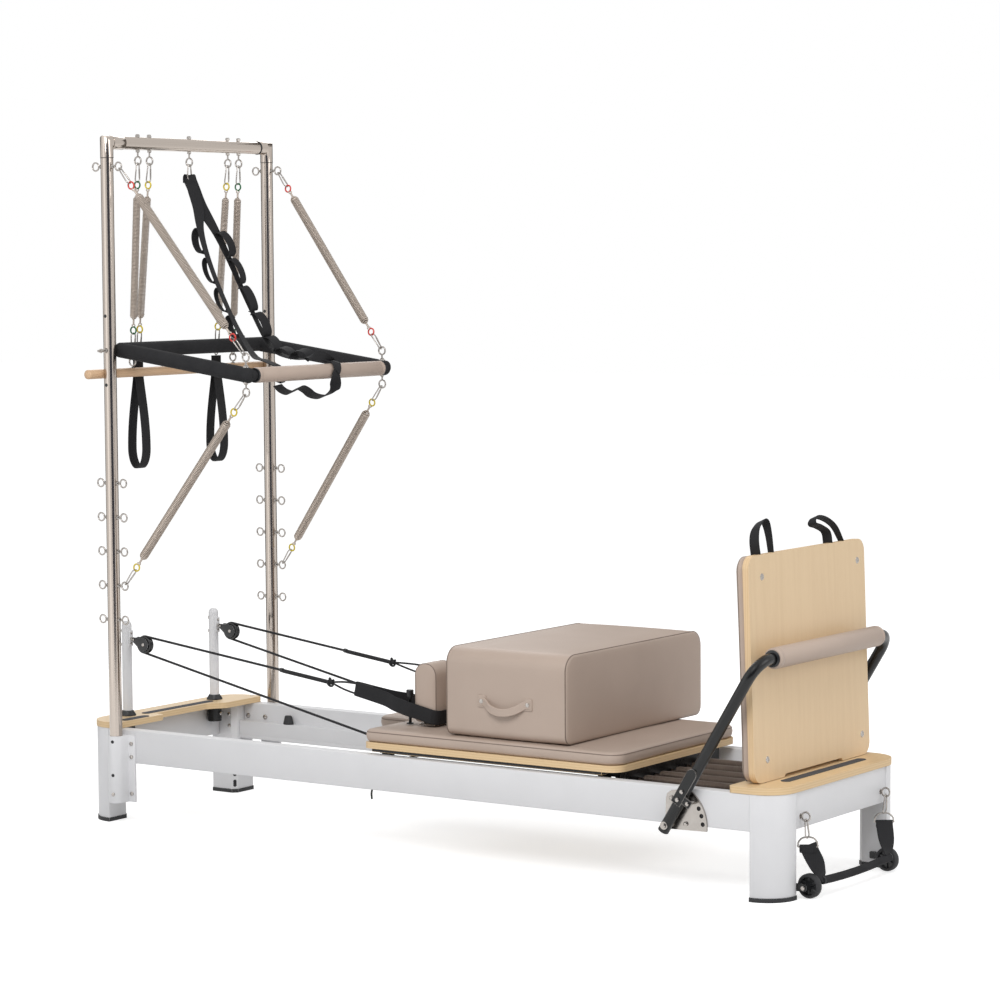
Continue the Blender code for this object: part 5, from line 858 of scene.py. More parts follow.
def addPlatform(piece, loop, holes, strips, stripRound):
    # a plywood board with its holes, and grip strips glued on top
    holeLoops = [circleLoop(x, side * y, radius) for x, y, radius in holes for side in sides]
    bottom = frameSize["top"] + frameSize["gap"]
    addPlate(piece, [loop] + holeLoops, flatPlace, bottom, platformTop, birchFace, 0.0014, 2, birchEdge)
    for low, high in strips:
        strip = roundedLoop(low, high, ((high[0] - low[0]) * stripRound,) * 4, 8)
        top = platformTop + platformSize["stripHeight"]
        addPlate(piece, [strip], flatPlace, platformTop - 0.001, top, gritStrip)


def buildPlatforms():
    size, bend = platformSize, frameSize["legRound"]
    reach = frameSize["halfWidth"] + frameSize["overhang"]
    end = frameSize["halfLength"] + frameSize["overhang"]
    inner = size["headDepth"] - frameSize["halfLength"]
    small, ease = size["corner"], size["notchEase"]
    near, far, notch = size["notchNear"], size["notchFar"], inner - size["notchDepth"]
    loop = arc((bend - end, bend - reach), bend, 180, 270, 16)
    loop += arc((inner - small, small - reach), small, 270, 360, 6)
    loop += arc((inner - small, near - small), small, 0, 90, 6)
    loop += [(notch, near + 0.001), (notch, far)]
    loop += arc((inner - ease, far + 2 * ease), ease, 300, 360, 6)
    loop += arc((inner - small, reach - small), small, 0, 90, 6)
    loop += arc((bend - end, reach - bend), bend, 90, 180, 16)
    piece = newPiece()
    addPlatform(piece, loop, [(size["riserX"], size["riserY"], size["riserHole"])], size["headStrips"], 0.45)
    spots = [((size["boltX"], side * size["boltY"], platformTop - 0.0005), (0, 0, 1)) for side in sides]
    addBolts(piece, spots, 0.0055, 0.0012, brightZinc, 16)
    finishPiece("headPlatform", piece, "base_frame", ("head_platform",), 20)
    piece = newPiece()
    loop = roundedLoop((end - size["footDepth"], -reach), (end, reach), (bend, small, small, bend), 16)
    addPlatform(piece, loop, [(size["pegX"], size["pegY"], size["pegHole"])], size["footStrips"], 0.49)
    finishPiece("footPlatform", piece, "base_frame", ("foot_platform",), 20)


buildRails()
buildBeams()
buildLegs()
buildPlatforms()
print("frame, legs and platforms done")


# tower: posts, top bar, sockets

towerSize = {"postX": -1.050, "postY": 0.377, "radius": 0.019, "bottom": 0.076, "barHeight": 2.035,
             "barGrow": 0.0006, "joint": 1.990, "postShank": 0.013, "topShank": 0.020,
             "rows": (1.964, 1.028, 0.926, 0.824, 0.722, 0.620), "pivot": 1.422, "holePitch": 0.102,
             "plug": 0.0052, "ringY": 0.329, "sleeveY": 0.311, "eyes": (-0.238, -0.185, 0.0, 0.185, 0.238)}


def postEye(side, row):
    reach = towerSize["radius"] + towerSize["postShank"] + eyeSize["radius"]
    return Vector((towerSize["postX"] + reach, side * towerSize["postY"], towerSize["rows"][row]))


def buildPosts():
    radius, low, high = towerSize["radius"], towerSize["bottom"], towerSize["joint"]
    rings = [(0, low), (radius - 0.001, low), (radius, low + 0.001), (radius, high - 0.0012),
             (radius - 0.0008, high - 0.0003), (0, high - 0.0003)]
    for side in sides:
        piece = newPiece()
        axis = Vector((towerSize["postX"], side * towerSize["postY"], 0))
        addTurned(piece, rings, axis, up, stainless, 48)
        for level in towerSize["rows"]:
            for way in sides:
                base = axis + up * level + lengthwise * way * radius
                addEye(piece, base, lengthwise * way, sideways, towerSize["postShank"])
        for step in (-1, 1):
            level = towerSize["pivot"] + step * towerSize["holePitch"]
            for way in sides:
                place, out = axis + up * level + sideways * way * radius, sideways * way
                addRod(piece, place - out * 0.002, place + out * 0.0003, towerSize["plug"], blackNylon, 20)
        name = sideNames[side]
        finishPiece(name + "TowerPost", piece, "base_frame", (name + "_post",))


def addBand(piece, profile, radius, origin, axis, finish, segments=40):
    # a closed profile of (distance from the tube's face, height) turned round a tube
    shape = [(radius + out, height) for out, height in profile]
    addTurned(piece, shape, origin, axis, finish, segments, closed=True)


def buildTopBar():
    # one mitred tube: down the near post, across, and down the far post
    piece = newPiece()
    x, y, height, joint = (towerSize[key] for key in ("postX", "postY", "barHeight", "joint"))
    radius, segments = towerSize["radius"] + towerSize["barGrow"], 48
    verts = []
    for start, level in ((-y, joint), (-y, None), (y, None), (y, joint)):
        for k in range(segments):
            turn = math.tau * k / segments
            out = radius * math.sin(turn)
            z = height + out if level is None else level
            verts.append(Vector((x + radius * math.cos(turn), start + math.copysign(1, start) * out, z)))
    addShape(piece, verts, ringFaces(4, segments, capped=True), stainlessAcross, 0.0008, 1)
    for place in towerSize["eyes"]:
        top = Vector((x, place, height + radius))
        addEye(piece, (x, place, height - radius), -up, sideways, towerSize["topShank"] - towerSize["barGrow"])
        addBolts(piece, [(top - up * 0.0006, up)], 0.0072, 0.006, brightZinc)
        addRod(piece, top, top + up * 0.0035, 0.0030, brightZinc, 12)
    # thin sleeves on the bar, a rubber ring between them, and the dark joint lines on the posts
    for start, end in ((towerSize["ringY"] + 0.003, y - 0.014), (0.014 - y, -towerSize["sleeveY"])):
        long = end - start
        sleeve = [(-0.001, 0.0), (0.0010, 0.0), (0.0012, long * 0.02), (0.0012, long * 0.98), (0.0006, long),
                  (-0.001, long)]
        addBand(piece, sleeve, radius, (x, start, height), sideways, stainlessAcross, 48)
    ring = [(-0.001, 0.0025), (0.0012, 0.0022), (0.0016, 0), (0.0012, -0.0022), (-0.001, -0.0025)]
    addBand(piece, ring, radius, (x, towerSize["ringY"], height), sideways, blackRubber)
    for side in sides:
        line = [(-0.001, 0.0008), (0.0004, 0.0006), (0.0004, -0.0006), (-0.001, -0.0008)]
        addBand(piece, line, radius, (x, side * y, joint), up, blackRubber)
    finishPiece("towerTopBar", piece, "base_frame", ("top_bar",))


socketSize = {"bottom": 0.070, "top": 0.271, "wall": 0.006, "flange": 0.025, "flangeThickness": 0.006,
              "flangeBolts": (0.246, 0.206, 0.095), "faceHoles": (0.255, 0.154), "faceBolt": 0.097,
              "faceTurn": 0.25, "hole": 0.0050}


def buildSockets():
    size, x, y, radius = socketSize, towerSize["postX"], towerSize["postY"], towerSize["radius"]
    outer = radius + size["wall"]
    for side in sides:
        piece = newPiece()
        face = side * (frameSize["halfWidth"] + frameSize["gap"])
        flangeY, flangeX = face + side * size["flangeThickness"], x + outer + size["flange"]
        loop = [(x - outer, face)]
        loop += [(x + u, side * (y + v)) for u, v in arc((0, 0), outer, 180, 0, 20)]
        loop += [(x + outer, flangeY), (flangeX, flangeY), (flangeX, face)]
        bore = circleLoop(x, side * y, radius + 0.0006, 40)
        addPlate(piece, [loop, bore], flatPlace, size["bottom"], size["top"], powderCoat, 0.0010)
        middle = x + outer + size["flange"] / 2
        spots = [((middle, flangeY, z), (0, side, 0)) for z in size["flangeBolts"]]
        addBolts(piece, spots, 0.006, 0.0035, brightZinc)
        out = Vector((math.sin(size["faceTurn"]), side * math.cos(size["faceTurn"]), 0))
        # dark discs on the socket's face where its holes are: painted shade inside the holes
        for z in size["faceHoles"]:
            hole = Vector((x, side * y, z)) + out * outer
            addRod(piece, hole - out * 0.002, hole + out * 0.0003, size["hole"], blackRubber, 20)
        spot = Vector((x, side * y, size["faceBolt"])) + out * (outer - 0.0006)
        addBolts(piece, [(spot, out)], 0.0055, 0.0025, brightZinc, 16)
        name = sideNames[side]
        finishPiece(name + "PostSocket", piece, "base_frame", (name + "_socket",))


# risers with their pulley blocks, sheaves

riserSize = {"x": -1.1503, "y": 0.207, "radius": 0.015, "top": 0.594, "collarRadius": 0.025,
             "collarTop": 0.0175, "collarHeight": 0.016, "clampWall": 0.0067, "clampHeight": 0.050,
             "plateHeight": 0.048, "plateWidth": 0.018, "plateThickness": 0.003, "plateRise": 0.016,
             "noseReach": 0.021}
pulleySize = {"x": -1.077, "height": 0.525, "radius": 0.027, "groove": 0.021, "width": 0.016, "bore": 0.0033,
              "cheek": 0.002, "cheekRadius": 0.020, "nose": 0.007}


def addRiserTube(piece, place):
    # domed tube with its collar on the platform and its clamp below
    size, radius = riserSize, riserSize["radius"]
    top, low = frameSize["top"] - frameSize["gap"], platformTop + frameSize["gap"]
    bottom = top - size["clampHeight"]
    dome = [(radius * math.sin(a), size["top"] - radius * (1 - math.cos(a))) for a in quarter(8)]
    addTurned(piece, dome + [(radius, bottom + 0.0005), (0, bottom + 0.0005)], place, up, powderCoat, 40)
    wide, narrow = size["collarRadius"] - radius, size["collarTop"] - radius
    collar = [(-0.001, size["collarHeight"]), (narrow, 0.0155), (narrow + 0.001, 0.012), (wide - 0.001, 0.005),
              (wide, 0.003), (wide, 0), (-0.001, 0)]
    addBand(piece, collar, radius, place + up * low, up, blackNylon, 36)
    wall, tall = size["clampWall"], size["clampHeight"]
    clamp = [(-0.001, tall), (wall - 0.001, tall), (wall, tall - 0.001), (wall, 0.001), (wall - 0.001, 0),
             (-0.001, 0)]
    addBand(piece, clamp, radius, place + up * bottom, up, blackSteel, 36)
    spot = place + Vector((radius + wall - 0.001, 0, bottom + 0.025))
    addBolts(piece, [(spot, lengthwise)], 0.0055, 0.005, brightZinc)


def addEyePlate(piece, place, level):
    # plate on the tube's foot-end face, bolted through, which the pulley block hangs from
    size, radius = riserSize, riserSize["radius"]
    half, tall, thick = size["plateWidth"] / 2, size["plateHeight"] / 2, size["plateThickness"]
    middle = place + up * level
    plateLow, plateHigh = Vector((radius - 0.0015, -half, -tall)), Vector((radius + thick, half, tall))
    addBox(piece, middle + plateLow, middle + plateHigh, powderCoat, 0.0012)
    back = [(middle + Vector((0.0008 - radius, 0, z)), -lengthwise) for z in (-0.021, 0.021)]
    addBolts(piece, back, 0.006, 0.004, brightZinc, 16)
    front = [(middle + Vector((radius + thick - 0.0004, 0, z)), lengthwise) for z in (-0.016, 0.016)]
    addBolts(piece, front, 0.004, 0.0025, brightZinc, 16)


def addPulleyBlock(piece, nose, middle):
    # two drop-shaped cheeks from the nose at the eye plate round the sheave's axle
    size = pulleySize
    tip = Vector((riserSize["x"] + riserSize["radius"], nose.y, nose.z))
    addRod(piece, tip + lengthwise * 0.002, nose - lengthwise * 0.003, 0.003, brightZinc, 14)
    addBolts(piece, [(tip + lengthwise * 0.0028, lengthwise)], 0.0062, 0.005, brightZinc)
    toward = math.degrees(math.atan2(nose.z - middle.z, nose.x - middle.x))
    drop = arc((middle.x, middle.z), size["cheekRadius"], toward + 75, toward + 285, 24)
    drop += arc((nose.x, nose.z), size["nose"], toward - 75, toward + 75, 10)
    inner = size["width"] / 2 + 0.001
    rivet = [(0, 0.0022), (0.004, 0.0020), (0.0052, 0.0008), (0.0052, -0.0005), (0, -0.0005)]
    for way in sides:
        start, end = middle.y + way * inner, middle.y + way * (inner + size["cheek"])
        addPlate(piece, [drop], sidePlace, min(start, end), max(start, end), blackNylon, 0.0006)
        addTurned(piece, rivet, (middle.x, end, middle.z), (0, way, 0), brightZinc, 20)
        addBolts(piece, [((nose.x, end, nose.z), (0, way, 0))], 0.0032, 0.0016, brightZinc, 12)
    reach = sideways * (inner + 0.001)
    addRod(piece, middle - reach, middle + reach, size["bore"] - 0.0003, brightZinc, 14)
    addRod(piece, nose - reach, nose + reach, size["nose"] * 0.7, blackNylon, 20)


def buildRisers():
    wide, rim, groove, bore = (pulleySize[key] for key in ("width", "radius", "groove", "bore"))
    wide = wide / 2
    face = [(bore, wide), (rim * 0.45, wide), (rim * 0.5, wide - 0.002), (rim * 0.78, wide - 0.002),
            (rim * 0.82, wide), (rim - 0.001, wide), (rim, wide - 0.001), (rim - 0.001, wide - 0.0025),
            (groove + 0.001, 0.0034), (groove, 0.0018)]
    wheel = face + [(r, -h) for r, h in reversed(face)]
    for side in sides:
        piece = newPiece()
        place = Vector((riserSize["x"], side * riserSize["y"], 0))
        plateLevel = pulleySize["height"] + riserSize["plateRise"]
        nose = place + Vector((riserSize["radius"] + riserSize["noseReach"], 0, plateLevel - 0.002))
        middle = Vector((pulleySize["x"], place.y, pulleySize["height"]))
        addRiserTube(piece, place)
        addEyePlate(piece, place, plateLevel)
        addPulleyBlock(piece, nose, middle)
        name = sideNames[side]
        finishPiece(name + "RopeRiser", piece, "base_frame", (name + "_riser",))
        piece = newPiece()
        addTurned(piece, wheel, middle, sideways, blackNylon, 40, closed=True)
        finishPiece(name + "PulleySheave", piece, name + "_sheave", (name + "_sheave",))


buildPosts()
buildTopBar()
buildSockets()
buildRisers()
print("tower and risers done")


# spring clips, coloured rings and tower springs

clipSize = {"wire": 0.002, "length": 0.058, "dropLength": 0.080, "small": 0.0065, "large": 0.0095,
            "ring": 0.0105, "ringWire": 0.0024, "seat": 0.0012, "inside": 0.0063}
towerSpring = {"radius": 0.0097, "wire": 0.0019, "neck": 0.024, "dome": 0.012}
heavySpring = {"radius": 0.0113, "wire": 0.0021, "neck": 0.024, "dome": 0.014}


def addClip(piece, start, along, across, length):
    # pear-shaped snap hook: narrow where it hooks the eye, with a gate bar on its near side
    along, across = Vector(along).normalized(), Vector(across).normalized()
    small, large = clipSize["small"], clipSize["large"]
    outline = arc((length - large, 0), large, -95, 95, 12) + arc((small, 0), small, 120, 240, 8)
    points = [start + along * u + across * v for u, v in outline]
    addTube(piece, points, clipSize["wire"], brightZinc, 10, closed=True)
    low = start + along * (small * 1.9) + across * small
    high = start + along * (length - large * 1.15) + across * large
    addRod(piece, low.lerp(high, 0.15), low.lerp(high, 0.9), clipSize["wire"] * 1.25, brightZinc, 12)


def addSpringNeck(piece, start, along, size, finish):
    # straight twisted neck on the axis, then a domed run of turns that widens to the coil
    radius, wire, neck, dome = (size[key] for key in ("radius", "wire", "neck", "dome"))
    first = along.orthogonal().normalized()
    second = along.cross(first)
    hook = 0.004
    addTube(piece, ringPoints(start + along * hook, -along, first, hook, 14), wire, finish, 8, closed=True)
    addRod(piece, start + along * 0.0065, start + along * neck, wire * 1.45, finish, 10)
    turns, perTurn = max(2, round(dome / (wire * 2.0))), 12
    points = []
    for k in range(turns * perTurn + 1):
        share = k / (turns * perTurn)
        reach = radius * math.sin(math.pi / 2 * min(1.0, share * 1.05)) ** 0.75
        turn = math.tau * k / perTurn
        centre = start + along * (neck - 0.002 + dome * share)
        points.append(centre + reach * (math.cos(turn) * first + math.sin(turn) * second))
    addTube(piece, points, wire, finish, 7)


def addSpring(piece, start, end, size, finish):
    start, end = Vector(start), Vector(end)
    along = (end - start).normalized()
    for place, way in ((start, along), (end, -along)):
        addSpringNeck(piece, place, way, size, finish)
    rim = size["neck"] + size["dome"] - 0.003
    addCoil(piece, start + along * rim, end - along * rim, size["radius"], size["wire"], finish)


def addHangingSpring(piece, anchor, target, lastClip, ringFinish, lastHooks=True, spring=towerSpring):
    # clip, ring, spring, ring and clip in one line between two eyes
    anchor, target = Vector(anchor), Vector(target)
    along = (target - anchor).normalized()
    side = (sideways - sideways.dot(along) * along).normalized()
    front = along.cross(side)
    seat = clipSize["wire"] * 2 - clipSize["seat"]
    total = (target - anchor).length
    ends = []
    links = ((anchor, along, clipSize["length"], True), (target, -along, lastClip, lastHooks))
    for origin, way, length, hooked in links:
        begin = clipSize["inside"] if hooked else clipSize["wire"]
        addClip(piece, origin + way * begin, way, side, length)
        ringNear = begin + length - seat
        centre = origin + way * (ringNear + clipSize["ring"])
        ring = ringPoints(centre, way, front, clipSize["ring"], 28)
        addTube(piece, ring, clipSize["ringWire"], ringFinish, 12, closed=True)
        ends.append(ringNear + 2 * clipSize["ring"])
    addSpring(piece, anchor + along * ends[0], anchor + along * (total - ends[1]), spring, springWire)


# push-through bar

ptbSize = {"armY": 0.331, "foam": 0.0225, "frontX": -0.560, "frontZ": 1.354, "tube": 0.016, "grip": 0.0225,
           "eyeSetback": 0.012, "cornerShank": 0.017, "pin": 0.0038, "pinReach": 0.034, "collar": 0.0066}
ptbPivot = Vector((towerSize["postX"], 0, towerSize["pivot"]))
ptbFront = Vector((ptbSize["frontX"], 0, ptbSize["frontZ"]))
ptbLength = (ptbFront - ptbPivot).length


def ptbPoint(distance, side):
    return ptbPivot.lerp(ptbFront, distance / ptbLength) + sideways * side * ptbSize["armY"]


def cornerEye(side, way):
    reach = ptbSize["foam"] + ptbSize["cornerShank"] + eyeSize["radius"]
    return ptbPoint(ptbLength - ptbSize["eyeSetback"], side) + up * way * reach


def addPivotPin(piece, side):
    # the sprung pull pin through the post, with its collar and shoulder washer
    pin, collar = ptbSize["pin"], ptbSize["collar"]
    face = towerSize["postY"] + towerSize["radius"]
    washer, reach = ptbPivot + sideways * side * (face + 0.0006), ptbSize["pinReach"] - 0.0006
    profile = [(0, reach), (pin - 0.0008, reach), (pin, reach - 0.001), (pin, reach - 0.010),
               (collar - 0.0006, reach - 0.0105), (collar, reach - 0.012), (collar, reach - 0.0145),
               (pin, reach - 0.016), (pin, 0.006), (collar, 0.0055), (collar + 0.001, 0.0), (0, 0.0)]
    addTurned(piece, profile, washer, (0, side, 0), brightZinc, 24)
    start = ptbPivot + sideways * side * (ptbSize["armY"] + 0.01)
    addRod(piece, start, washer + sideways * side * 0.001, pin, brightZinc, 20)


def buildPushThroughBar():
    radius, y = ptbSize["foam"], ptbSize["armY"]
    domeRise = radius * 0.6
    cap = [(radius * math.sin(a), domeRise * math.cos(a)) for a in quarter(8)]
    arm = [(r, ptbLength + rise) for r, rise in cap] + [(r, -rise) for r, rise in reversed(cap)]
    washer = [(0.0, 0.0022), (0.0085, 0.0020), (0.0095, 0.0008), (0.0095, -0.001), (0, -0.001)]
    piece = newPiece()
    for side in sides:
        start = ptbPoint(0.0, side)
        addTurned(piece, arm, start, ptbPoint(ptbLength, side) - start, foamSleeve, 36)
        for way in sides:
            base = ptbPoint(ptbLength - ptbSize["eyeSetback"], side) + up * way * (radius - 0.0004)
            addEye(piece, base, up * way, sideways, ptbSize["cornerShank"])
            addTurned(piece, washer, base, up * way, brightZinc, 24)
        addPivotPin(piece, side)
    addRod(piece, ptbPivot - sideways * y, ptbPivot + sideways * y, radius * 0.98, foamSleeve, 36)
    addRod(piece, ptbFront - sideways * y, ptbFront + sideways * y, ptbSize["tube"], foamSleeve, 28)
    made = finishPiece("pushThroughFrame", piece, "push_through_bar", ("ptb_frame",), 50)
    piece = newPiece()
    grip, half, bore = ptbSize["grip"], y - radius - 0.004, ptbSize["tube"] + 0.0009
    sleeve = [(bore, half), (grip - 0.003, half), (grip - 0.0008, half - 0.001), (grip, half - 0.003),
              (grip, half - 0.012), (grip - 0.0008, half - 0.0132), (grip, half - 0.0144)]
    sleeve += [(r, -h) for r, h in reversed(sleeve)]
    addTurned(piece, sleeve, ptbFront, sideways, vinyl, 40, closed=True)
    seam = [ptbFront + Vector((-grip * 0.985, t, -grip * 0.17)) for t in (-half + 0.016, half - 0.016)]
    addStitches(piece, seam, sewingThread)
    cap = [(bore, 0.004), (grip * 0.93, 0.004), (grip * 0.96, 0.003), (grip * 0.96, -0.001), (bore, -0.001)]
    for side in sides:
        addTurned(piece, cap, ptbFront + sideways * side * half, (0, side, 0), blackNylon, 32, closed=True)
    made = finishPiece("pushThroughGrip", piece, "push_through_bar", ("ptb_grip",))
    for kind, row, way, ring in (("Upper", 0, 1, redEnamel), ("Lower", 4, -1, yellowEnamel)):
        for side in sides:
            piece = newPiece()
            anchor, target = postEye(side, row), cornerEye(side, way)
            addHangingSpring(piece, anchor, target, clipSize["length"], ring, spring=heavySpring)
            name = sideNames[side]
            finishBlend(name + kind + "TowerSpring", piece,
                        (f"{name}_{kind.lower()}_spring",), 65)


buildPushThroughBar()
print("push-through bar and its springs done")


# roll-down bar, hand loops and the multi-loop strap

dowelSize = {"x": -1.0833, "height": 1.352, "radius": 0.014, "length": 0.888, "spacing": 0.476, "shank": 0.006,
             "tip": 0.006}
loopSize = {"x": -1.10725, "spacing": 0.370, "top": 1.390, "length": 0.330, "neck": 0.045, "half": 0.0295,
            "widest": 0.270, "neckHalf": 0.0045, "band": 0.038, "tape": 0.003, "seamY": 0.014}
topEyeZ = towerSize["barHeight"] - towerSize["radius"] - towerSize["topShank"] - eyeSize["radius"]


def topEye(y):
    return Vector((towerSize["postX"], y, topEyeZ))


def buildRollDownBar():
    size = dowelSize
    half, radius = size["length"] / 2, size["radius"]
    piece = newPiece()
    cap = [(0.0, half), (radius * 0.45, half - 0.0003), (radius * 0.8, half - 0.0018),
           (radius * 0.96, half - 0.004), (radius, half - size["tip"])]
    middle = Vector((size["x"], 0, size["height"]))
    addTurned(piece, cap + [(r, -h) for r, h in reversed(cap)], middle, sideways, beech, 36)
    for side in sides:
        top = middle + Vector((0, side * size["spacing"] / 2, radius))
        addEye(piece, top - up * 0.0005, up, sideways, size["shank"], nut=False)
        addTurned(piece, [(0, 0.0015), (0.006, 0.0012), (0.007, -0.001), (0, -0.001)], top, up, brightZinc, 20)
    finishPiece("rollDownBar", piece, "roll_down_bar", ("roll_down_bar",))
    for side in sides:
        y = side * size["spacing"] / 2
        anchor = topEye(y)
        target = Vector((size["x"], y, size["height"] + radius + size["shank"] + eyeSize["radius"]))
        piece = newPiece()
        addHangingSpring(piece, anchor, target, clipSize["dropLength"], greenEnamel)
        name = sideNames[side]
        finishBlend(name + "RollDownSpring", piece,
                    (name + "_roll_down_spring",), 65)


def loopHalfWidth(depth):
    size = loopSize
    if depth < size["widest"]:
        share = max(0.0, (depth - size["neck"]) / (size["widest"] - size["neck"]))
        return size["neckHalf"] + (size["half"] - size["neckHalf"]) * math.sin(math.pi / 2 * share) ** 1.15
    share = (depth - size["widest"]) / (size["length"] - size["widest"])
    return size["half"] * math.sqrt(max(0.0, 1 - share * share))


def buildHandLoops():
    # one tape each: down from the clip, round the hand opening and up again, its two runs sewn at the neck
    size = loopSize
    tape, neck, widest = size["tape"] / 2, size["neck"], size["widest"]
    depths = [0.0] + [neck + (widest - neck) * k / 14 for k in range(15)]
    depths += [widest + (size["length"] - widest) * math.sin(math.pi / 2 * k / 9) for k in range(1, 9)]
    right = [(max(loopHalfWidth(d) - tape, tape * 1.05), -d) for d in depths]
    line = right + [(0.0, -size["length"] + tape)] + [(-x, z) for x, z in reversed(right)]
    for side in sides:
        y = side * size["spacing"] / 2
        top = Vector((size["x"], y, size["top"]))
        piece = newPiece()
        path = [top + Vector((x, 0, z)) for x, z in line]
        addRibbon(piece, path, [sideways], size["band"], size["tape"], webbing)
        fill, across = size["neckHalf"] - size["tape"] + 0.0006, size["band"] / 2 - 0.003
        addBox(piece, top - Vector((fill, across, neck)), top + Vector((fill, across, -0.004)), webbing, 0.0005)
        for way in sides:
            for edge in sides:
                offset = Vector((way * (size["neckHalf"] + 0.0001), edge * size["seamY"], 0))
                row = [top + offset - up * d for d in (0.008, neck)]
                addStitches(piece, row, webbing, 0.006, 0.0042, 0.0007)
        name = sideNames[side]
        finishPiece(name + "HandLoop", piece, name + "_hand_loop", (name + "_hand_loop",))
        piece = newPiece()
        anchor, target = topEye(y), top + up * 0.0006
        addHangingSpring(piece, anchor, target, clipSize["dropLength"], yellowEnamel, False)
        finishBlend(name + "LoopSpring", piece,
                    (name + "_loop_spring",), 65)


# the strap's two runs: each stop with the lean of the tape's width there, and how the run lies round the grip
strapSize = {"width": 0.034, "thickness": 0.0025, "over": 0.027, "bulge": 0.026, "clip": 0.046,
             "loopSpan": 0.060, "foldHalf": 0.0044, "foldLean": 0.80,
             "right": (((-1.040, 0.010, 1.905), 0.80), ((-1.026, 0.030, 1.845), 0.60),
                       ((-1.008, 0.074, 1.770), 0.05), ((-0.988, 0.112, 1.685), -0.15),
                       ((-0.958, 0.138, 1.590), -0.25), ((-0.905, 0.160, 1.468), -0.30),
                       ((-0.860, 0.146, 1.425), -0.25), ((-0.790, 0.112, 1.398), 0.0),
                       ((-0.700, 0.086, 1.386), 0.25), ((-0.612, 0.068, 1.390), 0.15)),
             "left": (((-1.040, 0.002, 1.905), 0.80), ((-1.026, 0.010, 1.845), 0.60),
                      ((-1.000, -0.012, 1.780), -0.10), ((-0.956, -0.034, 1.700), -0.30),
                      ((-0.890, -0.052, 1.590), -0.35), ((-0.800, -0.084, 1.480), -0.35),
                      ((-0.700, -0.134, 1.405), -0.25), ((-0.622, -0.180, 1.392), 0.0)),
             "bends": {"right": (1.45, 1.0, 0.55, 0.1, -0.35), "left": (2.2, 2.8, 3.4, 4.0, 4.5)},
             "drifts": {"right": -0.005, "left": 0.003},
             "loops": {"right": (0.150, 0.222, 0.294, 0.366, 0.438, 0.510, 0.582, 0.645),
                       "left": (0.19, 0.31, 0.43, 0.55)},
             "loopStretch": {"right": 1.0, "left": 1.5},
             "loopShape": ((0.0, 0.0), (-0.03, 0.36), (0.08, 0.76), (0.32, 1.0), (0.62, 1.02), (0.90, 0.80),
                           (1.04, 0.40), (1.0, 0.0)),
             "scallops": ((0.056, -0.048), (0.034, -0.066), (0.000, -0.075), (-0.040, -0.068), (-0.066, -0.052),
                          (-0.092, -0.044), (-0.128, -0.058), (-0.160, -0.050), (-0.180, -0.034))}


def alongPath(points, share):
    lengths = [(b - a).length for a, b in zip(points, points[1:])]
    goal = sum(lengths) * share
    for a, b, length in zip(points, points[1:], lengths):
        if goal <= length:
            return a.lerp(b, goal / length)
        goal -= length
    return points[-1].copy()


def strapRun(name):
    # down from the fold at the clip, then round the grip: over its front, or behind and under it
    size, over = strapSize, strapSize["over"]
    stops = [Vector(place) for place, _ in size[name]]
    turns = [Vector((lean, 1.0, 0.0)).normalized() for _, lean in size[name]]
    last = stops[-1].y
    for k, angle in enumerate(size["bends"][name]):
        y = last + size["drifts"][name] * k
        stops.append(ptbFront + Vector((over * math.cos(angle), y, over * math.sin(angle))))
        turns.append(sideways)
    if name == "right":
        for k, (y, drop) in enumerate(size["scallops"]):
            stops.append(ptbFront + Vector((0.016 - 0.004 * k, y, drop)))
            turns.append(Vector((0.9, 0.3 - 0.06 * k, 0.35)))
    return smoothPath(stops, 6), [w.normalized() for w in smoothPath(turns, 6)]


def addSideLoop(piece, path, turns, name, way, k, share):
    # one loop of tape that stands out from the run, a little different from its neighbours
    size = strapSize
    span = size["loopSpan"] * size["loopStretch"][name]
    low, high = alongPath(path, share), alongPath(path, share + span)
    spread = turns[min(len(turns) - 1, round((share + 0.04) * len(turns)))]
    out = (high - low).normalized().cross(spread).normalized() * way
    bulge = size["bulge"] * (0.88 + 0.12 * math.cos(k * 2.1))
    loop = smoothPath([low.lerp(high, t) + out * bulge * rise for t, rise in size["loopShape"]], 4)
    lean = (spread + lengthwise * (0.16 + 0.16 * math.cos(k * 1.7)) + up * 0.16 * way).normalized()
    addRibbon(piece, loop, [lean], size["width"] * 0.92, size["thickness"], webbing)


def buildLoopStrap():
    # one band in two runs: folded over the clip, sewn into side loops, and joined below the grip in scallops
    size = strapSize
    piece = newPiece()
    hook = topEye(0.0) - up * clipSize["inside"]
    addClip(piece, hook, -up, sideways, size["clip"])
    top = hook - up * (size["clip"] - 0.010)
    front = lengthwise * size["foldHalf"]
    fold = [top - front - up * 0.020, top - front - up * 0.004, top + up * 0.001, top + front - up * 0.004,
            top + front - up * 0.016]
    lean = Vector((size["foldLean"], 1, 0)).normalized()
    addRibbon(piece, smoothPath(fold, 5), [lean], size["width"], size["thickness"], webbing)
    for name, way in (("right", 1), ("left", -1)):
        path, turns = strapRun(name)
        path = [top + front * way - up * 0.008] + path
        turns = [turns[0]] + turns
        addRibbon(piece, path, turns, size["width"], size["thickness"], webbing)
        for k, share in enumerate(size["loops"][name]):
            addSideLoop(piece, path, turns, name, way, k, share)
    finishBlend("multiLoopStrap", piece, ("loop_strap",))


buildRollDownBar()
buildHandLoops()
buildLoopStrap()
print("hanging bar, loops and strap done")


# ropes, knots and foot straps

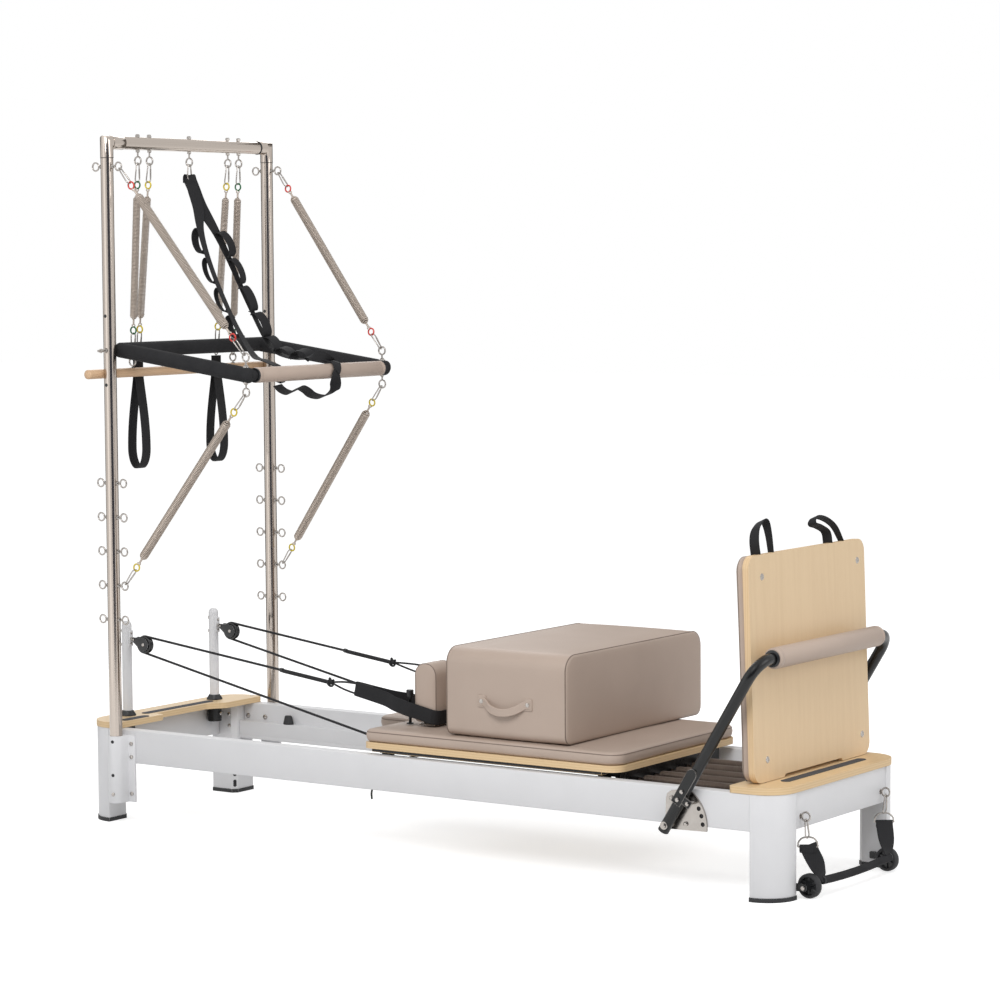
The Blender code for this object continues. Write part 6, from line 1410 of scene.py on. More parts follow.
ropeSize = {"radius": 0.0036, "wrap": 0.0042, "knotAt": {-1.0: 0.092, 1.0: 0.165}, "knot": 0.0080,
            "doubled": 0.182, "doubledRadius": 0.0060, "cord": 0.0029, "band": 0.042, "tape": 0.003,
            "strapLength": 0.290, "strapHeight": 0.387, "tilt": 12.0, "restY": 0.162, "spread": 0.038,
            "spreadFrom": 0.050, "cleat": (-0.1729, 0.304), "sleeve": (-0.286, -0.262, -0.236),
            "sleeveThickness": 0.0125}


def strapPlace(side):
    tilt = Matrix.Rotation(math.radians(ropeSize["tilt"]), 4, "Y")
    return Matrix.Translation((0.0, side * ropeSize["restY"], ropeSize["strapHeight"])) @ tilt


def strapPoint(side, x, across=0.0, rise=0.0):
    # a point of the strap's own plane; the strap runs outward from the shoulder rest to its pulley
    start, end = ropeSize["spreadFrom"], ropeSize["strapLength"]
    share = min(1.0, max(0.0, (-start - x) / (end - start)))
    return strapPlace(side) @ Vector((x, across + side * ropeSize["spread"] * share, rise))


def ropePath(side):
    # from the strap's tip over the sheave and back to the cleat at the carriage's head end
    tip = strapPoint(side, -ropeSize["strapLength"] - 0.0003)
    cleatX, cleatZ = ropeSize["cleat"]
    cleat = Vector((cleatX, side * riserSize["y"], cleatZ))
    wrap = pulleySize["groove"] + ropeSize["wrap"]
    middle = Vector((pulleySize["x"], side * riserSize["y"], pulleySize["height"]))

    def tangent(point, way):
        gapX, gapZ = point.x - middle.x, point.z - middle.z
        return math.atan2(gapZ, gapX) + way * math.acos(wrap / math.hypot(gapX, gapZ))

    leave, arrive = math.degrees(tangent(tip, 1)), math.degrees(tangent(cleat, -1) + math.tau)
    turned = [Vector((x, middle.y, z)) for x, z in arc((middle.x, middle.z), wrap, leave, arrive, 20)]
    upper = [tip.lerp(turned[0], k / 40) for k in range(40)]
    return upper, turned + [turned[-1].lerp(cleat, k / 40) for k in range(1, 41)]


def addKnot(piece, centre, along, radius):
    # a folded overhand knot: three turns that cross each other round the rope
    along = Vector(along).normalized()
    first = along.cross(up).normalized()
    second = along.cross(first)
    points = []
    for k in range(54):
        t = math.tau * k / 54
        reach = radius * (1.0 + 0.45 * math.cos(3 * t))
        points.append(centre + first * reach * math.cos(2 * t) * 0.62 + second * reach * math.sin(2 * t)
                      + along * radius * 0.9 * math.sin(3 * t))
    addTube(piece, points, ropeSize["radius"] * 0.95, braid, 8, closed=True)


def strapLine(side):
    # round the shoulder rest's end and sides, then together toward the tip
    restX, thick, half, corner = -0.0315, 0.073, 0.0545, 0.021
    endX, backX, tipX = restX + thick / 2 + 0.0075, restX - thick / 2 - 0.010, -ropeSize["strapLength"]
    line = arc((endX - corner, half - corner), corner, 0, 90, 8)
    line += [(backX + 0.02, half), (backX - 0.005, half * 0.985), (backX - 0.060, half * 0.73),
             (tipX + 0.110, half * 0.34), (tipX + 0.050, half * 0.17), (tipX + 0.004, 0.0042)]
    line += [(x, -y) for x, y in reversed(line)]
    return [strapPoint(side, x, y) for x, y in line]


def addHookPost(piece, side):
    # the short headed rod behind the shoulder rest
    tall, thin, head = hookPost["height"], hookPost["radius"], hookPost["head"]
    under = tall - hookPost["headHeight"]
    shape = [(0, tall), (head - 0.001, tall), (head, tall - 0.001), (head, under), (thin, under), (thin, 0.004),
             (head, 0.003), (head, 0.0), (0, 0.0)]
    addTurned(piece, shape, (hookPost["x"], side * hookPost["y"], padTop + 0.0003), up, blackSteel, 24)


def buildRopes():
    size = ropeSize
    for side in sides:
        name = sideNames[side]
        upper, rest = ropePath(side)
        tip, knotAt, thick = upper[0], size["knotAt"][side], size["doubledRadius"]
        along = (upper[-1] - tip).normalized()
        knot = tip + along * knotAt
        far = knot + along * size["doubled"]
        piece = newPiece()
        path = [knot] + [p for p in upper if (p - tip).length > knotAt + 0.001] + rest
        addTube(piece, path, size["radius"], braid, 12)
        doubled = [knot.lerp(far, k / 24) - up * 0.0012 for k in range(25)]
        addTube(piece, doubled, [0.004] + [thick] * 23 + [0.004], braid, 12)
        ferrule = [far + along * t for t in (-0.006, 0.002, 0.007)]
        addTube(piece, ferrule, [thick + 0.0006, thick + 0.0008, 0.0042], blackNylon, 14)
        finishBlend(name + "Rope", piece,
                    (name + "_rope",))
        piece = newPiece()
        normal = strapPlace(side).to_3x3() @ up
        line = smoothPath(strapLine(side), 3, closed=True)
        addRibbon(piece, line, [normal], size["band"], size["tape"], webbing, closed=True)
        sleeve = [strapPoint(side, x) for x in size["sleeve"]]
        addRibbon(piece, sleeve, [normal], size["band"] * 0.94, size["sleeveThickness"], webbing,
                  roundness=0.004)
        addKnot(piece, knot, along, size["knot"])
        addHookPost(piece, side)
        for way in sides:
            tipCorner = Vector((0.004 - size["strapLength"], side * size["spread"], way * size["band"] * 0.36))
            corner = strapPlace(side) @ tipCorner
            cord = [knot, knot.lerp(corner, 0.5) + up * way * 0.003, corner, corner - along * 0.010]
            addTube(piece, smoothPath(cord, 6), size["cord"], braid, 10)
        for way in sides:
            row = [strapPoint(side, x, -side * 0.0066, way * size["band"] * 0.40) for x in (-0.282, -0.240)]
            addStitches(piece, row, webbing, 0.005, 0.0036, 0.0006)
        finishPiece(name + "FootStrap", piece, "carriage", (name + "_foot_strap",))


# carriage: board, pad, shoulder rests, headrest, wheels

carriageSize = {"head": -0.165, "foot": 0.690, "width": 0.650, "bottom": 0.300, "wood": 0.018, "corner": 0.045,
                "headCorner": 0.018, "pad": 0.036, "crown": 0.004, "inset": 0.002, "gap": 0.0003,
                "notchX": -0.053, "notchHalf": 0.105, "underFrameShadeFrom": 0.006, "underFrameShadeTo": 0.040, "underFrameShadeDrop": 0.0095}
restSize = {"x": -0.0315, "y": 0.162, "thick": 0.073, "width": 0.094, "height": 0.168, "base": 0.0135}
hookPost = {"x": -0.096, "y": 0.193, "height": 0.098, "radius": 0.0045, "head": 0.0105, "headHeight": 0.020}
headrestSize = {"tip": -0.287, "length": 0.212, "width": 0.202, "board": 0.013, "boardInset": 0.006}
boardTop = carriageSize["bottom"] + carriageSize["wood"]
padTop = boardTop + carriageSize["gap"] + carriageSize["pad"] + carriageSize["crown"]
piping = 0.0016


def cutPiece(piece, cutter):
    # takes the cutter's shape out of a piece and keeps each face's finish
    objects = []
    for shape in (piece, cutter):
        mesh = bpy.data.meshes.new("cutting")
        shape["mesh"].to_mesh(mesh)
        for finish in piece["finishes"]:
            mesh.materials.append(finish)
        objects.append(addObject("cutting", mesh))
    saw = objects[0].modifiers.new("saw", "BOOLEAN")
    saw.operation = "DIFFERENCE"
    saw.solver = "EXACT"
    saw.object = objects[1]
    bpy.context.view_layer.update()
    mesh = bpy.data.meshes.new_from_object(objects[0].evaluated_get(bpy.context.evaluated_depsgraph_get()))
    piece["mesh"].clear()
    piece["mesh"].from_mesh(mesh)
    for made in objects:
        bpy.data.objects.remove(made, do_unlink=True)


def addPiping(piece, outline, place, shrink, level, radius=piping):
    # a corded seam just inside a cushion's outline, in the vinyl painted darker as seam shade
    seam = [place @ Vector((x * shrink[0], y * shrink[1], level)) for x, y in outline]
    addTube(piece, seam, radius, vinylSeamShaded, 8, closed=True)


def buildCarriage():
    size = carriageSize
    head, foot, half = size["head"], size["foot"], size["width"] / 2
    corner, small, notch, wide = size["corner"], size["headCorner"], size["notchX"], size["notchHalf"]
    farSide = arc((foot - corner, half - corner), corner, 0, 90, 12)
    farSide += arc((head + small, half - small), small, 90, 180, 8) + [(head, wide), (notch, wide)]
    piece = newPiece()
    loop = farSide + [(x, -y) for x, y in reversed(farSide)]
    addPlate(piece, [loop], flatPlace, size["bottom"], boardTop, birchFace, 0.0014, 2, birchEdge)
    # dark strips under the board's long edges: the carriage's black under-frame carried the whole length, and
    # painted shade in the gap above the rails
    for side in sides:
        near, far = sorted(side * (half - inward) for inward in (size["underFrameShadeFrom"], size["underFrameShadeTo"]))
        addBox(piece, (head + 0.025, near, size["bottom"] - size["underFrameShadeDrop"]),
               (foot - 0.055, far, size["bottom"] + 0.0002), blackRubber, 0.0010)
    finishPiece("carriageBoard", piece, "carriage", ("carriage_board",), 20)
    piece = newPiece()
    middle = Vector(((head + foot) / 2, 0, boardTop + size["gap"]))
    form = {"size": (foot - head - 2 * size["inset"], size["width"] - 2 * size["inset"], size["pad"]),
            "corners": (corner, small, small, corner), "edge": 0.010, "crown": size["crown"], "drawIn": 0.0025,
            "belly": 0.0012, "ripple": 0.0010}
    outline = addCushion(piece, form, Matrix.Translation(middle), vinyl)
    cutter = newPiece()
    opening = roundedLoop((head - 0.05, -wide), (notch, wide), (0.006, 0.0001, 0.0001, 0.006), 4)
    addPlate(cutter, [opening], flatPlace, boardTop - 0.02, padTop + 0.05, vinyl)
    cutPiece(piece, cutter)
    # the seam is open where the headrest's notch cuts through it
    seam = [Vector((middle.x + x * 0.9972, y * 0.9963, boardTop + size["pad"] * 0.80)) for x, y in outline]
    seam = [p for p in seam if not (p.x < notch and abs(p.y) < wide + 0.002)]
    split = max(range(len(seam)), key=lambda i: (seam[i] - seam[i - 1]).length)
    # the piping is in the seam vinyl, painted darker as shade along the seam
    addTube(piece, seam[split:] + seam[:split], piping, vinylSeamShaded, 8)
    made = finishPiece("carriagePad", piece, "carriage", ("carriage_pad",), 50)


def buildShoulderRests():
    size = restSize
    inner, top = size["width"], size["thick"] / 2 - 0.002
    form = {"size": (size["thick"], size["height"], inner), "corners": (top, top, 0.012, 0.012), "edge": 0.006,
            "crown": 0.004, "under": 0.004, "belly": 0.0008, "ripple": 0.0006}
    for side in sides:
        piece = newPiece()
        foot = Vector((size["x"], side * size["y"], padTop))
        middle = foot + Vector((0, inner / 2, size["base"] - 0.002 + size["height"] / 2))
        place = axesPlace(middle, lengthwise, up, -sideways)
        outline = addCushion(piece, form, place, vinyl)
        for level in (0.0035, inner - 0.0035):
            addPiping(piece, outline, place, (0.975, 0.99), level)
        # steel foot: a thin flange screwed to the board and a narrower block that carries the rest
        low, high = foot + Vector((-0.027, -0.040, 0.0003)), foot + Vector((0.027, 0.040, 0.0045))
        addBox(piece, low, high, blackSteel, 0.0012)
        low, high = foot + Vector((-0.020, -0.028, 0.004)), foot + Vector((0.020, 0.028, size["base"] + 0.004))
        addBox(piece, low, high, blackSteel, 0.0015)
        spots = [(foot + Vector((u, v, 0.0042)), up) for u in (-0.0235, 0.0235) for v in (-0.03, 0.03)]
        addBolts(piece, spots, 0.0028, 0.0016, brightZinc, 14)
        name = sideNames[side] + "ShoulderRest"
        made = finishPiece(name, piece, "carriage", (sideNames[side] + "_shoulder_rest",), 50)


def buildHeadrest():
    size, thick = headrestSize, carriageSize["pad"]
    place = Matrix.Translation((size["tip"] + size["length"] / 2, 0, boardTop + carriageSize["gap"]))
    form = {"size": (size["length"], size["width"], thick), "corners": (0.020, 0.042, 0.042, 0.020),
            "edge": 0.010, "crown": carriageSize["crown"], "drawIn": 0.001, "belly": 0.001, "ripple": 0.0008}
    piece = newPiece()
    outline = addCushion(piece, form, place, vinyl)
    addPiping(piece, outline, place, (0.992, 0.992), thick * 0.80)
    inset, half = size["boardInset"], size["width"] / 2 - size["boardInset"]
    low, high = (size["tip"] + inset, -half), (size["tip"] + size["length"], half)
    loop = roundedLoop(low, high, (0.004, 0.036, 0.036, 0.004), 8)
    bottom, top = boardTop - size["board"], boardTop + 0.0012
    addPlate(piece, [loop], flatPlace, bottom, top, birchFace, 0.001, 2, birchEdge)
    made = finishPiece("headrestPad", piece, "headrest", ("headrest",), 50)


wheelSize = {"radius": 0.023, "width": 0.018, "offset": 0.291, "z": 0.2533, "axle": 0.004, "hub": 0.0125,
             "headX": -0.122, "footX": 0.610}


def buildCarriageWheels():
    size = wheelSize
    half, r, hubRadius = size["width"] / 2, size["radius"], size["hub"]
    tyre = [(0.012, half), (r - 0.0015, half), (r, half - 0.0015), (r, 0.0015 - half), (r - 0.0015, -half),
            (0.012, -half)]
    hub = [(0.0, half - 0.001), (hubRadius, half - 0.001), (hubRadius, 0.001 - half), (0.0, 0.001 - half)]
    for name in ("head", "foot"):
        piece = newPiece()
        middle, reach = Vector((size[name + "X"], 0, size["z"])), sideways * size["offset"]
        addRod(piece, middle - reach, middle + reach, size["axle"], brightZinc, 20)
        for side in sides:
            addTurned(piece, tyre, middle + reach * side, sideways, blackRubber, 36, closed=True)
            addTurned(piece, hub, middle + reach * side, sideways, powderCoat, 28)
        finishPiece(name + "CarriageWheels", piece, name + "_wheels", (name + "_wheels",))


springBankSize = {"count": 5, "pitch": 0.085, "radius": 0.0112, "wire": 0.0026, "neck": 0.016, "dome": 0.012,
                  "start": 0.6603, "end": 1.0747, "height": 0.262, "barHalf": 0.003, "barPast": 0.010}


def buildCarriageSprings():
    size = springBankSize
    outermost, height = (size["count"] - 1) / 2 * size["pitch"], size["height"]
    piece = newPiece()
    for k in range(size["count"]):
        y = k * size["pitch"] - outermost
        start, end = (size["start"] + 0.001, y, height), (size["end"] - 0.001, y, height)
        # the springs under the carriage take the wire painted darker, as painted shade
        addSpring(piece, start, end, size, springWireShaded)
    middle = Vector((size["end"] - 0.004, 0, height))
    reach = Vector((size["barHalf"], outermost + size["barPast"], size["barHalf"]))
    addBox(piece, middle - reach, middle + reach, blackSteel, 0.0006)
    finishBlend("carriageSpringSet", piece,
                ("carriage_springs",), 65)


buildRopes()
buildCarriage()
buildShoulderRests()
buildHeadrest()
buildCarriageWheels()
buildCarriageSprings()
print("carriage, ropes and springs done")


# sitting box

boxSize = {"x": 0.311, "y": 0.055, "length": 0.720, "width": 0.416, "height": 0.246, "crown": 0.006,
           "corners": (0.045, 0.045, 0.025, 0.025), "edge": 0.007, "pipingIn": 0.0006, "pipingAt": 0.0045}
handleSize = {"width": 0.022, "tape": 0.0045, "standOff": 0.0006, "share": 0.42, "tabX": 0.077,
              "tabWidth": 0.027, "tabHeight": 0.033, "rivet": 0.0062,
              "shape": ((-0.085, 0.0, 0.0), (-0.069, 0.0012, 0.001), (-0.058, 0.006, 0.007),
                        (-0.042, 0.014, 0.016), (-0.022, 0.0185, 0.0225), (0.0, 0.0200, 0.0245))}


def addBoxHandle(piece, side, level):
    # a padded strip that bows out from the box's end, sewn along both edges, with a riveted tab at each end
    size = handleSize
    out, half = sideways * side, size["tape"] / 2
    face = boxSize["y"] + side * (boxSize["length"] / 2 + half + size["standOff"])
    middle = Vector((boxSize["x"], face, level))
    bowed = [(x, depth, drop) for x, depth, drop in size["shape"]]
    bowed += [(-x, depth, drop) for x, depth, drop in reversed(bowed[:-1])]
    path = smoothPath([middle + Vector((x, side * depth, -drop)) for x, depth, drop in bowed], 5)
    addRibbon(piece, path, [up], size["width"], size["tape"], vinyl, roundness=0.0012)
    for edge in sides:
        row = [p + up * edge * size["width"] * 0.36 + out * (half + 0.0001) for p in path]
        addStitches(piece, row, sewingThread, 0.006, 0.0042, 0.0006)
    tabs = [middle + lengthwise * way * size["tabX"] for way in sides]
    addBolts(piece, [(tab + out * (half - 0.0002), out) for tab in tabs], size["rivet"], 0.0018, brightZinc, 20)
    reach = Vector((size["tabWidth"] / 2, half - 0.0010, size["tabHeight"] / 2))
    for tab in tabs:
        addBox(piece, tab - reach, tab + reach, vinyl, 0.0008)
        seam = [tab + Vector((u * (reach.x - 0.003), side * (reach.y + 0.0002), v * (reach.z - 0.003)))
                for u, v in ((-1, -1), (1, -1), (1, 1), (-1, 1))]
        addStitches(piece, seam, sewingThread, 0.005, 0.0035, 0.0005, closed=True)


def buildSittingBox():
    size = boxSize
    low, inner = padTop + 0.0003, size["width"] - 2 * size["crown"]
    middle = Vector((size["x"] - inner / 2, size["y"], low + size["height"] / 2))
    place = axesPlace(middle, sideways, up, lengthwise)
    form = {"size": (size["length"], size["height"], inner), "corners": size["corners"], "edge": size["edge"],
            "crown": size["crown"], "under": size["crown"], "belly": 0.0014, "ripple": 0.0009}
    piece = newPiece()
    outline = addCushion(piece, form, place, vinyl)
    shrink = [(span - 2 * size["pipingIn"]) / span for span in (size["length"], size["height"])]
    for level in (size["pipingAt"], inner - size["pipingAt"]):
        addPiping(piece, outline, place, shrink, level, 0.0017)
    made = finishPiece("sittingBox", piece, "sitting_box", ("sitting_box",), 50)
    for side in sides:
        piece = newPiece()
        addBoxHandle(piece, side, low + size["height"] * handleSize["share"])
        name = sideNames[side]
        finishPiece(name + "BoxHandle", piece, "sitting_box", (name + "_box_handle",))


# foot bar, its plates and latch

footbarSize = {"pivotX": 0.872, "pivotZ": 0.186, "tube": 0.0155, "topX": 1.150, "topZ": 0.640, "bend": 0.060,
               "tail": 0.020, "y": 0.3704, "grip": 0.0285, "gripLength": 0.586, "plate": 0.006,
               "plateRadius": 0.112, "plateGap": 0.0003, "holeCircle": 0.100, "hole": 0.006,
               "holes": (41.0, 29.0, 17.0, 4.0), "plateBolts": ((0.020, 0.045), (0.048, 0.004), (0.004, 0.070)),
               "latch": 0.0055, "lever": 0.004, "leverWidth": 0.030, "leverAt": 0.125, "armAt": 0.097,
               "armHalf": 0.011}
footbarPivot = Vector((footbarSize["pivotX"], 0, footbarSize["pivotZ"]))
footbarTop = Vector((footbarSize["topX"], 0, footbarSize["topZ"]))
footbarAlong = (footbarTop - footbarPivot).normalized()
footbarLength = (footbarTop - footbarPivot).length


def footbarPoint(distance, side):
    return footbarPivot + footbarAlong * distance + sideways * side * footbarSize["y"]


def holePlace(index):
    turn = math.radians(footbarSize["holes"][index])
    return footbarPivot + footbarSize["holeCircle"] * Vector((math.cos(turn), 0, math.sin(turn)))


def buildFootBar():
    size = footbarSize
    piece = newPiece()
    path = [footbarPoint(-size["tail"], -1), footbarPoint(0.10, -1)]
    for side in sides:
        inward = -sideways * side
        centre = footbarPoint(footbarLength, side) + (inward - footbarAlong) * size["bend"]
        turns = [footbarAlong * math.sin(a) - inward * math.cos(a) for a in quarter(12)]
        bend = [centre + turn * size["bend"] for turn in turns]
        path += bend if side < 0 else list(reversed(bend))
    path += [footbarPoint(0.10, 1), footbarPoint(-size["tail"], 1)]
    addTube(piece, path, size["tube"], blackSteel, 28)
    plug = [(0, 0.0022), (0.011, 0.0020), (0.0145, 0.0008), (0.0152, -0.001), (0, -0.001)]
    washer = [(0, 0.0022), (0.0105, 0.0022), (0.0112, 0.0014), (0.0112, 0.0), (0, 0.0)]
    for side in sides:
        addTurned(piece, plug, footbarPoint(-size["tail"], side), -footbarAlong, blackNylon, 28)
        out = sideways * side
        hub = footbarPivot + out * (size["y"] + size["tube"] - 0.0006)
        addTurned(piece, washer, hub, out, brightZinc, 28)
        addBolts(piece, [(hub + out * 0.0016, out)], 0.0072, 0.0034, brightZinc)
    finishPiece("footBarTube", piece, "footbar", ("footbar_tube",))
    piece = newPiece()
    half, radius, bore = size["gripLength"] / 2, size["grip"], size["tube"] + 0.0009
    sleeve = [(bore, half), (radius - 0.007, half), (radius - 0.0025, half - 0.0015),
              (radius - 0.0006, half - 0.005), (radius, half - 0.009), (radius, half - 0.016),
              (radius - 0.0010, half - 0.0174), (radius, half - 0.0188)]
    sleeve += [(r, -h) for r, h in reversed(sleeve)]
    addTurned(piece, sleeve, footbarTop, sideways, vinyl, 48, closed=True)
    ring = [(bore, 0.0045), (radius * 0.72, 0.0045), (radius * 0.80, 0.0030), (radius * 0.80, -0.001),
            (bore, -0.001)]
    for side in sides:
        addTurned(piece, ring, footbarTop + sideways * side * half, (0, side, 0), blackNylon, 36, closed=True)
    hidden = footbarAlong.cross(sideways).normalized() * radius * 0.995
    seam = [footbarTop + hidden + sideways * t for t in (-half + 0.020, half - 0.020)]
    addStitches(piece, seam, sewingThread, 0.0075, 0.0052, 0.0007)
    made = finishPiece("footBarGrip", piece, "footbar", ("footbar_grip",))


def buildFootBarPlates():
    # quadrant plates that the foot bar turns on, each with a row of holes for the latch
    size = footbarSize
    x, z = size["pivotX"], size["pivotZ"]
    loop = arc((x, z), size["plateRadius"], -6, 62, 24)
    loop += [(x + 0.002, z + 0.090), (x - 0.010, z + 0.082), (x - 0.014, z + 0.070), (x - 0.016, z - 0.002),
             (x - 0.012, z - 0.010), (x - 0.002, z - 0.014)]
    spots = [holePlace(k) for k in range(len(size["holes"]))]
    holes = [circleLoop(spot.x, spot.z, size["hole"], 24) for spot in spots]
    for side in sides:
        piece = newPiece()
        out = sideways * side
        face = frameSize["halfWidth"] + size["plateGap"]
        outer = face + size["plate"]
        near, far = sorted((side * face, side * outer))
        addPlate(piece, [loop] + holes, sidePlace, near, far, brightZinc, 0.0008)
        # a black disc at the back of each hole: painted shade inside the hole
        for spot in spots:
            start, end = spot + out * face, spot + out * (face + 0.0012)
            addRod(piece, start, end, size["hole"] + 0.0004, blackRubber, 24)
        inner, outside = out * (outer - 0.001), out * (size["y"] - size["tube"] - 0.0003)
        addRod(piece, footbarPivot + inner, footbarPivot + outside, 0.010, brightZinc, 28, 0.0004)
        seat = footbarPivot + out * (outer - 0.0004)
        bolts = [(seat + Vector((u, 0, v)), out) for u, v in size["plateBolts"]]
        addBolts(piece, bolts, 0.0062, 0.004, brightZinc)
        name = sideNames[side]
        finishPiece(name + "FootBarPlate", piece, "base_frame", (name + "_footbar_plate",), 20)


def buildLatch():
    # plunger in the plate's first hole, on a lever fixed to the near arm
    size = footbarSize
    piece = newPiece()
    outside = -(size["y"] + size["tube"]) - 0.0006
    pin = holePlace(0)
    start = -(frameSize["halfWidth"] + size["plateGap"]) - size["plate"] - 0.0003
    addRod(piece, (pin.x, start, pin.z), (pin.x, outside - 0.002, pin.z), size["latch"], brightZinc, 24, 0.0005)
    across = Vector((-footbarAlong.z, 0, footbarAlong.x))
    middle = footbarPivot + footbarAlong * size["leverAt"]
    wide = size["leverWidth"] / 2
    shape = [(-0.052, -wide), (0.036, -wide)] + arc((0.044, 0.0), wide, -90, 90, 12)
    shape += [(0.036, wide), (-0.052, wide)]
    places = [middle + footbarAlong * u + across * v for u, v in shape]
    lever = [(p.x, p.z) for p in places]
    addPlate(piece, [lever], sidePlace, outside - size["lever"], outside, blackSteel, 0.0010)
    root = footbarPivot + footbarAlong * size["armAt"]
    reach = (pin - root).normalized()
    step = Vector((-reach.z, 0, reach.x)) * size["armHalf"]
    tip = pin + reach * size["armHalf"]
    arm = [(p.x, p.z) for p in (root - step, tip - step, tip + step, root + step)]
    armFace = outside - size["lever"] * 0.8
    addPlate(piece, [arm], sidePlace, armFace, outside - 0.0005, blackSteel, 0.0008)
    spots = [middle + footbarAlong * u + sideways * (outside - size["lever"]) for u in (-0.038, -0.012)]
    spots.append((pin.x, armFace, pin.z))
    addBolts(piece, [(spot, -sideways) for spot in spots], 0.0058, 0.0036, brightZinc, 16)
    finishPiece("footBarLatch", piece, "footbar_latch", ("footbar_latch",), 20)


# jump board

jumpSize = {"width": 0.644, "shift": 0.008, "height": 0.602, "lean": 2.0, "footX": 1.109, "corner": 0.035,
            "wood": 0.018, "pad": 0.0235, "padInset": 0.003, "crown": 0.002, "notch": 0.328, "notchRise": 0.008,
            "peg": 0.006, "pegY": 0.250, "pegTop": 0.010, "tape": 0.030,
            "screws": ((-0.251, 0.058), (0.280, 0.058), (-0.251, 0.543), (0.280, 0.543)),
            "carryLoops": (((-0.246, -0.004), (-0.252, 0.036), (-0.243, 0.066), (-0.212, 0.086),
                            (-0.190, 0.080), (-0.175, 0.046), (-0.165, -0.004)),
                           ((0.150, -0.004), (0.140, 0.030), (0.100, 0.048), (0.066, 0.058), (0.078, 0.075),
                            (0.130, 0.068), (0.186, 0.042), (0.228, -0.004)))}


def jumpPlace():
    lean = Matrix.Rotation(math.radians(-jumpSize["lean"]), 4, "Y")
    return Matrix.Translation((jumpSize["footX"], jumpSize["shift"], platformTop + 0.0015)) @ lean


def addCarryLoop(piece, place, shape):
    # tape that leaves the board's top edge, leans over and comes back
    size = jumpSize
    stops = [place @ Vector((-size["tape"] / 2, y - size["shift"], size["height"] + z)) for y, z in shape]
    path = smoothPath(stops, 8)
    turns = []
    for k in range(len(path)):
        share = k / (len(path) - 1)
        turns.append(Vector((1.0, 0.35 - 0.85 * share, 0.45 * math.sin(math.pi * share))).normalized())
    addRibbon(piece, path, turns, size["tape"] - 0.003, 0.0028, webbing)


def buildJumpBoard():
    size, place = jumpSize, jumpPlace()
    half, corner, tall = size["width"] / 2, size["corner"], size["height"]
    notch, rise, wood = size["notch"] / 2, size["notchRise"], size["wood"]
    loop = arc((half - corner, tall - corner), corner, 0, 90, 12)
    loop += arc((corner - half, tall - corner), corner, 90, 180, 12)
    loop += arc((corner - half, corner), corner, 180, 270, 12)
    loop += [(-notch, 0.0), (-notch + rise, rise), (notch - rise, rise), (notch, 0.0)]
    loop += arc((half - corner, corner), corner, 270, 360, 12)
    piece = newPiece()
    addPlate(piece, [loop], place @ crossPlace, -wood, 0.0, birchUpright, 0.0016, 2, birchEdgeUpright)
    out = (place.to_3x3() @ lengthwise).normalized()
    for side in sides:
        y = side * size["pegY"] - size["shift"]
        low, high = (place @ Vector((-wood / 2, y, z)) for z in (-wood, size["pegTop"]))
        addRod(piece, low, high, size["peg"], brightZinc, 20)
    screw = [(0, 0.0010), (0.0042, 0.0010), (0.0046, 0.0016), (0.0085, 0.0012), (0.0098, 0.0), (0, 0)]
    for y, z in size["screws"]:
        addTurned(piece, screw, place @ Vector((0, y, z)) - out * 0.0003, out, brightZinc, 28)
    for shape in size["carryLoops"]:
        addCarryLoop(piece, place, shape)
    finishPiece("jumpBoard", piece, "jump_board", ("jump_board",), 20)
    piece = newPiece()
    inset = 2 * size["padInset"]
    form = {"size": (size["width"] - inset, tall - inset, size["pad"]), "corners": (corner,) * 4, "edge": 0.009,
            "crown": size["crown"], "drawIn": 0.002, "belly": 0.0008, "ripple": 0.0008}
    spot = place @ axesPlace(Vector((-wood - 0.0003, 0, tall / 2)), sideways, up, lengthwise)
    spot = spot @ Matrix.Rotation(math.pi, 4, "X")
    outline = addCushion(piece, form, spot, vinyl)
    addPiping(piece, outline, spot, (0.996, 0.996), size["pad"] * 0.74, 0.0015)
    made = finishPiece("jumpBoardPad", piece, "jump_board", ("jump_pad",), 50)


# transport wheels and the foot handle

gripSize = {"x": 1.243, "z": 0.046, "radius": 0.011, "length": 0.380, "sag": 0.006, "clip": 0.052,
            "ringDrop": 0.026, "ringWire": 0.0024, "strap": 0.046, "tape": 0.004, "ring": 0.0255,
            "pulled": 0.010, "eyeX": 1.201, "seamHalf": 0.017}


def buildTransportWheels():
    size = legFittings
    half, radius, web = size["wheelWidth"] / 2, size["wheelRadius"], size["wheelRadius"] * 0.74
    tyre = [(radius * 0.72, half - 0.002), (radius - 0.007, half), (radius - 0.003, half - 0.001),
            (radius, half - 0.006)]
    hub = [(0.0043, half), (0.008, half), (0.009, half - 0.002)]
    disc = [(0.008, 0.0022), (web, 0.0022)]
    tyre, hub, disc = (upper + [(r, -h) for r, h in reversed(upper)] for upper in (tyre, hub, disc))
    spoke = [(0.007, -0.0032), (web, -0.0026), (web, 0.0026), (0.007, 0.0032)]
    for side in sides:
        piece = newPiece()
        place = Vector((size["wheelX"], side * size["wheelOffset"], size["wheelHeight"]))
        addTurned(piece, tyre, place, sideways, blackRubber, 48, closed=True)
        addTurned(piece, hub, place, sideways, blackNylon, 28, closed=True)
        for k in range(6):
            turn = math.tau * (k + 0.5) / 6
            way = Vector((math.cos(turn), 0, math.sin(turn)))
            spokePlace = axesPlace(place, way, way.cross(sideways), sideways)
            addPlate(piece, [spoke], spokePlace, -half * 0.55, half * 0.55, blackNylon, 0.0005)
        addTurned(piece, disc, place, sideways, blackNylon, 36, closed=True)
        name, body = sideNames[side] + "TransportWheel", sideNames[side] + "_transport_wheel"
        finishPiece(name, piece, body, (body,))


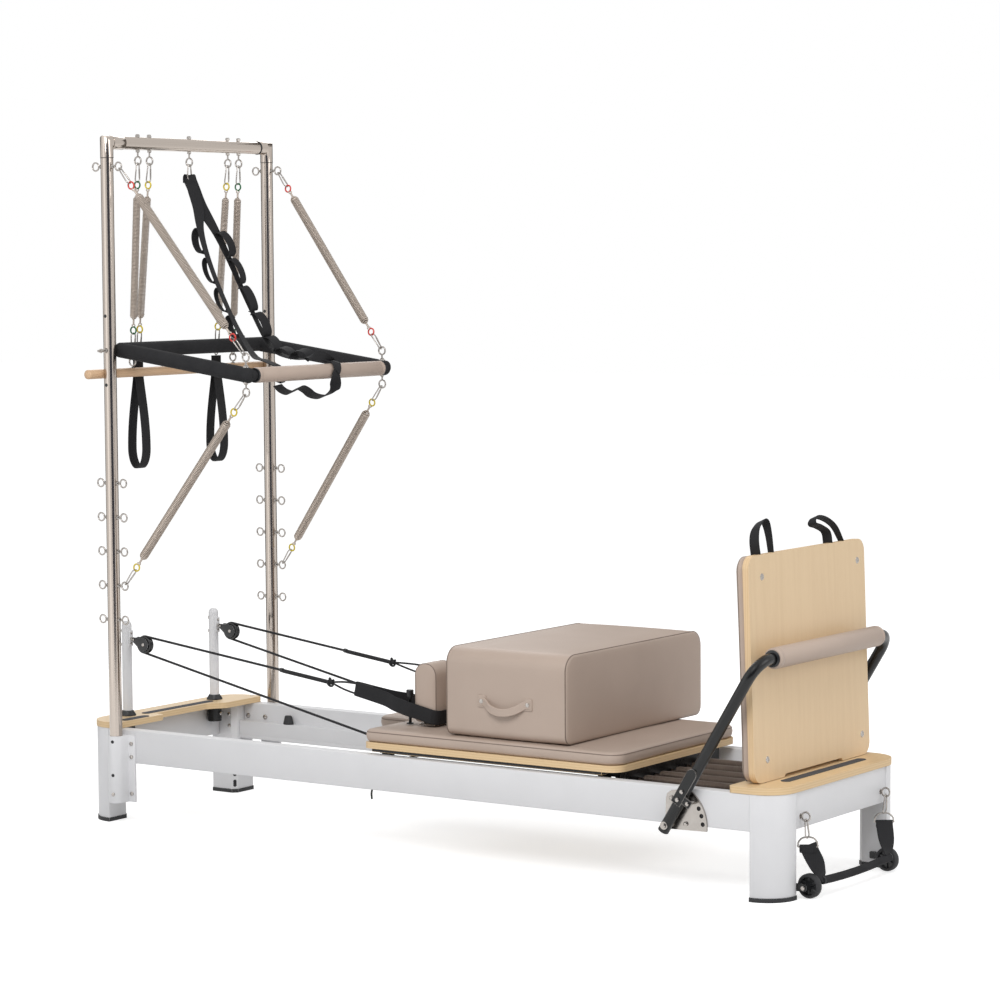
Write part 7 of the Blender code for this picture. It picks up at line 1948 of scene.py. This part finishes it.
def addHandleStrap(piece, side):
    # clip, flat wire ring and doubled strap on one side, turned a little outward
    size, drop, half = gripSize, gripSize["ringDrop"], gripSize["ring"]
    face = Vector((0.83, 0.56, 0.0)).normalized()
    toward = face.cross(up)  # the straps' outer face
    x, y = size["eyeX"] + eyeSize["radius"], side * beamFittings["eyeY"]
    hung = y - side * size["pulled"]
    start = Vector((x, y, beamFittings["eyeZ"] - clipSize["inside"]))
    ringTop = start.z - size["clip"] + clipSize["wire"] + 0.002 - clipSize["seat"]
    middle = Vector((x, hung, ringTop - drop / 2))
    addClip(piece, start, (middle - start).normalized(), sideways, size["clip"])
    dee = [(-half * 0.6, drop * 0.38), (-half * 0.95, 0.0), (-half, -drop * 0.3), (-half * 0.96, -drop / 2)]
    dee = [(0.0, drop / 2)] + dee + [(0.0, -drop * 0.51)] + [(-u, v) for u, v in reversed(dee)]
    ring = smoothPath([middle + face * u + up * v for u, v in dee], 4, closed=True)
    addTube(piece, ring, size["ringWire"], brightZinc, 10, closed=True)
    top = Vector((x, hung, ringTop - drop + 0.001))
    low = Vector((size["x"], side * (size["length"] / 2 - 0.008), size["z"] + size["radius"] * 0.5))
    stops = [top.lerp(low, t) + toward * 0.006 * math.sin(math.pi * t) for t in (0.2, 0.45, 0.7)]
    path = smoothPath([top + up * 0.004] + stops + [low], 6)
    last = Vector((-0.2, 0.98, 0.0))
    turns = [face.lerp(last, (k / (len(path) - 1)) ** 2) for k in range(len(path))]
    addRibbon(piece, path, turns, size["strap"], size["tape"], webbing)
    shape = ((-0.0035, -0.014), (-0.0035, -0.004), (0.0, 0.0045), (0.0035, -0.004), (0.0040, -0.016))
    fold = smoothPath([top + toward * u + up * v for u, v in shape], 5)
    addRibbon(piece, fold, [face], size["strap"] * 0.96, 0.002, webbing)
    for way in sides:
        seam = top + face * way * size["seamHalf"] + toward * 0.0054
        addStitches(piece, [seam - up * fall for fall in (0.004, 0.015)], webbing, 0.005, 0.0036, 0.0006)


def buildFootHandle():
    size = gripSize
    piece = newPiece()
    for side in sides:
        addHandleStrap(piece, side)
    path = []
    for k in range(25):
        share = k / 24
        z = size["z"] - size["sag"] * (1 - (2 * share - 1) ** 2)
        path.append(Vector((size["x"], size["length"] * (share - 0.5), z)))
    addTube(piece, path, size["radius"], foamSleeve, 22)
    cap = [(0, 0.0022), (0.0085, 0.002), (0.0108, 0.0008), (0.0112, -0.0015), (0, -0.0015)]
    for way, end in zip(sides, (path[0], path[-1])):
        addTurned(piece, cap, end, (0, way, 0), blackNylon, 22)
    finishPiece("footHandle", piece, "foot_handle", ("foot_handle",))


buildSittingBox()
buildFootBar()
buildFootBarPlates()
buildLatch()
buildJumpBoard()
buildTransportWheels()
buildFootHandle()
for node in ("carriage_frame", "spring_bar"):
    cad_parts[node].data.materials.clear()
    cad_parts[node].data.materials.append(blackSteel)
print("box, foot bar, jump board and handle done")


# floor, light and camera

studio = {"floorSize": 60.0, "glow": 0.62, "worldStrength": 0.60, "cardHeight": 3.6, "cardCentre": (-0.9, 0.0),
          "cards": ((14.0, 3.6, 2.9, "#4A4E5A", 1.0), (-52.0, 3.4, 1.9, "#FFFFFF", 1.7),
                    (-142.0, 3.4, 2.4, "#55524E", 1.0), (146.0, 3.4, 2.2, "#66625D", 1.0))}
lamps = {"keySoftbox": ((2.2, -5.0, 4.6), (0.0, 0.0, 0.7), (3.4, 2.6), 215.0),
         "fillSoftbox": ((6.0, 0.5, 3.2), (0.2, 0.0, 0.8), (3.0, 3.0), 62.0),
         "rimSoftbox": ((-3.5, 3.5, 4.2), (0.0, 0.0, 0.9), (3.0, 2.0), 60.0)}
cameraSpot = {"place": (5.214426, -7.526570, 1.705063), "azimuth": 34.390, "elevation": 4.447, "roll": -0.381,
              "lens": 114.757, "sensor": 36.0}


def emptyTree(owner):
    owner.use_nodes = True
    owner.node_tree.nodes.clear()
    return owner.node_tree


def seenOrLit(tree, lit, seen):
    # one look for what lights the object, another where the camera, a mirror image or glass shows it
    ray = addNode(tree, "ShaderNodeLightPath")
    direct = addNode(tree, "ShaderNodeMath", {"operation": "MAXIMUM"},
                     {0: ray.outputs["Is Camera Ray"], 1: ray.outputs["Is Glossy Ray"]})
    shown = addNode(tree, "ShaderNodeMath", {"operation": "MAXIMUM"},
                    {0: direct.outputs[0], 1: ray.outputs["Is Transmission Ray"]})
    links = {0: shown.outputs[0], 1: lit.outputs[0], 2: seen.outputs[0]}
    return addNode(tree, "ShaderNodeMixShader", {}, links).outputs[0]


def buildFloor():
    # seamless paper: lit softly, so that it keeps the object's shadow, and lifted to white for the camera
    paper = bpy.data.materials.new("seamless_paper_white")
    tree = emptyTree(paper)
    matt = addNode(tree, "ShaderNodeBsdfDiffuse", {"Color": linear("#DADADA")})
    glow = addNode(tree, "ShaderNodeEmission", {"Color": linear("#FFFFFF"), "Strength": studio["glow"]})
    both = addNode(tree, "ShaderNodeAddShader", {}, {0: matt.outputs[0], 1: glow.outputs[0]})
    plain = addNode(tree, "ShaderNodeBsdfDiffuse", {"Color": linear("#CFCFCF")})
    addNode(tree, "ShaderNodeOutputMaterial", {}, {"Surface": seenOrLit(tree, plain, both)})
    half = studio["floorSize"] / 2
    corners = [(-half, -half, 0), (half, -half, 0), (half, half, 0), (-half, half, 0)]
    mesh = plainMesh("studioFloor", corners, (), [(0, 1, 2, 3)])
    mesh.materials.append(paper)
    floor = addObject("studioFloor", mesh)


def buildWorld():
    world = bpy.data.worlds.new("studio")
    bpy.context.scene.world = world
    tree = emptyTree(world)
    daylight = {"Color": linear("#FFFFFF"), "Strength": studio["worldStrength"]}
    soft = addNode(tree, "ShaderNodeBackground", daylight)
    white = addNode(tree, "ShaderNodeBackground", {"Color": linear("#FFFFFF"), "Strength": 1.0})
    addNode(tree, "ShaderNodeOutputWorld", {}, {"Surface": seenOrLit(tree, soft, white)})


def buildCards():
    # cards round the tower, seen by reflections alone: without them a polished tube mirrors plain white
    for k, (azimuth, distance, width, tone, strength) in enumerate(studio["cards"]):
        paint = bpy.data.materials.new(f"studio_card_{k + 1}")
        tree = emptyTree(paint)
        glow = addNode(tree, "ShaderNodeEmission", {"Color": linear(tone), "Strength": strength})
        addNode(tree, "ShaderNodeOutputMaterial", {}, {"Surface": glow.outputs[0]})
        turn = math.radians(cameraSpot["azimuth"] + azimuth)
        middle = Vector((*studio["cardCentre"], 0.02)) + Vector((math.sin(turn), -math.cos(turn), 0)) * distance
        across = Vector((math.cos(turn), math.sin(turn), 0)) * width / 2
        high = up * studio["cardHeight"]
        corners = (middle - across, middle + across, middle + across + high, middle - across + high)
        mesh = plainMesh(f"studioCard{k + 1}", corners, (), [(0, 1, 2, 3)])
        mesh.materials.append(paint)
        card = addObject(f"studioCard{k + 1}", mesh)
        card.visible_camera = card.visible_diffuse = card.visible_shadow = card.visible_transmission = False


def addLamp(name, place, aim, size, power):
    data = bpy.data.lights.new(name, "AREA")
    data.shape = "RECTANGLE"
    data.size, data.size_y = size
    data.energy = power
    lamp = addObject(name, data)
    lamp.location = place
    lamp.rotation_euler = (Vector(aim) - Vector(place)).to_track_quat("-Z", "Y").to_euler()


def buildCamera():
    spot = cameraSpot
    a, e, r = (math.radians(spot[key]) for key in ("azimuth", "elevation", "roll"))
    back = Vector((math.sin(a) * math.cos(e), -math.cos(a) * math.cos(e), math.sin(e)))
    right = Vector((math.cos(a), math.sin(a), 0))
    upward = back.cross(right)
    turnedRight = right * math.cos(r) + upward * math.sin(r)
    turnedUp = -right * math.sin(r) + upward * math.cos(r)
    data = bpy.data.cameras.new("photoCamera")
    data.sensor_width = spot["sensor"]
    data.lens = spot["lens"]
    data.clip_end = 200
    camera = addObject("photoCamera", data)
    camera.matrix_world = axesPlace(Vector(spot["place"]), turnedRight, turnedUp, back)
    bpy.context.scene.camera = camera


buildFloor()
buildWorld()
buildCards()
for name, (place, aim, size, power) in lamps.items():
    addLamp(name, place, aim, size, power)
buildCamera()
view = bpy.context.scene.view_settings
view.view_transform = "Standard"
print("floor, light and camera done")
